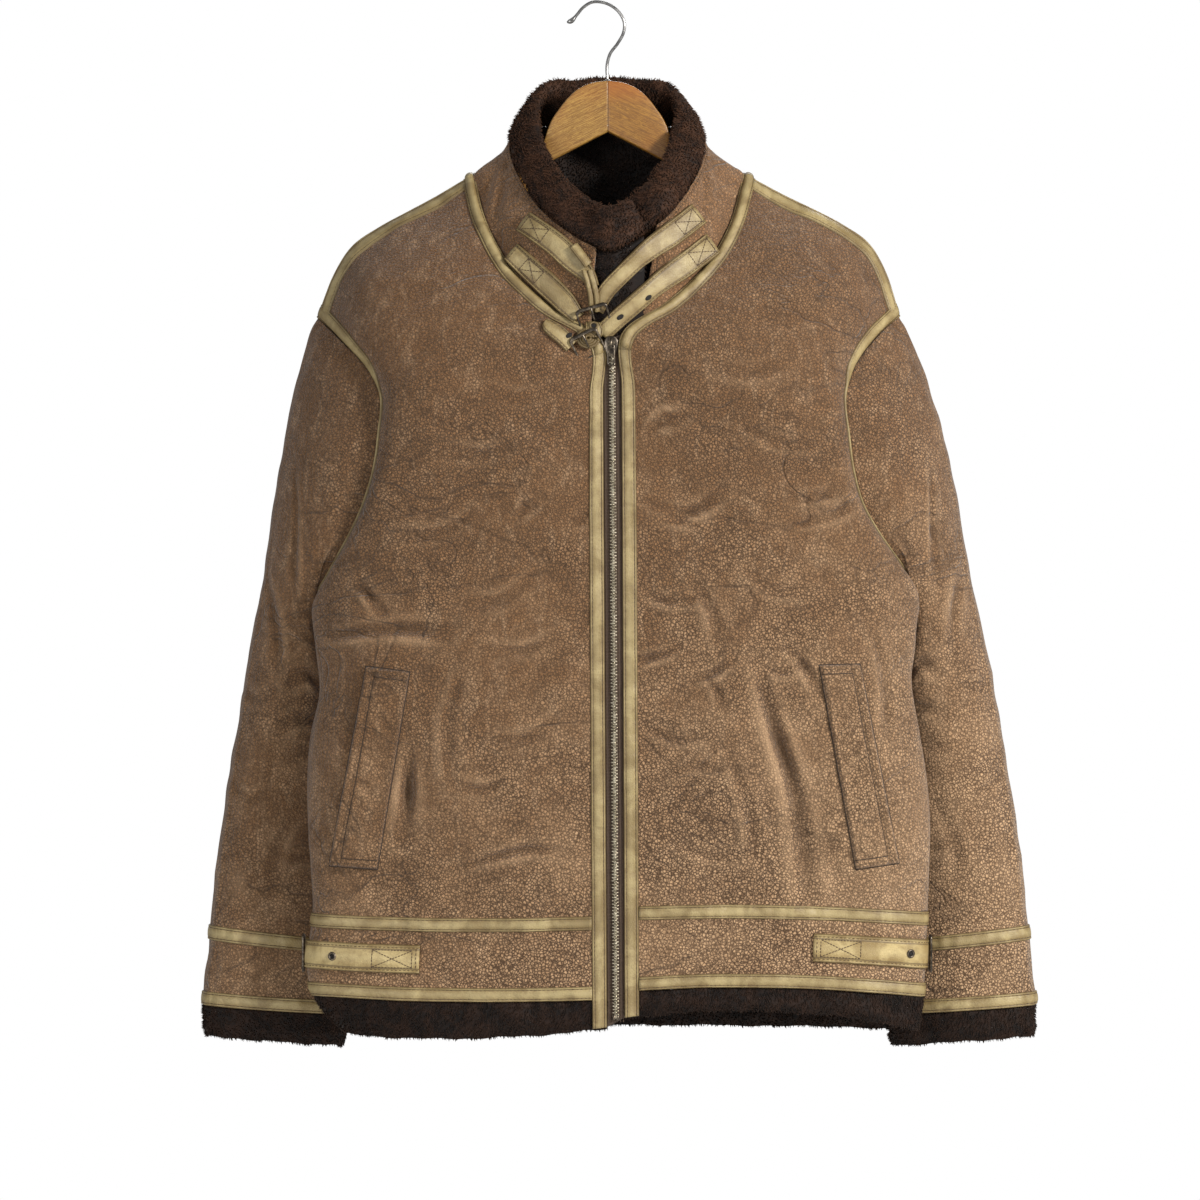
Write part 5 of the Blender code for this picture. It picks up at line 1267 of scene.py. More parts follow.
def rounded_frame(width, height, corner, steps=6):
    found = []
    for quarter in range(4):
        cx = (width / 2 - corner) * (1 if quarter in (0, 3) else -1)
        cz = (height / 2 - corner) * (1 if quarter in (0, 1) else -1)
        for step in range(steps + 1):
            turn = (quarter + step / steps) * math.pi / 2
            found.append((cx + corner * math.cos(turn), cz + corner * math.sin(turn)))
    return found


def cut_size(grid, wrap=False):
    """Width, length and area in metres of the flat cut of a piece."""
    if wrap:
        grid = np.concatenate([grid, grid[:, :1]], axis=1)
    across = np.linalg.norm(np.diff(grid, axis=1), axis=2).sum(axis=1).max()
    down = np.linalg.norm(np.diff(grid, axis=0), axis=2).sum(axis=0).max()
    a, b = grid[1:, 1:] - grid[:-1, :-1], grid[1:, :-1] - grid[:-1, 1:]
    area = 0.5 * np.linalg.norm(np.cross(a, b), axis=2).sum()
    return float(across * MM), float(down * MM), float(area * 1e-6)


def record_piece(item, node, slot, cut=None, fill=None, held="hung", on=()):
    PIECES.append({"item": item, "node": node, "slot": slot, "cut": cut, "fill": fill, "held": held,
                   "on": on})


SHELL = (0.0, -SUEDE)
SLEEVE_WALL = (0.0, -2.0)
PILE = []                # fur bases with the way their pile is combed and its length in metres
HEM_PILE = 0.0023
COLLAR_PILE = 0.0030
BACK_REACH = 4           # coarse columns of the back that a side strap runs over


def fur_lumps(x, y, drop, seed):
    """Uneven thickness of the pile."""
    return (0.7 * np.sin(x / 7.3 + seed) * np.sin(drop / 6.1 + y / 9.0 + seed)
            + 0.6 * np.sin(x / 13.7 - drop / 11.0)
            + 0.5 * np.sin((x + y) / 4.3 + 2 * seed) + 0.5 * np.sin(drop / 3.9 - y / 5.3 + seed))


def fur_band(name, cloth, rows, columns, node, wrap, seed, on):
    """A band of fur below a hem, its lower edge ragged."""
    grid = cloth.grid[rows[0]:rows[1] + 1]
    normal = cloth.normal[rows[0]:rows[1] + 1]
    if not wrap:
        grid, normal = grid[:, columns[0]:columns[1] + 1], normal[:, columns[0]:columns[1] + 1]
    grid = trim(grid, {"last_row": 0.3} if wrap else {"last_row": 0.3, "first_column": 0.2,
                                                      "last_column": 0.2})
    x, y, drop = grid[..., 0], grid[..., 1], -grid[..., 2]
    lumps = fur_lumps(x, y, drop, seed)
    share = np.linspace(0, 1, len(grid))[:, None]
    edge = smooth(share / 0.35)
    ragged = 1.0 * np.sin(x[0] / 9.1 + y[0] / 7.0 + seed) + 0.9 * np.sin(x[0] / 3.7 + y[0] / 5.0)
    grid = grid.copy()
    grid[..., 2] += 2.2 * (1 - share) + ragged[None] * (1 - share) * 0.4
    outer = -2.6 + 1.5 * edge + 0.6 * lumps * edge - 1.2 * (1 - edge)
    inner = -0.8 - FUR_THICK + 2.0 * (1 - edge) + 0.3 * lumps
    top, bottom = grid + normal * outer[..., None], grid + normal * inner[..., None]
    item = closed(name, top, bottom, "hem_fur", wrap, {"pile": np.ones(top.shape[:2])})
    PILE.append((item, (0.0, 0.0, -1.0), HEM_PILE))
    record_piece(item, node, "dark_fur", cut_size(grid, wrap), on=on)


def build_shell(body):
    left, right, back = body
    seam, hem, top = at_row(LEVEL["waist_seam"]), at_row(LEVEL["hem_edge"]), sum(ROW_STEPS)
    hangs = ["hanger_arm_left", "hanger_arm_right"]
    seeds = {"left": 1.0, "right": 2.4, "back": 3.9}
    for name, cloth in (("left", left), ("right", right), ("back", back)):
        panel = "back" if name == "back" else f"front_{name}"
        width = cloth.grid.shape[1] - 1
        item = cloth_piece(f"{panel}_cloth", cloth, (seam, top), (0, width), SHELL, "suede")
        record_piece(item, panel, "suede", cut_size(cloth.grid[seam:]), on=hangs)
        item = cloth_piece(f"hem_band_{name}_cloth", cloth, (hem, seam), (0, width), SHELL, "suede")
        record_piece(item, f"hem_band_{name}", "suede", cut_size(cloth.grid[hem:seam + 1]),
                     on=[f"{panel}_cloth"])
        fur_band(f"hem_fur_{name}_base", cloth, (0, hem), (0, width), f"hem_fur_{name}", False, seeds[name],
                 [f"hem_band_{name}_cloth"])


def armhole_start(front, under):
    """Share of the armhole tape's width that has turned in under the sleeve, row by row."""
    drop = -front.grid[:, -1, 2]
    turned = 0.68 * smooth((drop - 306.0) / 22.0)
    return turned[under:]


def build_tapes(body):
    left, right, back = body
    top = sum(ROW_STEPS)
    corner = at_row(len(LEVELS) + BODY_ROWS - 1 + ARM_ROWS // 2)
    under = at_row(len(LEVELS) + BODY_ROWS - 1)
    shoulder = at_row(len(LEVELS) + BODY_ROWS - 1 + ARM_ROWS - 1)
    first, last, width = FRONT_STEPS[0], sum(FRONT_STEPS) - FRONT_STEPS[-1], sum(FRONT_STEPS)
    made = {}

    def lengthwise(cloth, rows, columns):
        return (cloth.grid[rows[0]:rows[1] + 1, columns[0]:columns[1] + 1],
                cloth.normal[rows[0]:rows[1] + 1, columns[0]:columns[1] + 1])

    def crosswise(cloth, rows, columns):
        grid, normal = lengthwise(cloth, rows, columns)
        return np.swapaxes(grid, 0, 1)[:, ::-1], np.swapaxes(normal, 0, 1)[:, ::-1]

    def lay(name, node, pair, profile=TAPE_PROFILE, stitches=(STITCH_IN, 1 - STITCH_IN), seed=1.0, **more):
        laid = strip(name, *pair, profile, seed=seed, **more)
        record_piece(laid.item, node, "tan_leather")
        stitch_strip(laid, stitches)
        made[name] = laid
        return laid

    waist = (at_row(LEVEL["waist_tape_bottom"]), at_row(LEVEL["waist_tape_top"]))
    hem = (at_row(LEVEL["hem_edge"]), at_row(LEVEL["hem_tape_top"]))
    for number, (name, cloth) in enumerate((("left", left), ("right", right))):
        lay(f"front_tape_{name}", f"centre_front_tape_{name}", lengthwise(cloth, (2, corner), (0, first)),
            seed=1 + number)
        lay(f"neck_tape_{name}_roll", f"neck_tape_{name}", lengthwise(cloth, (corner - 2, top), (0, first)),
            ROLL_PROFILE, (0.13, 0.87), seed=3 + number)
        lay(f"shoulder_tape_{name}_strip", f"shoulder_tape_{name}",
            crosswise(cloth, (shoulder, top), (first - 1, last + 2)),
            seed=5 + number)
        grid, normal = lengthwise(cloth, (under, top), (last, width))
        start = armhole_start(cloth, under)
        laid = lay(f"armhole_tape_{name}_strip", f"armhole_tape_{name}", (grid, normal), stitches=(),
                   start=start, seed=7 + number)
        keep = int(np.argmax(start < 0.05))
        for share in (STITCH_IN, 1 - STITCH_IN):
            index = int(np.argmin(np.abs(laid.across - share)))
            stitch_line(laid.grid[keep:, index], laid.normal[keep:, index])
        lay(f"waist_tape_{name}_strip", f"waist_tape_{name}", crosswise(cloth, waist, (first, width)),
            seed=9 + number)
        lay(f"hem_tape_{name}_strip", f"hem_tape_{name}", crosswise(cloth, hem, (first, width)),
            seed=11 + number)
        column = (0, first) if number == 0 else (back.grid.shape[1] - 1 - first, back.grid.shape[1] - 1)
        grid, normal = lengthwise(back, (under, top - 2), column)
        if number == 0:
            grid, normal = grid[:, ::-1], normal[:, ::-1]
        turned = np.full(len(grid), 0.8)
        lay(f"armhole_piping_{name}", None, (grid, normal), PIPE_PROFILE, (), start=turned, seed=13 + number)
    wide = back.grid.shape[1] - 1
    lay("neck_tape_back_roll", "neck_tape_back", crosswise(back, (shoulder, top),
                                                           (width - 1, wide - width + 1)),
        ROLL_PROFILE, (0.13, 0.87), seed=15)
    lay("waist_tape_back_strip", "waist_tape_back", crosswise(back, waist, (0, wide)), seed=16)
    lay("hem_tape_back_strip", "hem_tape_back", crosswise(back, hem, (0, wide)), seed=17)
    return made


def build_side_straps(body):
    left, right, back = body
    low, high = at_row(LEVEL["strap_bottom"]), at_row(LEVEL["strap_top"])
    reach = sum(BACK_STEPS[:BACK_REACH])
    made = []
    for side, cloth, name in ((-1, left, "left"), (1, right, "right")):
        grid, normal = cloth.grid[low:high + 1], cloth.normal[low:high + 1]
        behind, behind_normal = back.grid[low:high + 1], back.normal[low:high + 1]
        if side > 0:
            behind, behind_normal = behind[:, ::-1], behind_normal[:, ::-1]
        away = np.abs(grid[len(grid) // 2, :, 0] - centre(790))
        first = int(np.argmax(away > SIDE_STRAP_REACH[side]))
        strip_grid = np.concatenate([grid[:, first:], behind[:, 1:reach + 1]], axis=1)
        strip_normal = np.concatenate([normal[:, first:], behind_normal[:, 1:reach + 1]], axis=1)
        strip_grid, strip_normal = (np.swapaxes(a, 0, 1)[:, ::-1] for a in (strip_grid, strip_normal))
        laid = strip(f"side_strap_{name}_leather", strip_grid, strip_normal, STRAP_PROFILE, "strap_leather",
                     base=0.1, seed=21 + side)
        record_piece(laid.item, f"side_strap_{name}", "tan_leather")
        stitch_strip(laid, (STRAP_STITCH_IN, 1 - STRAP_STITCH_IN))
        stitch_line(laid.grid[1, 5:-5], laid.normal[1, 5:-5])
        stitched_cross(laid, 6.0, 39.0, 0.2, 0.8)
        row, column = int(np.argmin(np.abs(laid.along - SIDE_EYELET_AT[side]))), len(laid.across) // 2
        made.append((name, laid.grid[row, column], laid.normal[row, column]))
    return made


def build_sleeves(sleeves):
    for name, cloth in zip(("left", "right"), sleeves):
        seam, edge = at_ring(RING["cuff_seam"]), at_ring(RING["cuff_edge"])
        item = cloth_piece(f"sleeve_{name}_cloth", cloth, (0, seam), None, SLEEVE_WALL, "suede", wrap=True,
                           gap=0.3)
        record_piece(item, f"sleeve_{name}", "suede", cut_size(cloth.grid[:seam + 1], True),
                     on=[f"front_{name}_cloth", "back_cloth"])
        item = cloth_piece(f"cuff_band_{name}_cloth", cloth, (seam, edge), None, SHELL, "suede", wrap=True)
        record_piece(item, f"cuff_band_{name}", "suede", cut_size(cloth.grid[seam:edge + 1], True),
                     on=[f"sleeve_{name}_cloth"])
        rows = cloth.grid[edge:][::-1], cloth.normal[edge:][::-1], cloth.fold[edge:][::-1]
        fur_band(f"cuff_fur_{name}_base", Cloth(*rows), (0, len(rows[0]) - 1), None, f"cuff_fur_{name}", True,
                 5.0 if name == "left" else 6.3, [f"cuff_band_{name}_cloth"])
        for title, high, low in (("upper_cuff_tape", "tape_top", "tape_bottom"),
                                 ("lower_cuff_tape", "cuff_tape_top", "cuff_edge")):
            grid = cloth.grid[at_ring(RING[high]):at_ring(RING[low]) + 1]
            normal = cloth.normal[at_ring(RING[high]):at_ring(RING[low]) + 1]
            grid = np.swapaxes(np.concatenate([grid, grid[:, :1]], axis=1), 0, 1)
            normal = np.swapaxes(np.concatenate([normal, normal[:, :1]], axis=1), 0, 1)
            laid = strip(f"{title}_{name}_strip", grid, normal, TAPE_PROFILE, wrap=True, seed=len(PIECES))
            record_piece(laid.item, f"{title}_{name}", "tan_leather")
            stitch_strip(laid, (STITCH_IN, 1 - STITCH_IN))


# Soft folds of the standing collar, seen from the front
COLLAR_CREASES = [
    Crease(4.5, 3.2, [(-73, 132), (-77, 150), (-82, 172), (-84, 186)]),
    Crease(4.0, 2.4, [(-84, 136), (-90, 152), (-94, 170)]),
    Crease(4.0, 3.0, [(87, 131), (89, 150), (88, 168), (84, 186)]),
    Crease(3.6, 2.2, [(97, 133), (100, 150), (99, 172)]),
    Crease(3.4, 1.4, [(-60, 170), (-66, 190), (-64, 210)]),
    Crease(3.2, 1.2, [(66, 180), (72, 200), (66, 220)]),
]


def build_collar(patches):
    left, right, back = (patch[0] for patch in patches)
    for facing, rise, outside, thick, finish, steps in (
            (False, (0.0, 0.33, 0.67, 1.0), 0.0, SUEDE, "collar_suede", 12),
            (True, (0.0, 0.3, 0.5, 0.75, 0.97), -SUEDE - LINING_DEPTH + 2.0, LINING_THICK, "lining_fur", 6)):
        coarse = collar_grid(facing, rise, left, right, back)
        coarse = trim(coarse, {"first_row": -1.6 if not facing else 0.0, "last_row": 0.6})
        if facing:
            coarse[0, :, 2] -= 9.0
        across = np.linalg.norm(np.diff(coarse, axis=1), axis=2).mean(axis=0)
        columns = np.concatenate([[0.0], np.cumsum(across)])
        grid = divide(coarse, mean_keys(coarse), columns, [steps] * (len(rise) - 1),
                      [8] * (coarse.shape[1] - 1))
        inside = grid.copy()
        inside[..., 0] = COLLAR_CENTRE
        inside[..., 1] = -15.0
        normal = even(normals(grid, inside), 6, wrap=False)
        if not facing:
            x, drop = grid[..., 0], -grid[..., 2]
            front = smooth((10 - grid[..., 1]) / 30.0)
            depth = -0.6 * dent(x, drop, COLLAR_CREASES) * front + 0.8 * ripple(x, drop, 3.0)
            depth += 0.8 * np.sin(x / 17.0 + drop / 23.0) * (1 - front)
            share = np.linspace(0, 1, len(grid))[:, None]
            depth = depth * smooth(share / 0.15) * smooth((1 - share) / 0.1)
            depth += puckers(grid, [grid[-1], grid[0]], 4.0)
            grid = grid + normal * depth[..., None]
            item = closed("collar_cloth", grid, grid - normal * thick, finish)
            record_piece(item, "collar", "suede", cut_size(grid),
                         on=["front_left_cloth", "front_right_cloth", "back_cloth"])
            stitch_line(grid[-3, 4:-4], normal[-3, 4:-4])
            stitch_line(grid[-3:3:-1, 3], normal[-3:3:-1, 3])
            stitch_line(grid[-3:3:-1, -4], normal[-3:3:-1, -4])
        else:
            lumps = 0.6 * fur_lumps(grid[..., 0], grid[..., 1], -grid[..., 2], 2.0)
            item = closed("collar_lining_base", grid + normal * (outside - 1.2),
                          grid + normal * (outside - thick - 1.2 + lumps)[..., None], finish)
            half = grid.shape[0] * grid.shape[1]
            layer = item.data.attributes.new("pile", "FLOAT", "POINT")
            front = smooth((COLLAR_CENTRE + 12 - np.abs(grid[..., 0] - 12)) / 8.0) * (grid[..., 1] < -62)
            values = np.concatenate([front.reshape(-1), np.ones(half)])
            layer.data.foreach_set("value", values.astype(np.float32))
            record_piece(item, "collar_lining", "dark_fur", cut_size(grid), on=["collar_cloth"])
            PILE.append((item, (0.0, 0.0, -0.7), COLLAR_PILE))

    stations = [(-1, k) for k in np.linspace(RIM_START[-1], 0.9, 11)]
    stations += [(-1, k) for k in (1.0, *BACK_STATIONS)] + [(1, 2.0)]
    stations += [(1, k) for k in (*BACK_STATIONS[::-1], 1.0)]
    stations += [(1, k) for k in np.linspace(0.88, RIM_START[1], 9)]
    low = np.array([collar_point(side, k, "edge") for side, k in stations])
    high = np.array([collar_point(side, k, "crest") for side, k in stations])
    thick = np.array([np.interp(k, RIM_AT, RIM_THICK) for _, k in stations])
    both = np.concatenate([low, high, thick[:, None]], axis=1)
    run = lengths((low + high) / 2)
    fine = spline(run, both, np.linspace(0, run[-1], 260))
    low, high, thick = fine[:, :3], fine[:, 3:6], fine[:, 6] - 2.0
    low += unit(high - low) * 1.6
    high -= unit(high - low) * 1.8
    middle, rise = (low + high) / 2, (high - low) / 2
    out = unit(np.cross(np.gradient(middle, axis=0), rise))
    away = middle - np.array([COLLAR_CENTRE, -15.0, 0.0])
    away[:, 2] = 0.0
    out *= np.where(np.sum(out * away, axis=1) < 0, -1.0, 1.0)[:, None]
    angle = np.arange(30) * np.pi / 15
    rings = []
    for i in range(len(middle)):
        up = np.sign(np.cos(angle)) * np.abs(np.cos(angle)) ** 0.85
        through_wall = np.sign(np.sin(angle)) * np.abs(np.sin(angle)) ** 0.85
        ends = min(1.0, 0.35 + min(i, len(middle) - 1 - i) / 9.0)
        ring = middle[i] + up[:, None] * rise[i] * (0.6 + 0.4 * ends)
        rings.append(ring + through_wall[:, None] * out[i] * thick[i] * ends)
    rings = np.array(rings)
    swell = unit(rings - middle[:, None])
    waves = 0.9 * np.sin(np.linspace(0, 47, len(rings)))[:, None] * np.sin(angle * 2)[None]
    rings += swell * (0.75 * fur_lumps(rings[..., 0], rings[..., 1], -rings[..., 2], 0.7) + waves)[..., None]
    item = loft("collar_fur_base", rings, "dark_fur")
    layer = item.data.attributes.new("pile", "FLOAT", "POINT")
    layer.data.foreach_set("value", np.ones(rings.shape[0] * rings.shape[1], np.float32))
    record_piece(item, "collar_fur", "dark_fur", fill=0.6)
    PILE.append((item, (0.0, -0.15, -0.6), COLLAR_PILE))
    return item, bpy.data.objects["collar_lining_base"]


def build_zip(body):
    left, right = body[0].grid, body[1].grid
    corner = at_row(len(LEVELS) + BODY_ROWS - 1 + ARM_ROWS // 2)
    a, b = left[2:corner + 1, 0], right[2:corner + 1, 0]
    middle = (a + b) / 2
    middle[:, 1] = np.minimum(a[:, 1], b[:, 1])
    for _ in range(12):
        middle[1:-1] = (middle[:-2] + 2 * middle[1:-1] + middle[2:]) / 4
    run = lengths(middle)
    at = np.arange(0, run[-1], 2.0)
    line, a, b = along(middle, at), along(a, at), along(b, at)
    shares = np.linspace(0.0, 1.0, 17)
    grid = a[:, None] * (1 - shares)[None, :, None] + b[:, None] * shares[None, :, None]
    grid[..., 1] = line[:, None, 1] + 1.1 - 0.5 * np.exp(-((shares - 0.5) / 0.22) ** 2)[None]
    back = grid.copy()
    back[..., 1] += 0.9
    record_piece(closed("zip_tape_woven", grid, back, "zip_cloth", False,
                        {"across": np.repeat(shares[None], len(at), 0),
                         "along": np.repeat(at[:, None], 17, 1)}),
                 "zip_tape", "zip_tape", cut_size(grid), on=["front_tape_left", "front_tape_right"])
    front = np.tile([0.0, -1.0, 0.0], (len(line), 1))
    for side in (-1, 1):
        for offset in (3.9, 6.2):
            stitch_line(line + np.array([side * offset, 0.75, 0.0]), front, pitch=2.7)
    top = np.array([SLIDER_TOP.x, 0.0, -(SLIDER_TOP.drop + 9.0)])
    teeth = []
    at = np.arange(4.0, run[-1] - 2.0, 1.35)
    place = along(middle, at)
    for index, point in enumerate(place):
        if point[2] < top[2]:
            side = -1 if index % 2 else 1
            teeth.append((point + np.array([side * 0.75, -0.2, 0.0]), (1.0 * side, 0.0, 0.0),
                          (0.0, -1.0, 0.0)))
    chain = np.array(teeth)
    parts = []
    depth = float(line[np.argmin(np.abs(line[:, 2] - top[2])), 1])
    front_face = depth - 1.0
    sections = []
    plate = [(0.0, -6.5), (3.6, -6.0), (5.6, -3.2), (5.9, 0.0), (5.0, 4.0), (3.8, 8.5), (2.2, 9.6),
             (0.0, 9.8)]
    plate = plate + [(-x, z) for x, z in plate[-2:0:-1]]
    for size, out in ((0.86, -0.2), (1.0, 0.25), (1.0, 1.25), (0.9, 1.65), (0.45, 1.85)):
        sections.append([(top[0] + x * size, front_face - out, top[2] - z * size) for x, z in plate])
    parts.append(loft("zip_slider_plate", sections, "gunmetal"))
    bridge = [(top[0], front_face - 1.5 - 2.0 * math.sin(math.pi * t),
               top[2] + 5.0 - 9.5 * t) for t in np.linspace(0, 1, 15)]
    parts.append(tube("zip_slider_bridge", bridge, 0.95, 10, "gunmetal"))
    ring = [(top[0] + u, front_face - 3.0 - 0.02 * v, top[2] - 9.0 + v) for u,
            v in rounded_frame(5.2, 17.0, 2.3)]
    parts.append(tube("zip_slider_pull", ring, 0.75, 10, "gunmetal", loop=True))
    bar = [(top[0] + u, front_face - 2.9, top[2] - 3.2) for u in np.linspace(-2.4, 2.4, 5)]
    parts.append(tube("zip_slider_bar", bar, 0.7, 8, "gunmetal"))
    for side in (-1, 1):
        stop = [(line[0, 0] + side * 1.5, line[0, 1] - 0.6, line[0, 2] + z) for z in (2.0, 4.0, 6.5)]
        parts.append(tube("zip_foot", stop, 1.3, 8, "gunmetal"))
    record_piece(joined("zip_slider_metal", *parts), "zip_slider", "gunmetal")
    return chain


# Folds of the pocket welts, at shares of a welt's width and length
WELT_CREASES = {
    -1: [Crease(3.0, 1.3, [(0.12, 0.55), (0.5, 0.6), (0.8, 0.68)]),
         Crease(2.6, 1.1, [(0.3, 0.2), (0.6, 0.26), (0.85, 0.32)]),
         Crease(3.0, 0.9, [(0.3, 0.82), (0.6, 0.86), (0.8, 0.84)])],
    1: [Crease(3.0, 1.2, [(0.85, 0.45), (0.5, 0.5), (0.2, 0.58)]),
         Crease(2.6, 1.0, [(0.75, 0.75), (0.5, 0.79), (0.2, 0.78)])],
}


def build_welts(ground):
    seams = []
    for (name, corners), side in zip(WELTS.items(), (-1, 1)):
        tl, tr, br, bl = (np.array([p.x, 0.0, -p.drop]) for p in corners)
        down = np.linspace(0, 1, 90)[:, None, None]
        over = np.linspace(0, 1, 34)[None, :, None]
        grid = (tl * (1 - over) + tr * over) * (1 - down) + (bl * (1 - over) + br * over) * down
        for i in range(grid.shape[0]):
            for j in range(grid.shape[1]):
                grid[i, j, 1] = ground.front(grid[i, j, 0], -grid[i, j, 2], 0.0)
        for _ in range(14):
            y = grid[..., 1]
            y[1:-1, 1:-1] = (y[:-2, 1:-1] + y[2:, 1:-1] + y[1:-1, :-2] + y[1:-1, 2:]) / 4
        u, v = np.broadcast_arrays(over[..., 0], down[..., 0])
        width = np.linalg.norm(tr - tl)
        length = np.linalg.norm(bl - tl)
        to_side = (1 - u if side > 0 else u) * width   # distance from the edge that faces the side seam
        to_front = width - to_side
        to_end = np.minimum(v, 1 - v) * length
        rim = np.minimum(np.minimum(to_side, to_front), to_end)
        height = 0.2 + 3.4 * smooth(rim / 1.5) + 0.7 * np.exp(-((rim - 2.6) / 1.4) ** 2)
        past_side, past_end = to_side - WELT_PANEL_SIDE, to_end - WELT_PANEL_END
        groove = np.exp(-(past_side / 0.7) ** 2) + np.exp(-(past_end / 0.7) ** 2) * (past_side > 0)
        rows = (to_side - WELT_STITCH_SIDE, to_front - WELT_STITCH_FRONT)
        groove += sum(0.6 * np.exp(-(away / 0.5) ** 2) for away in rows)
        height -= 1.7 * np.clip(groove, 0, 1.2)
        panel = smooth(past_side / 2.0) * smooth(past_end / 2.0)
        height -= panel * (0.5 - 0.4 * np.sin(np.pi * v))
        folds = [Crease(c.width, c.depth, [(a * width, b * length) for a,
                                           b in c.points]) for c in WELT_CREASES[side]]
        pressed = 0.9 * dent(u * width, v * length, folds) * smooth(rim / 4.0)
        height -= pressed
        edge = np.exp(-(rim / 0.9) ** 2)
        height += 0.25 * ripple(u * width * 2, v * length * 2, side)
        bed = grid + np.array([0.0, 100.0, 0.0])
        face = normals(grid, bed)
        outer = grid + face * np.maximum(height, 0.15)[..., None]
        # The fold mark paints shade into the welt's creases and grooves and a shadow along its outer edge
        item = closed(f"{name}_cloth", outer, grid - face * 0.3, "suede", False,
                      {"fold": pressed + 2.2 * np.clip(groove, 0, 1) + 2.6 * edge})
        record_piece(item, name, "suede", cut_size(grid), held="laid",
                     on=["front_left_cloth" if side < 0 else "front_right_cloth"])
        ground.add(item)
        # Thin near-black tubes: a painted shadow round the welt's rim
        rim_line = np.concatenate([outer[0, :-1], outer[:-1, -1], outer[-1, :0:-1], outer[:0:-1, 0]])
        seams.append(tube("welt_seam", rim_line + [0.0, -0.1, 0.0], 0.55, 6, "seam", loop=True))
        last_row, last_column = outer.shape[0] - 1, outer.shape[1] - 1

        def from_side(distance):
            share = distance / width
            return int(round((share if side < 0 else 1 - share) * last_column))

        inset = from_side(WELT_PANEL_SIDE)
        far = last_column - 1 if side < 0 else 1
        end = int(round(WELT_PANEL_END / length * last_row))
        ends = slice(min(inset, far), max(inset, far) + 1)
        # Thin near-black tubes: painted shade in the grooves of the inner panel's seams
        for line in (outer[end:last_row + 1 - end, inset], outer[end, ends], outer[last_row - end, ends]):
            seams.append(tube("welt_seam", line + [0.0, 0.12, 0.0], 0.5, 6, "seam"))
        column = from_side(WELT_STITCH_SIDE)
        stitch_line(outer[2:-2, column], face[2:-2, column], sink=0.05)
        share = WELT_STITCH_FRONT / width
        column = int(round((1 - share if side < 0 else share) * last_column))
        stitch_line(outer[2:-2, column], face[2:-2, column], sink=0.05)
        near_end = int(round(WELT_STITCH_END / length * last_row))
        for row in (near_end, last_row - near_end):
            stitch_line(outer[row, 3:-3], face[row, 3:-3], sink=0.05)
    record_piece(joined("welt_seams", *seams), None, "suede")


def holed(name, at, up, size, finish, rim):
    """An eyelet ring or a punched hole's edge, lying on the leather."""
    up = unit(np.asarray(up, float))
    across = unit(np.cross(up, (0.1, 0.0, 1.0)))
    other = np.cross(up, across)
    turn = np.linspace(0, 2 * np.pi, 24, endpoint=False)
    path = [at + up * 0.15 + size * (math.cos(a) * across + math.sin(a) * other) for a in turn]
    return tube(name, path, rim, 8, finish, loop=True)


def dark_hole(name, at, up, wide, tall, tilt):
    """A punched hole: a thin dark disc sunk in the leather, painted shade where the hole goes through."""
    up = unit(np.asarray(up, float))
    across = unit(np.cross(up, (0.1, 0.0, 1.0)))
    other = np.cross(up, across)
    turn = np.linspace(0, 2 * np.pi, 20, endpoint=False)
    c, s = math.cos(tilt), math.sin(tilt)
    rings = []
    for size, lift in ((0.7, 0.35), (1.0, 0.3), (1.0, -0.8)):
        ring = []
        for a in turn:
            u, v = wide * size * math.cos(a), tall * size * math.sin(a)
            ring.append(at + up * lift + across * (u * c - v * s) + other * (u * s + v * c))
        rings.append(ring)
    return loft(name, rings, "hole")


def on_strip(laid, x, drop):
    """The point and normal of a strap nearest a place seen from the front."""
    away = np.hypot(laid.grid[..., 0] - x, -laid.grid[..., 2] - drop)
    i, j = np.unravel_index(np.argmin(away), away.shape)
    return laid.grid[i, j], laid.normal[i, j]


# Punched holes of the collar straps: strap and place
STRAP_HOLES = [("collar_strap_right_upper", 39.4, 229.3), ("collar_strap_right_upper", 17.3, 246.5),
               ("collar_strap_right_lower", 41.9, 248.2), ("collar_strap_right_lower", 18.9, 263.8),
               ("strap_tail", -23.5, 279.5)]


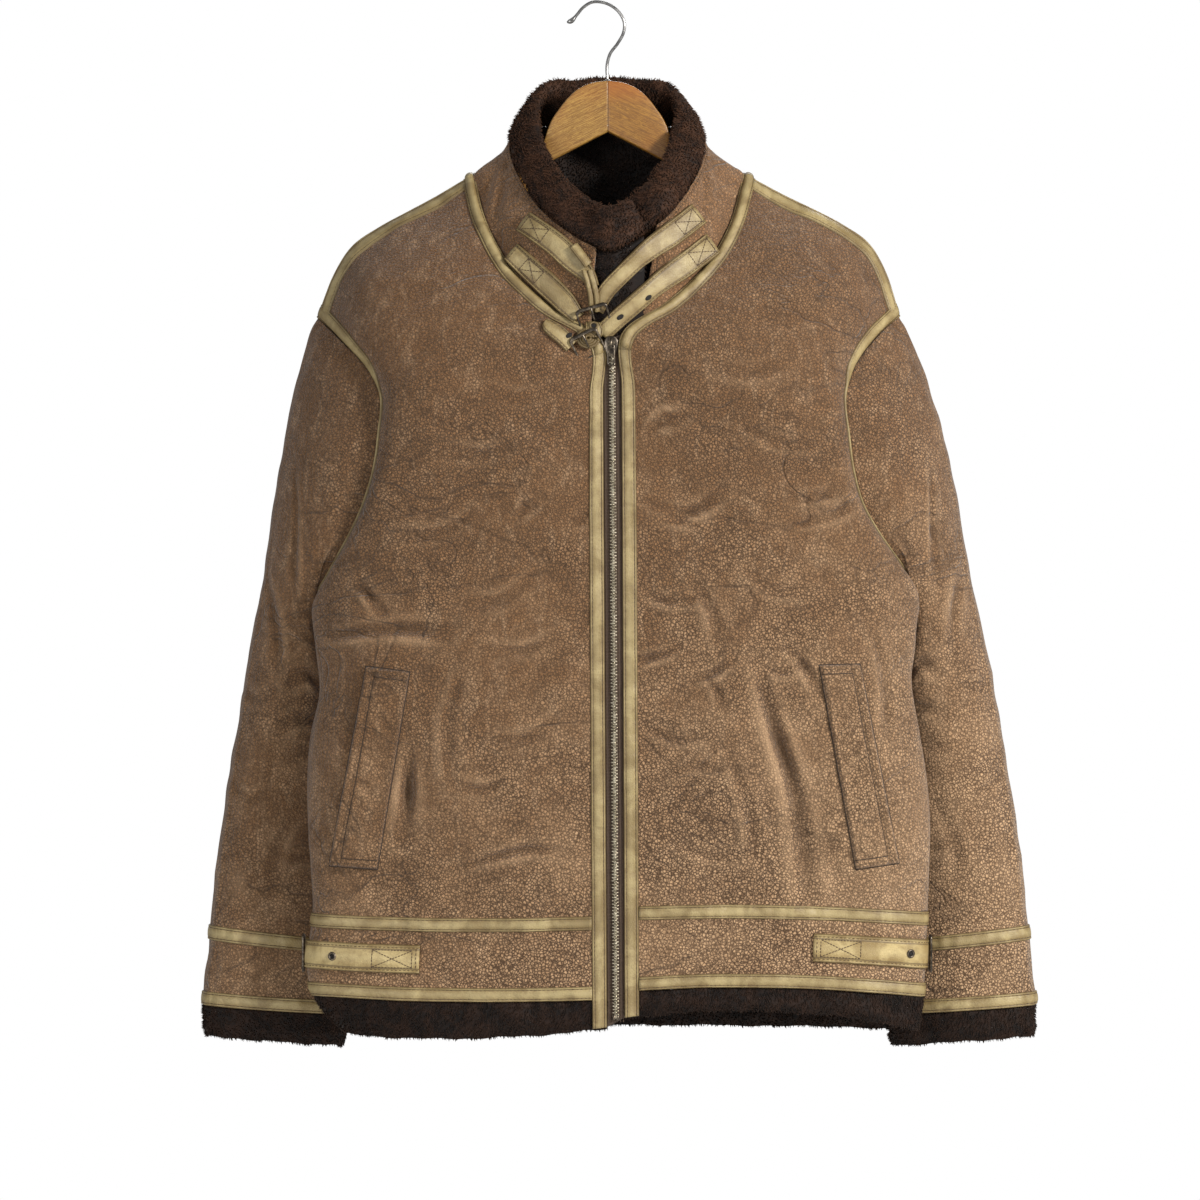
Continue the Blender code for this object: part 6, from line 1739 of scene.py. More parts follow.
def build_collar_hardware(ground):
    laid_straps = {}
    # each strap's seed, its width along it, and where its stitched box starts and ends
    straps = {"collar_strap_right_upper": (4.0, [(0, 1.0), (0.3, 1.0), (0.55, 0.75), (1, 0.7)], (3.0, 24.0)),
              "collar_strap_right_lower": (3.0, [(0, 1.0), (0.3, 1.0), (0.55, 0.8), (1, 0.78)], (3.0, 24.0)),
              "collar_strap_left_upper": (2.0, [(0, 0.95), (0.55, 1.0), (0.8, 0.8), (1, 0.42)], (3.0, 26.0)),
              "collar_strap_left_lower": (1.0, [(0, 0.86), (0.5, 1.0), (0.8, 0.92), (1, 0.6)], (16.0, 34.0))}
    for name, (seed, taper, box) in straps.items():
        grid, normal = laid_grid(ground, STRAPS[name], STRAP_WIDTH, widths=taper)
        laid = strip(f"{name}_leather", grid, normal, STRAP_PROFILE, seed=seed, lean=0.5)
        record_piece(laid.item, name, "tan_leather")
        stitch_strip(laid, (STRAP_STITCH_IN, 1 - STRAP_STITCH_IN))
        stitch_line(laid.grid[1, 3:-3], laid.normal[1, 3:-3])
        stitched_cross(laid, *box, 0.17, 0.83)
        laid_straps[name] = laid
        ground.add(laid.item)
    grid, normal = laid_grid(ground, STRAP_KEEPER, 7.5, step=1.0)
    keeper = strip("strap_keeper_loop", grid, normal, [(0, 0.3), (0.05, 1.5), (0.2, 2.1), (0.5, 2.3),
                                                       (0.8, 2.1),
                                                       (0.95, 1.5), (1, 0.3)], seed=5.0)
    record_piece(keeper.item, "strap_keeper", "tan_leather")
    ground.add(keeper.item)
    strands = []
    for shift, wide in ((-2.6, 4.2), (2.2, 4.6)):
        path = [Point(p.x + shift, p.drop) for p in STRAP_STRAND]
        grid, normal = laid_grid(ground, path, wide, step=1.5)
        laid = strip("strap_strand", grid, normal, [(0, 0.3), (0.08, 1.3), (0.3, 1.8), (0.7, 1.8),
                                                    (0.92, 1.3), (1, 0.3)],
                     seed=6.0 + shift)
        strands.append(laid.item)
    record_piece(joined("strap_strands", *strands), None, "tan_leather")
    ground.add(bpy.data.objects["strap_strands"])

    curl = []
    turn = np.linspace(0.1, 2 * np.pi - 0.25, 40)
    cx, drop = STRAP_CURL
    under = (ground.front(cx + 5 * math.cos(a), drop - 5 * math.sin(a)) for a in turn[::6])
    depth = min(y for y in under if y is not None)
    for radius, rise in ((8.6, 0.6), (6.4, 1.5), (4.2, 2.3), (2.2, 2.9)):
        path = [(cx + radius * math.cos(a), depth - 1.2 - rise + 0.9 * math.sin(a),
                 -drop + 0.86 * radius * math.sin(a)) for a in turn]
        curl.append(tube("curl", path, 1.25, 10, "tan_leather", squash=1.35))
    record_piece(joined("strap_curl", *curl), None, "tan_leather")
    for name, path, width, shape in (
            ("strap_tip", STRAP_TIP, 15.0, [(0, 0.8), (0.5, 1.0), (0.85, 0.9), (1, 0.62)]),
            ("strap_tail", STRAP_TAIL, 13.0, [(0, 0.45), (0.12, 0.85), (0.4, 1.0), (1, 0.95)])):
        grid, normal = laid_grid(ground, path, width, step=1.0, widths=shape)
        laid = strip(f"{name}_leather", grid, normal, STRAP_PROFILE, seed=7.0)
        record_piece(laid.item, name, "tan_leather")
        stitch_strip(laid, (STRAP_STITCH_IN, 1 - STRAP_STITCH_IN))
        laid_straps[name] = laid
        ground.add(laid.item)
    for name, (x, drop, width, height, tilt) in BUCKLES.items():
        turn = math.radians(tilt)
        local = rounded_frame(width, height, BUCKLE_CORNER)
        flat = [(u * math.cos(turn) - v * math.sin(turn), u * math.sin(turn) + v * math.cos(turn)) for u,
                v in local]
        reach = [ground.front(x + u, drop - v, BUCKLE_WIRE) for u, v in flat]
        front = min(y for y in reach if y is not None) - BUCKLE_WIRE - 0.1
        sunk = [front + 0.1 + 8.0 * float(smooth((height * 0.3 - v) / (height * 0.5))) for _, v in local]
        stout = [0.85 + 0.75 * float(smooth((v - height * 0.3) / (height * 0.12))) for _, v in local]
        frame = tube(f"{name}_frame", [(x + u, y, -drop + v) for (u, v), y in zip(flat, sunk)], stout, 12,
                     "gunmetal", loop=True)
        prong = [(x - math.sin(turn) * height * (0.5 - 0.62 * t),
                  front - 0.6 - 0.4 * math.sin(math.pi * t) + 3.0 * t * t,
                  -drop + math.cos(turn) * height * (0.5 - 0.62 * t)) for t in np.linspace(0, 1, 13)]
        tongue = tube(f"{name}_tongue", prong, 0.75, 10, "gunmetal")
        record_piece(joined(f"{name}_metal", frame, tongue), name, "gunmetal")
    holes = []
    # Punched holes of the straps are dark discs of painted shade
    for strap, x, drop in STRAP_HOLES:
        at, up = on_strip(laid_straps[strap], x, drop)
        holes.append(dark_hole("hole", at, up, 3.1, 1.9, HOLE_TILT))
    at, up = on_strip(laid_straps["strap_tip"], -2.0, 271.5)
    holes.append(dark_hole("hole", at, up, 2.4, 2.0, 0.0))
    ring = holed("ring", at, up, 3.0, "tan_leather", 0.9)
    record_piece(joined("strap_holes", *holes), None, "gunmetal")
    record_piece(joined("strap_tip_eyelet", ring), None, "tan_leather")


def build_side_metal(marks):
    metal = []
    discs = []
    wire = 2 * BUCKLE_WIRE
    for name, at, up in marks:
        metal.append(holed("eyelet", at, up, 2.7, "gunmetal", 1.0))
        # A dark disc of painted shade inside each eyelet
        discs.append(dark_hole("eyelet_hole", at, up, 2.0, 2.0, 0.0))
        low, high = (np.array(corner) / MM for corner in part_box(f"side_buckle_{name}"))
        middle = (low + high) / 2
        width, height = high[1] - low[1], high[2] - low[2]
        flat = rounded_frame(width - wire, height - wire, 2.5)
        frame = tube(f"side_buckle_{name}_frame", [(middle[0], middle[1] + u, middle[2] + v) for u,
                                                   v in flat],
                     BUCKLE_WIRE, 12, "gunmetal", loop=True)
        rise = np.linspace(wire - height / 2, height / 2 - wire, 9)
        bar = tube(f"side_buckle_{name}_bar", [(middle[0], middle[1], middle[2] + v) for v in rise], 0.9, 10,
                   "gunmetal")
        record_piece(joined(f"side_buckle_{name}_metal", frame, bar), f"side_buckle_{name}", "gunmetal")
    record_piece(joined("side_eyelets", *metal), None, "gunmetal")
    record_piece(joined("side_eyelet_holes", *discs), None, "gunmetal")


def build_hanger(cloths):
    """Two arms mitred at the middle, their edges bevelled, and the bent wire hook."""
    over = Ground()
    over.add(*cloths)
    shape = [(-0.78, -1), (0.78, -1), (1, -0.86), (1, 0.8), (0.8, 1), (-0.8, 1), (-1, 0.8), (-1, -0.86)]
    for side, name in ((-1, "left"), (1, "right")):
        rows = []
        for arm in ARM_SECTIONS:
            top, bottom = arm.top, arm.bottom
            if top is None:
                x = HANGER_MIDDLE + side * (arm.out + MITRE)
                up = Vector((0, 0, 1))
                found = [over.tree.ray_cast(Vector((x, y, -250.0)), up)[0] for y in (-5.5, 0.0, 5.5)]
                top = max(-hit.z for hit in found if hit) + GAP + 0.4
                bottom = top + arm.bottom
            rows.append((arm.out + MITRE, top, bottom))
        rows = np.array(rows)
        at = np.concatenate([np.linspace(rows[0, 0], 54, 30), np.linspace(57, rows[-1, 0], 24)])
        fine = spline(rows[:, 0], rows[:, 1:], at)
        sections = []
        for index, (out, (top, bottom)) in enumerate(zip(at, fine)):
            middle, half = -(top + bottom) / 2, (bottom - top) / 2
            small = 1.0 if index < len(at) - 3 else (0.96, 0.86, 0.62)[index - len(at) + 3]
            ring = []
            for v, u in shape:
                edge = 1.3 / max(half, 1.0)
                height = math.copysign(1 - edge * (1 if abs(v) > 0.9 else 0), u) if abs(u) < 0.9 else u
                ring.append((HANGER_MIDDLE + side * out, v * ARM_THICK / 2 * small,
                             middle + height * half * small))
            sections.append(ring)
        item = loft(f"hanger_arm_{name}_wood", sections, f"wood_{name}")
        bevel = item.modifiers.new("soft_edges", "BEVEL")
        bevel.width, bevel.segments, bevel.limit_method, bevel.angle_limit = 0.0006, 2, "ANGLE", 0.6
        record_piece(item, f"hanger_arm_{name}", "wood")
    wire = through([(x, 0.0, -drop) for x, drop in HOOK_PATH], count=90)
    radii = np.full(len(wire), HOOK_WIRE / 2)
    radii[-7:] = [1.5, 1.8, 2.05, 2.15, 2.05, 1.6, 0.7]
    bent = tube("hook_wire", wire, radii, 16, "steel")
    collar = [(wire[0][0], 0.0, z) for z in (-65.2, -64.4, -63.8, -63.2)]
    foot = tube("hook_collar", collar, [3.0, 3.0, 2.7, 1.6], 16, "steel")
    record_piece(joined("hanger_hook_wire", bent, foot), "hanger_hook", "steel")


class Value:
    """A number that runs through a material. Operators on it add Math nodes."""

    def __init__(self, paint, socket):
        self.paint, self.socket = paint, socket

    def _math(self, operation, *values):
        return self.paint.node("ShaderNodeMath", {"operation": operation}, dict(enumerate(values)))

    def __add__(self, other):
        return self._math("ADD", self, other)

    def __radd__(self, other):
        return self._math("ADD", other, self)

    def __sub__(self, other):
        return self._math("SUBTRACT", self, other)

    def __rsub__(self, other):
        return self._math("SUBTRACT", other, self)

    def __mul__(self, other):
        return self._math("MULTIPLY", self, other)

    def __abs__(self):
        return self._math("ABSOLUTE", self)

    def clamp(self):
        return self._math("MAXIMUM", self._math("MINIMUM", self, 1.0), 0.0)

    def sine(self):
        return self._math("SINE", self)

    def between(self, low, high):
        """0 below low, 1 above high and smooth between them."""
        return self.paint.node("ShaderNodeMapRange", {"interpolation_type": "SMOOTHSTEP"},
                               {"Value": self, "From Min": low, "From Max": high, "To Min": 0.0,
                                "To Max": 1.0})


class Paint:
    """A node material in the making."""

    def __init__(self, name):
        self.material = bpy.data.materials.new(name)
        self.material.use_nodes = True
        self.tree = self.material.node_tree
        self.tree.nodes.clear()

    def node(self, kind, settings=None, values=None, out=0):
        made = self.tree.nodes.new(kind)
        for key, value in (settings or {}).items():
            setattr(made, key, value)
        for key, value in (values or {}).items():
            if isinstance(value, Value):
                self.tree.links.new(value.socket, made.inputs[key])
            else:
                made.inputs[key].default_value = value
        return Value(self, made.outputs[out])

    def place(self):
        return self.node("ShaderNodeTexCoord", out="Object")

    def mapped(self, place, turn=(0, 0, 0), scale=(1, 1, 1), shift=(0, 0, 0)):
        return self.node("ShaderNodeMapping", {}, {"Vector": place, "Rotation": turn, "Scale": scale,
                                                   "Location": shift})

    def mark(self, name):
        return self.node("ShaderNodeAttribute", {"attribute_name": name}, out="Fac")

    def noise(self, place, scale, detail=3.0, rough=0.55, distortion=0.0):
        return self.node("ShaderNodeTexNoise", {}, {"Vector": place, "Scale": scale, "Detail": detail,
                                                     "Roughness": rough, "Distortion": distortion})

    def cells(self, place, scale, feature="F1", random=1.0):
        return self.node("ShaderNodeTexVoronoi", {"feature": feature},
                         {"Vector": place, "Scale": scale, "Randomness": random})

    def blend(self, factor, first, second):
        made = self.tree.nodes.new("ShaderNodeMix")
        made.data_type = "RGBA"
        for index, value in ((0, factor), (6, first), (7, second)):
            if isinstance(value, Value):
                self.tree.links.new(value.socket, made.inputs[index])
            elif index == 0:
                made.inputs[index].default_value = value
            else:
                made.inputs[index].default_value = (*value, 1.0)
        return Value(self, made.outputs[2])

    def bump(self, height, strength, distance, under=None):
        values = {"Height": height, "Strength": strength, "Distance": distance}
        if under is not None:
            values["Normal"] = under
        return self.node("ShaderNodeBump", {}, values)

    def finish(self, colour, roughness, normal=None, metallic=0.0, **constants):
        values = {"Base Color": colour if isinstance(colour, Value) else (*colour, 1.0),
                  "Roughness": roughness, "Metallic": metallic}
        if normal is not None:
            values["Normal"] = normal
        for key, value in constants.items():
            values[key.replace("_", " ")] = value
        shader = self.node("ShaderNodeBsdfPrincipled", {}, values)
        out = self.tree.nodes.new("ShaderNodeOutputMaterial")
        self.tree.links.new(shader.socket, out.inputs["Surface"])
        return self.material


def times(colour, gain):
    """A colour scaled by a number, or by one number for each channel."""
    return tuple(c * g for c, g in zip(colour, gain if isinstance(gain, tuple) else (gain,) * 3))


def suede_finish(name, dark, light, warm):
    """Pebbled suede: small raised cells with shade painted into the creases between them, rubbed in soft
    patches.
    """
    p = Paint(name)
    place = p.place()
    warped = p.node("ShaderNodeVectorMath", {"operation": "ADD"}, {0: place, 1: p.node(
        "ShaderNodeVectorMath", {"operation": "SCALE"}, {0: p.node(
            "ShaderNodeTexNoise", {}, {"Vector": place, "Scale": 160.0, "Detail": 2.0}, out="Color"),
                                                         "Scale": 0.0022})})
    cell = p.cells(warped, 420.0)
    fine = p.cells(warped, 900.0)
    crease = p.cells(warped, 420.0, "DISTANCE_TO_EDGE")
    speck = p.noise(warped, 480.0, 2.0, 0.62).between(0.4, 0.63)
    bent = p.noise(p.mapped(place, scale=(0.8, 1.0, 1.25)), 12.0, 3.0, 0.5, 1.2)
    line = 1.0 - abs(bent - 0.5).between(0.0, 0.022)
    line = line * p.noise(place, 7.0, 2.0).between(0.44, 0.6)
    grain = p.noise(place, 1300.0, 3.0, 0.6)
    patch = p.noise(place, 9.0, 4.0, 0.6, 0.6).between(0.36, 0.66)
    cloud = p.noise(place, 34.0, 5.0, 0.62, 0.4).between(0.34, 0.68)
    rubbed = p.noise(p.mapped(place, scale=(1, 1, 0.45)), 90.0, 4.0, 0.65, 0.8).between(0.46, 0.72)
    pebble = (1.0 - crease.between(0.0, 0.24)) * 0.85 + cell.between(0.15, 0.62) * 0.35
    spot = p.node("ShaderNodeSeparateXYZ", {}, {"Vector": place}, out="Z")
    across = p.node("ShaderNodeSeparateXYZ", {}, {"Vector": place}, out="X")
    # Painted light: a gradient from the top and left of the jacket (low) to its bottom and right (high)
    fade = (spot * -1.0 + across * 0.6 + 0.02 + (cloud - 0.5) * 0.16).clamp()
    fold = p.mark("fold")
    colour = p.blend(cloud * 0.45 + patch * 0.35, dark, light)
    # Painted light: darker and browner towards the top and left, lighter and warmer towards the bottom and
    # right
    colour = p.blend(fade, times(dark, (0.68, 0.59, 0.46)), colour)
    colour = p.blend(((fade - 0.5) * 1.8).clamp(), colour, warm)
    colour = p.blend(rubbed * 0.42, colour, warm)
    # Painted shade in the creases between the pebbles, darkest at the cell edges
    colour = p.blend((pebble * (0.62 + patch * 0.3)).clamp(), colour, times(dark, 0.24))
    colour = p.blend(grain.between(0.5, 0.72) * 0.34, colour, tuple(min(1.0, c * 1.5) for c in light))
    colour = p.blend(speck * 0.5, colour, times(dark, 0.34))
    # Painted shade along the fine wrinkle lines and in the crease troughs given by the fold mark
    colour = p.blend((line * 0.55 + fold * 0.15).clamp() * 0.85, colour, times(dark, 0.3))
    # Painted highlight on the crease ridges, where the fold mark is negative
    colour = p.blend((fold * -0.16).clamp(), colour, warm)
    height = line * -2.6 + speck * -0.5 + crease.between(0.0,
                                                         0.2) * 0.8 - cell * 0.3 + fine * 0.15 + grain * 0.35
    waves = p.noise(place, 70.0, 4.0, 0.6, 0.5)
    normal = p.bump(height, 0.8, 0.0007, p.bump(waves, 0.5, 0.0022))
    return p.finish(colour, 0.86 - rubbed * 0.13, normal, Sheen_Weight=0.18, Sheen_Roughness=0.45,
                    Specular_IOR_Level=0.32)


def tan_finish(name, gain):
    """Smooth tan leather, with yellower, darker shade painted into its creases and along its stitching."""
    p = Paint(name)
    place = p.place()
    across = p.mark("across")
    cell = p.cells(place, 520.0, "DISTANCE_TO_EDGE")
    wrinkle = p.noise(p.mapped(place, scale=(1.0, 1.0, 1.6)), 210.0, 4.0, 0.62, 1.1)
    patch = p.noise(place, 46.0, 4.0, 0.6, 0.5)
    from_edge = 0.5 - abs(across - 0.5)
    stitch = 1.0 - abs(from_edge - 0.165).between(0.0, 0.05)
    edge = 1.0 - from_edge.between(0.015, 0.10)
    crown = from_edge.between(0.2, 0.5)
    colour = p.blend(patch.between(0.34, 0.7), times((0.195, 0.130, 0.044), gain),
                     times((0.37, 0.278, 0.120), gain))
    # Painted shade in the wrinkles, where the bump presses the leather in
    colour = p.blend(wrinkle.between(0.5, 0.72) * 0.5, colour, (0.17, 0.105, 0.042))
    # Painted highlight along the raised middle of the tape
    colour = p.blend(crown * 0.5 * patch, colour, times((0.52, 0.42, 0.22), gain))
    # Painted shade in the groove of the stitching
    colour = p.blend(stitch * 0.72, colour, (0.07, 0.04, 0.014))
    # Painted shade along the edges, where the tape turns down to the cloth
    colour = p.blend(edge * 0.75, colour, (0.095, 0.058, 0.018))
    height = wrinkle * -0.7 + cell.between(0.0, 0.22) * 0.35
    normal = p.bump(height, 0.5, 0.0007, p.bump(patch, 0.3, 0.002))
    return p.finish(colour, 0.42 + wrinkle * 0.2, normal, Specular_IOR_Level=0.5, Coat_Weight=0.12,
                    Coat_Roughness=0.4)


def fur_finish(name, gain):
    """Dark brown pile with lighter tips."""
    p = Paint(name)
    place = p.place()
    clump = p.noise(place, 85.0, 4.0, 0.65, 0.8)
    fine = p.noise(place, 420.0, 3.0, 0.6)
    tip = p.mark("tip")
    colour = p.blend(clump.between(0.35, 0.66), times((0.0090, 0.0037, 0.0017), gain),
                     times((0.046, 0.0185, 0.0080), gain))
    colour = p.blend((tip.between(0.45, 1.0) * (0.3 + clump * 0.75)).clamp(), colour,
                     times((0.150, 0.060, 0.026), gain))
    colour = p.blend(fine.between(0.55, 0.75) * tip * 0.45, colour, times((0.22, 0.110, 0.055), gain))
    return p.finish(colour, 0.72, p.bump(fine, 0.4, 0.0008), Specular_IOR_Level=0.25, Sheen_Weight=0.12,
                    Sheen_Roughness=0.4, Sheen_Tint=(0.45, 0.28, 0.18, 1.0))


def wood_finish(name, side):
    """Varnished pine: its grain slopes down to the outer end of each arm."""
    p = Paint(name)
    place = p.mapped(p.place(), turn=(0.0, side * math.radians(-25.0), 0.0), shift=(0.009 * side, 0.0, 0.0))
    stretched = p.mapped(place, scale=(1.0, 6.0, 14.0))
    ring = p.noise(stretched, 34.0, 4.0, 0.55, 1.6)
    fibre = p.noise(p.mapped(place, scale=(1.0, 10.0, 60.0)), 40.0, 3.0, 0.6, 0.3)
    lines = (ring * 46.0).sine() * 0.5 + 0.5
    glow = p.noise(p.place(), 22.0, 2.0, 0.5).between(0.42, 0.66)
    height = p.node("ShaderNodeSeparateXYZ", {}, {"Vector": p.place()}, out="Z")
    # Painted shade: the upper part of each arm, towards the hook
    crest = height.between(-0.088, -0.068)
    # Painted light: the left arm gets a lighter, yellower colour than the right one, as the light falls on
    # them
    light = (0.46, 0.262, 0.062) if side < 0 else (0.38, 0.186, 0.032)
    colour = p.blend(lines.between(0.2, 0.95) * 0.9, light, times(light, (0.50, 0.40, 0.26)))
    colour = p.blend(fibre.between(0.44, 0.64) * 0.8, colour, (0.150, 0.058, 0.012))
    # Painted shade near the top of the arms, strong on the right arm and slight on the left, mixed with random
    # patches
    colour = p.blend((crest * (0.5 if side > 0 else 0.1) + glow * 0.14).clamp(), colour, (0.36, 0.098, 0.012))
    return p.finish(colour, 0.36 + lines * 0.1, p.bump(fibre + lines * 0.5, 0.16, 0.0006), Coat_Weight=0.4,
                    Coat_Roughness=0.22)


def woven_finish():
    """Herringbone woven zip tape."""
    p = Paint("zip_cloth")
    across, run = p.mark("across"), p.mark("along")
    side = abs(across - 0.5)
    rib = (side * 190.0 + run * 3.9).sine() * (side * 190.0 - run * 3.9).sine()
    colour = p.blend(rib * 0.5 + 0.5, (0.040, 0.022, 0.013), (0.125, 0.076, 0.046))
    colour = p.blend(p.noise(p.place(), 160.0).between(0.4, 0.7) * 0.35, colour, (0.05, 0.03, 0.017))
    return p.finish(colour, 0.8, p.bump(rib, 0.6, 0.0004), Sheen_Weight=0.15)


def metal_finish(name, base, worn, rough):
    p = Paint(name)
    place = p.place()
    wear = p.noise(place, 240.0, 5.0, 0.65, 0.5).between(0.44, 0.66)
    scratch = p.noise(p.mapped(place, scale=(1, 1, 7)), 700.0, 3.0, 0.6)
    colour = p.blend(wear * 0.7, base, worn)
    return p.finish(colour, rough + wear * 0.12 + scratch * 0.08, p.bump(scratch, 0.12, 0.0002), metallic=1.0)


def thread_finish(name, dark, light):
    p = Paint(name)
    twist = p.noise(p.place(), 1500.0, 2.0, 0.5)
    colour = p.blend(twist.between(0.4, 0.6), dark, light)
    return p.finish(colour, 0.7, p.bump(twist, 0.5, 0.0002))


def hole_finish():
    # Near-black painted shade of a punched hole, mottled a little
    p = Paint("hole")
    shade_mottle = p.noise(p.place(), 300.0)
    return p.finish(p.blend(shade_mottle.between(0.4, 0.7), (0.006, 0.004, 0.003), (0.016, 0.011, 0.007)),
                    0.8 + shade_mottle * 0.1)


def make_finishes():
    FINISHES["suede"] = suede_finish("suede", (0.250, 0.130, 0.057), (0.420, 0.240, 0.118),
                                     (0.60, 0.385, 0.215))
    # A lighter copy of the suede for the collar: painted light, making up for the collar lying in the key
    # lamp's shade
    FINISHES["collar_suede"] = suede_finish("collar_suede", (0.37, 0.198, 0.090), (0.50, 0.290, 0.150),
                                            (0.60, 0.385, 0.225))
    FINISHES["tan_leather"] = tan_finish("tan_leather", 1.0)
    FINISHES["strap_leather"] = tan_finish("strap_leather", 1.35)
    # Near-black colour of the thin tubes that paint the shadows of the welts' seams
    FINISHES["seam"] = thread_finish("seam", (0.018, 0.009, 0.004), (0.040, 0.021, 0.010))
    FINISHES["dark_fur"] = fur_finish("dark_fur", 1.1)
    # The collar's lining is a far darker copy of the fur: darker fur with shade painted in, where it lies
    # inside the collar
    FINISHES["hem_fur"], FINISHES["lining_fur"] = fur_finish("hem_fur", 0.42), fur_finish("lining_fur", 0.25)
    FINISHES["wood_left"], FINISHES["wood_right"] = wood_finish("wood_left", -1), wood_finish("wood_right", 1)
    FINISHES["zip_cloth"] = woven_finish()
    FINISHES["gunmetal"] = metal_finish("gunmetal", (0.085, 0.070, 0.056), (0.34, 0.27, 0.19), 0.26)
    FINISHES["steel"] = metal_finish("steel", (0.30, 0.29, 0.28), (0.46, 0.45, 0.43), 0.22)
    FINISHES["tooth_metal"] = metal_finish("tooth_metal", (0.40, 0.34, 0.24), (0.86, 0.76, 0.58), 0.2)
    FINISHES["thread"] = thread_finish("thread", (0.040, 0.021, 0.010), (0.105, 0.062, 0.030))
    FINISHES["hole"] = hole_finish()


class Shaper:
    """A geometry node tree in the making, with named inputs for its sizes."""

    def __init__(self, name, inputs):
        self.tree = bpy.data.node_groups.new(name, "GeometryNodeTree")
        self.tree.interface.new_socket(name="Geometry", in_out="INPUT", socket_type="NodeSocketGeometry")
        for title, (kind, value) in inputs.items():
            socket = self.tree.interface.new_socket(name=title, in_out="INPUT", socket_type=kind)
            if value is not None:
                socket.default_value = value
        self.tree.interface.new_socket(name="Geometry", in_out="OUTPUT", socket_type="NodeSocketGeometry")
        self.start = self.tree.nodes.new("NodeGroupInput")
        self.end = self.tree.nodes.new("NodeGroupOutput")

    def given(self, name):
        return self.start.outputs[name]

    def node(self, kind, settings=None, values=None, out=0):
        made = self.tree.nodes.new(kind)
        for key, value in (settings or {}).items():
            setattr(made, key, value)
        for key, value in (values or {}).items():
            if isinstance(value, bpy.types.NodeSocket):
                self.tree.links.new(value, made.inputs[key])
            else:
                made.inputs[key].default_value = value
        return made.outputs[out]

    def finish(self, geometry, material):
        whole = self.node("GeometryNodeRealizeInstances", {}, {"Geometry": geometry})
        set_material = self.node("GeometryNodeSetMaterial", {}, {"Geometry": whole, "Material": material})
        self.tree.links.new(set_material, self.end.inputs["Geometry"])
        return self.tree


def shaped(name, base, tree, values, node, slot, keep_base=False):
    """The plain mesh that a node tree makes from a base object."""
    modifier = base.modifiers.new("shape", "NODES")
    modifier.node_group = tree
    for item in tree.interface.items_tree:
        if item.item_type == "SOCKET" and item.in_out == "INPUT" and item.name in values:
            modifier[item.identifier] = values[item.name]
    bpy.context.view_layer.update()
    depsgraph = bpy.context.evaluated_depsgraph_get()
    mesh = bpy.data.meshes.new_from_object(base.evaluated_get(depsgraph), depsgraph=depsgraph)
    base.modifiers.remove(modifier)
    mesh.name = name
    item = bpy.data.objects.new(name, mesh)
    bpy.context.scene.collection.objects.link(item)
    mesh.polygons.foreach_set("use_smooth", [True] * len(mesh.polygons))
    if not keep_base:
        bpy.data.objects.remove(base)
    record_piece(item, node, slot)


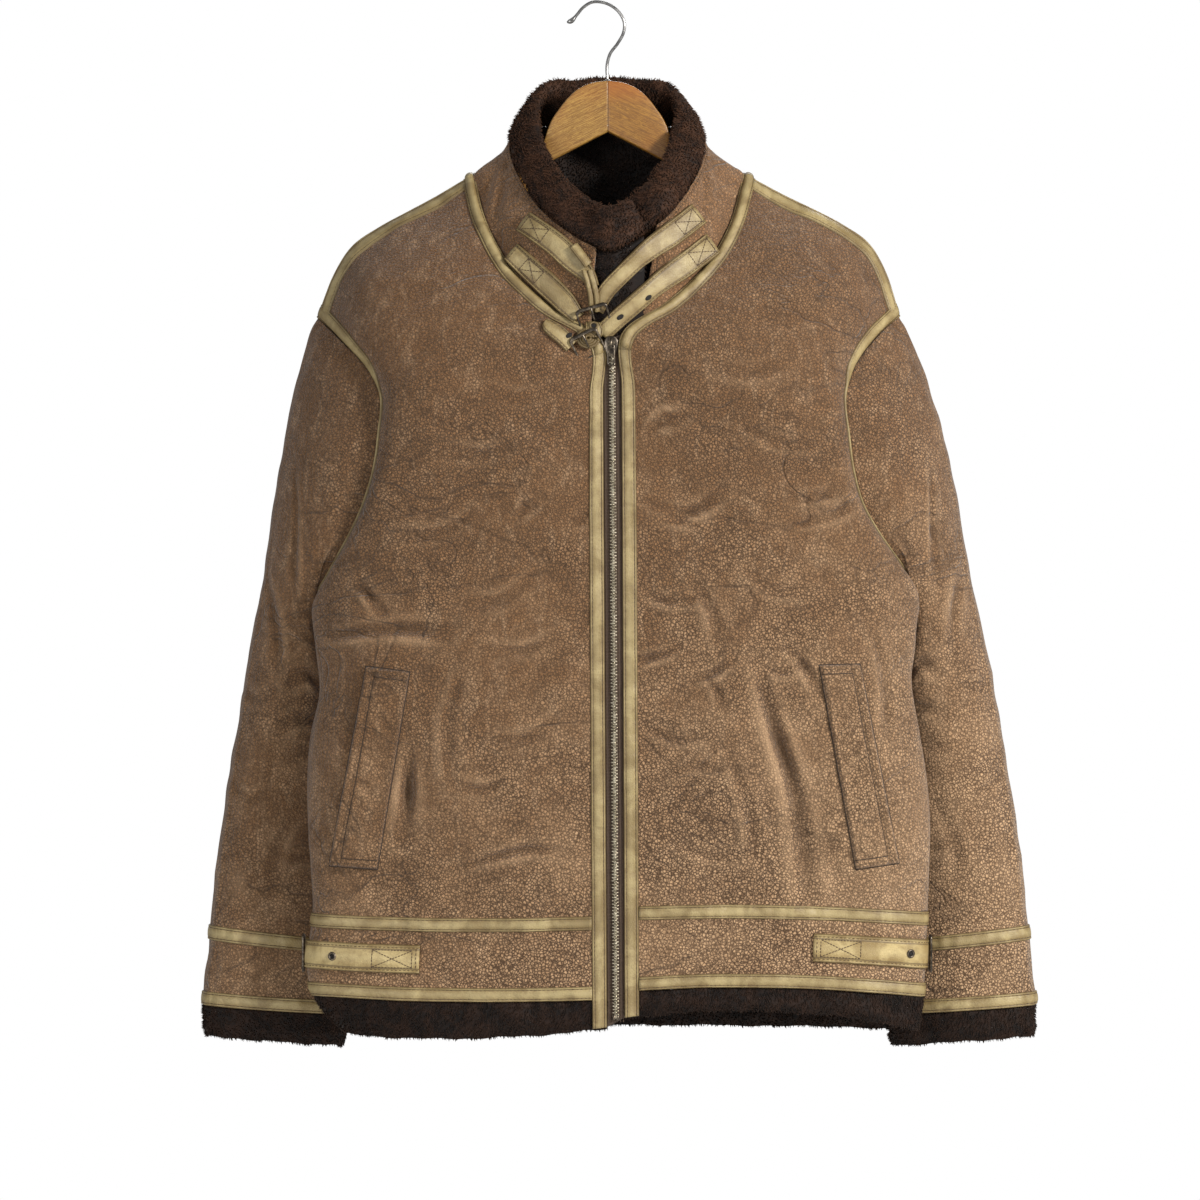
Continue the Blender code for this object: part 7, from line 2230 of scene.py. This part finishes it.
def pile_tree(finish):
    """Bent pointed tufts scattered over a base and combed one way."""
    s = Shaper("fur_pile", {"Length": ("NodeSocketFloat", 0.006), "Width": ("NodeSocketFloat", 0.0008),
                            "Density": ("NodeSocketFloat", 150000.0), "Seed": ("NodeSocketInt", 1),
                            "Comb": ("NodeSocketVector", (0, 0, -1)), "Bend": ("NodeSocketFloat", 0.4)})
    points = s.node("GeometryNodeDistributePointsOnFaces", {"distribute_method": "RANDOM"},
                    {"Mesh": s.given("Geometry"), "Density": s.given("Density"), "Seed": s.given("Seed"),
                     "Selection": s.node("FunctionNodeCompare",
                                         {"data_type": "FLOAT", "operation": "GREATER_THAN"}, {
                         0: s.node("GeometryNodeInputNamedAttribute", {"data_type": "FLOAT"},
                                   {"Name": "pile"}), 1: 0.5})})
    normal = points.node.outputs["Normal"]
    wild = s.node("FunctionNodeRandomValue", {"data_type": "FLOAT_VECTOR"},
                  {0: (-0.45, -0.45, -0.45), 1: (0.45, 0.45, 0.45), "Seed": s.given("Seed")})
    place = s.node("GeometryNodeInputPosition")
    swirl = s.node("ShaderNodeTexNoise", {}, {"Vector": place, "Scale": 55.0, "Detail": 1.0}, out="Color")
    swirl = s.node("ShaderNodeVectorMath", {"operation": "SUBTRACT"}, {0: swirl, 1: (0.5, 0.5, 0.5)})
    swirl = s.node("ShaderNodeVectorMath", {"operation": "SCALE"}, {0: swirl, "Scale": 2.4})
    lie = normal
    for push in (s.given("Comb"), wild, swirl):
        lie = s.node("ShaderNodeVectorMath", {"operation": "ADD"}, {0: lie, 1: push})
    turn = s.node("FunctionNodeAlignRotationToVector", {"axis": "Z"}, {"Vector": lie})
    spin = s.node("FunctionNodeRandomValue", {"data_type": "FLOAT"}, {2: 0.0, 3: 6.28, "Seed": 7})
    axis = s.node("ShaderNodeCombineXYZ", {}, {"Z": spin})
    spun = s.node("FunctionNodeRotateRotation", {"rotation_space": "LOCAL"},
                  {"Rotation": turn, "Rotate By": axis})
    size = s.node("FunctionNodeRandomValue", {"data_type": "FLOAT"}, {2: 0.6, 3: 1.15, "Seed": 3})

    tuft = s.node("GeometryNodeMeshCone", {"fill_type": "TRIANGLE_FAN"},
                  {"Vertices": 3, "Side Segments": 2, "Radius Top": 0.0, "Radius Bottom": s.given("Width"),
                   "Depth": s.given("Length")})
    position = s.node("GeometryNodeInputPosition")
    z = s.node("ShaderNodeSeparateXYZ", {}, {"Vector": position}, out="Z")
    share = s.node("ShaderNodeMath", {"operation": "DIVIDE"}, {0: z, 1: s.given("Length")})
    squared = s.node("ShaderNodeMath", {"operation": "MULTIPLY"}, {0: share, 1: z})
    bent = s.node("ShaderNodeMath", {"operation": "MULTIPLY"}, {0: squared, 1: s.given("Bend")})
    offset = s.node("ShaderNodeCombineXYZ", {}, {"X": bent})
    tuft = s.node("GeometryNodeSetPosition", {}, {"Geometry": tuft, "Offset": offset})
    tuft = s.node("GeometryNodeStoreNamedAttribute", {"data_type": "FLOAT", "domain": "POINT"},
                  {"Geometry": tuft, "Name": "tip", "Value": share})
    many = s.node("GeometryNodeInstanceOnPoints", {},
                  {"Points": points, "Instance": tuft, "Rotation": spun, "Scale": size})
    return s.finish(many, finish)


def placed_tree(name, shape, finish):
    """The same small shape at every marked point, turned by the point's heading and facing."""
    s = Shaper(name, {"Long": ("NodeSocketFloat", 0.003), "Wide": ("NodeSocketFloat", 0.001),
                      "Tall": ("NodeSocketFloat", 0.001)})
    heading = s.node("GeometryNodeInputNamedAttribute", {"data_type": "FLOAT_VECTOR"}, {"Name": "heading"})
    facing = s.node("GeometryNodeInputNamedAttribute", {"data_type": "FLOAT_VECTOR"}, {"Name": "facing"})
    turn = s.node("FunctionNodeAxesToRotation", {"primary_axis": "X", "secondary_axis": "Z"},
                  {"Primary Axis": heading, "Secondary Axis": facing})
    size = s.node("ShaderNodeCombineXYZ", {}, {"X": s.given("Long"), "Y": s.given("Wide"),
                                               "Z": s.given("Tall")})
    if shape == "bead":
        form = s.node("GeometryNodeMeshUVSphere", {}, {"Segments": 6, "Rings": 4, "Radius": 0.5})
    else:
        form = s.node("GeometryNodeMeshCylinder", {"fill_type": "NGON"},
                      {"Vertices": 8, "Radius": 0.5, "Depth": 1.0})
    points = s.node("GeometryNodeMeshToPoints", {}, {"Mesh": s.given("Geometry")})
    many = s.node("GeometryNodeInstanceOnPoints", {}, {"Points": points, "Instance": form, "Rotation": turn,
                                                       "Scale": size})
    return s.finish(many, FINISHES[finish])


def marked_points(name, points, heading, facing):
    mesh = bpy.data.meshes.new(name)
    mesh.from_pydata((np.asarray(points) * MM).tolist(), [], [])
    for title, vectors in (("heading", heading), ("facing", facing)):
        layer = mesh.attributes.new(title, "FLOAT_VECTOR", "POINT")
        layer.data.foreach_set("vector", np.asarray(vectors, np.float32).reshape(-1))
    item = bpy.data.objects.new(name, mesh)
    bpy.context.scene.collection.objects.link(item)
    return item


def add_pile():
    trees = {}
    for index, (base, comb, length) in enumerate(PILE):
        name = base.name.replace("_base", "_pile")
        finish = base.data.materials[0]
        if finish.name not in trees:
            trees[finish.name] = pile_tree(finish)
        sizes = {"Length": length, "Width": 0.00066, "Density": 300000.0, "Seed": index + 3, "Comb": comb,
                 "Bend": 0.35}
        shaped(name, base, trees[finish.name], sizes, None, "dark_fur", keep_base=True)


def add_stitches():
    points, heading, up = (np.concatenate([line[i] for line in THREAD_LINES]) for i in range(3))
    base = marked_points("stitch_places", points, heading, up)
    shaped("stitching", base, placed_tree("stitches", "bead", "thread"),
           {"Long": 0.0025, "Wide": 0.00075, "Tall": 0.0006}, None, "dark_fur")


def add_teeth(chain):
    base = marked_points("tooth_places", chain[:, 0], chain[:, 1], chain[:, 2])
    shaped("zip_teeth", base, placed_tree("teeth", "tooth", "tooth_metal"),
           {"Long": 0.0044, "Wide": 0.00125, "Tall": 0.0022}, "zip_chain", "gunmetal")


FLOOR_RADIUS = 2.0       # metres
FLOOR_Z = -1.36
CAMERA_AWAY = 5.06       # metres in front of the hook
CAMERA_LENS = 36.0 * 5.0 / 0.984


def build_stage():
    """Plain pale floor, soft studio light and the camera in front."""
    mesh = bpy.data.meshes.new("floor")
    turn = np.linspace(0, 2 * np.pi, 64, endpoint=False)
    ring = [(FLOOR_RADIUS * math.cos(a), FLOOR_RADIUS * math.sin(a), FLOOR_Z) for a in turn]
    mesh.from_pydata(ring, [], [tuple(range(64))])
    floor = bpy.data.objects.new("floor", mesh)
    bpy.context.scene.collection.objects.link(floor)
    p = Paint("floor_paint")
    mesh.materials.append(p.finish(p.blend(p.noise(p.place(), 3.0).between(0.3, 0.7), (0.78, 0.78, 0.77),
                                           (0.82, 0.82, 0.81)), 0.9))

    def lamp(name, place, aim, size, power, tint):
        light = bpy.data.lights.new(name, "AREA")
        light.shape, light.size, light.energy, light.color = "DISK", size, power, tint
        item = bpy.data.objects.new(name, light)
        item.location = place
        item.rotation_euler = (Vector(aim) - Vector(place)).to_track_quat("-Z", "Y").to_euler()
        bpy.context.scene.collection.objects.link(item)

    lamp("key", (2.0, -1.75, 0.55), (0.03, 0.0, -0.5), 0.55, 92.0, (1.0, 0.985, 0.96))
    lamp("fill", (-1.5, -2.4, -0.3), (0.0, 0.0, -0.5), 1.2, 22.0, (0.98, 0.99, 1.0))
    lamp("back_light", (0.3, 2.2, 0.8), (0.0, 0.0, -0.4), 1.4, 30.0, (1.0, 1.0, 1.0))

    world = bpy.data.worlds.new("studio")
    bpy.context.scene.world = world
    world.use_nodes = True
    tree = world.node_tree
    tree.nodes.clear()
    seen = tree.nodes.new("ShaderNodeLightPath")
    soft = tree.nodes.new("ShaderNodeBackground")
    soft.inputs["Color"].default_value, soft.inputs["Strength"].default_value = (0.96, 0.98, 1.0, 1.0), 0.36
    pale = tree.nodes.new("ShaderNodeBackground")
    pale.inputs["Color"].default_value, pale.inputs["Strength"].default_value = (1.0, 1.0, 1.0, 1.0), 1.0
    both = tree.nodes.new("ShaderNodeMixShader")
    out = tree.nodes.new("ShaderNodeOutputWorld")
    tree.links.new(seen.outputs["Is Camera Ray"], both.inputs[0])
    tree.links.new(soft.outputs[0], both.inputs[1])
    tree.links.new(pale.outputs[0], both.inputs[2])
    tree.links.new(both.outputs[0], out.inputs["Surface"])
    bpy.context.scene.view_settings.view_transform = "Standard"

    camera = bpy.data.cameras.new("camera")
    camera.sensor_width, camera.lens = 36.0, CAMERA_LENS
    camera.clip_end = 50.0
    item = bpy.data.objects.new("camera", camera)
    item.location, item.rotation_euler = (0.0025, -CAMERA_AWAY, -0.495), (math.pi / 2, 0.0, 0.0)
    bpy.context.scene.collection.objects.link(item)
    bpy.context.scene.camera = item


def declare():
    """Attaches every piece to the root body and hides the model part that it stands for."""
    for piece in PIECES:
        item = piece["item"]
        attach(item, "root")
        if piece["node"]:
            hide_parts(piece["node"])
    for piece in PIECES:
        item = piece["item"]
        if piece["cut"]:
            across, down, area = piece["cut"]
            min(area, across * down)


def main():
    make_finishes()
    patches, coarse_sleeves = build_body()
    body = dress_body(patches)
    sleeves = [dress_sleeve(side, pair[0], [patch[0] for patch in patches])
               for side, pair in zip((-1, 1), coarse_sleeves)]
    build_shell(body)
    tapes = build_tapes(body)
    marks = build_side_straps(body)
    build_sleeves(sleeves)
    rim, lining = build_collar(patches)
    chain = build_zip(body)
    fronts = [bpy.data.objects[name] for name in ("front_left_cloth", "front_right_cloth", "collar_cloth")]
    ground = Ground()
    edging = [tape.item for name, tape in tapes.items() if "neck" in name or "front" in name]
    ground.add(*fronts, rim, lining, bpy.data.objects["zip_tape_woven"], *edging)
    build_welts(ground)
    build_collar_hardware(ground)
    build_side_metal(marks)
    build_hanger([bpy.data.objects[name] for name in ("front_left_cloth", "front_right_cloth", "back_cloth")])
    add_pile()
    add_stitches()
    add_teeth(chain)
    build_stage()
    declare()


main()
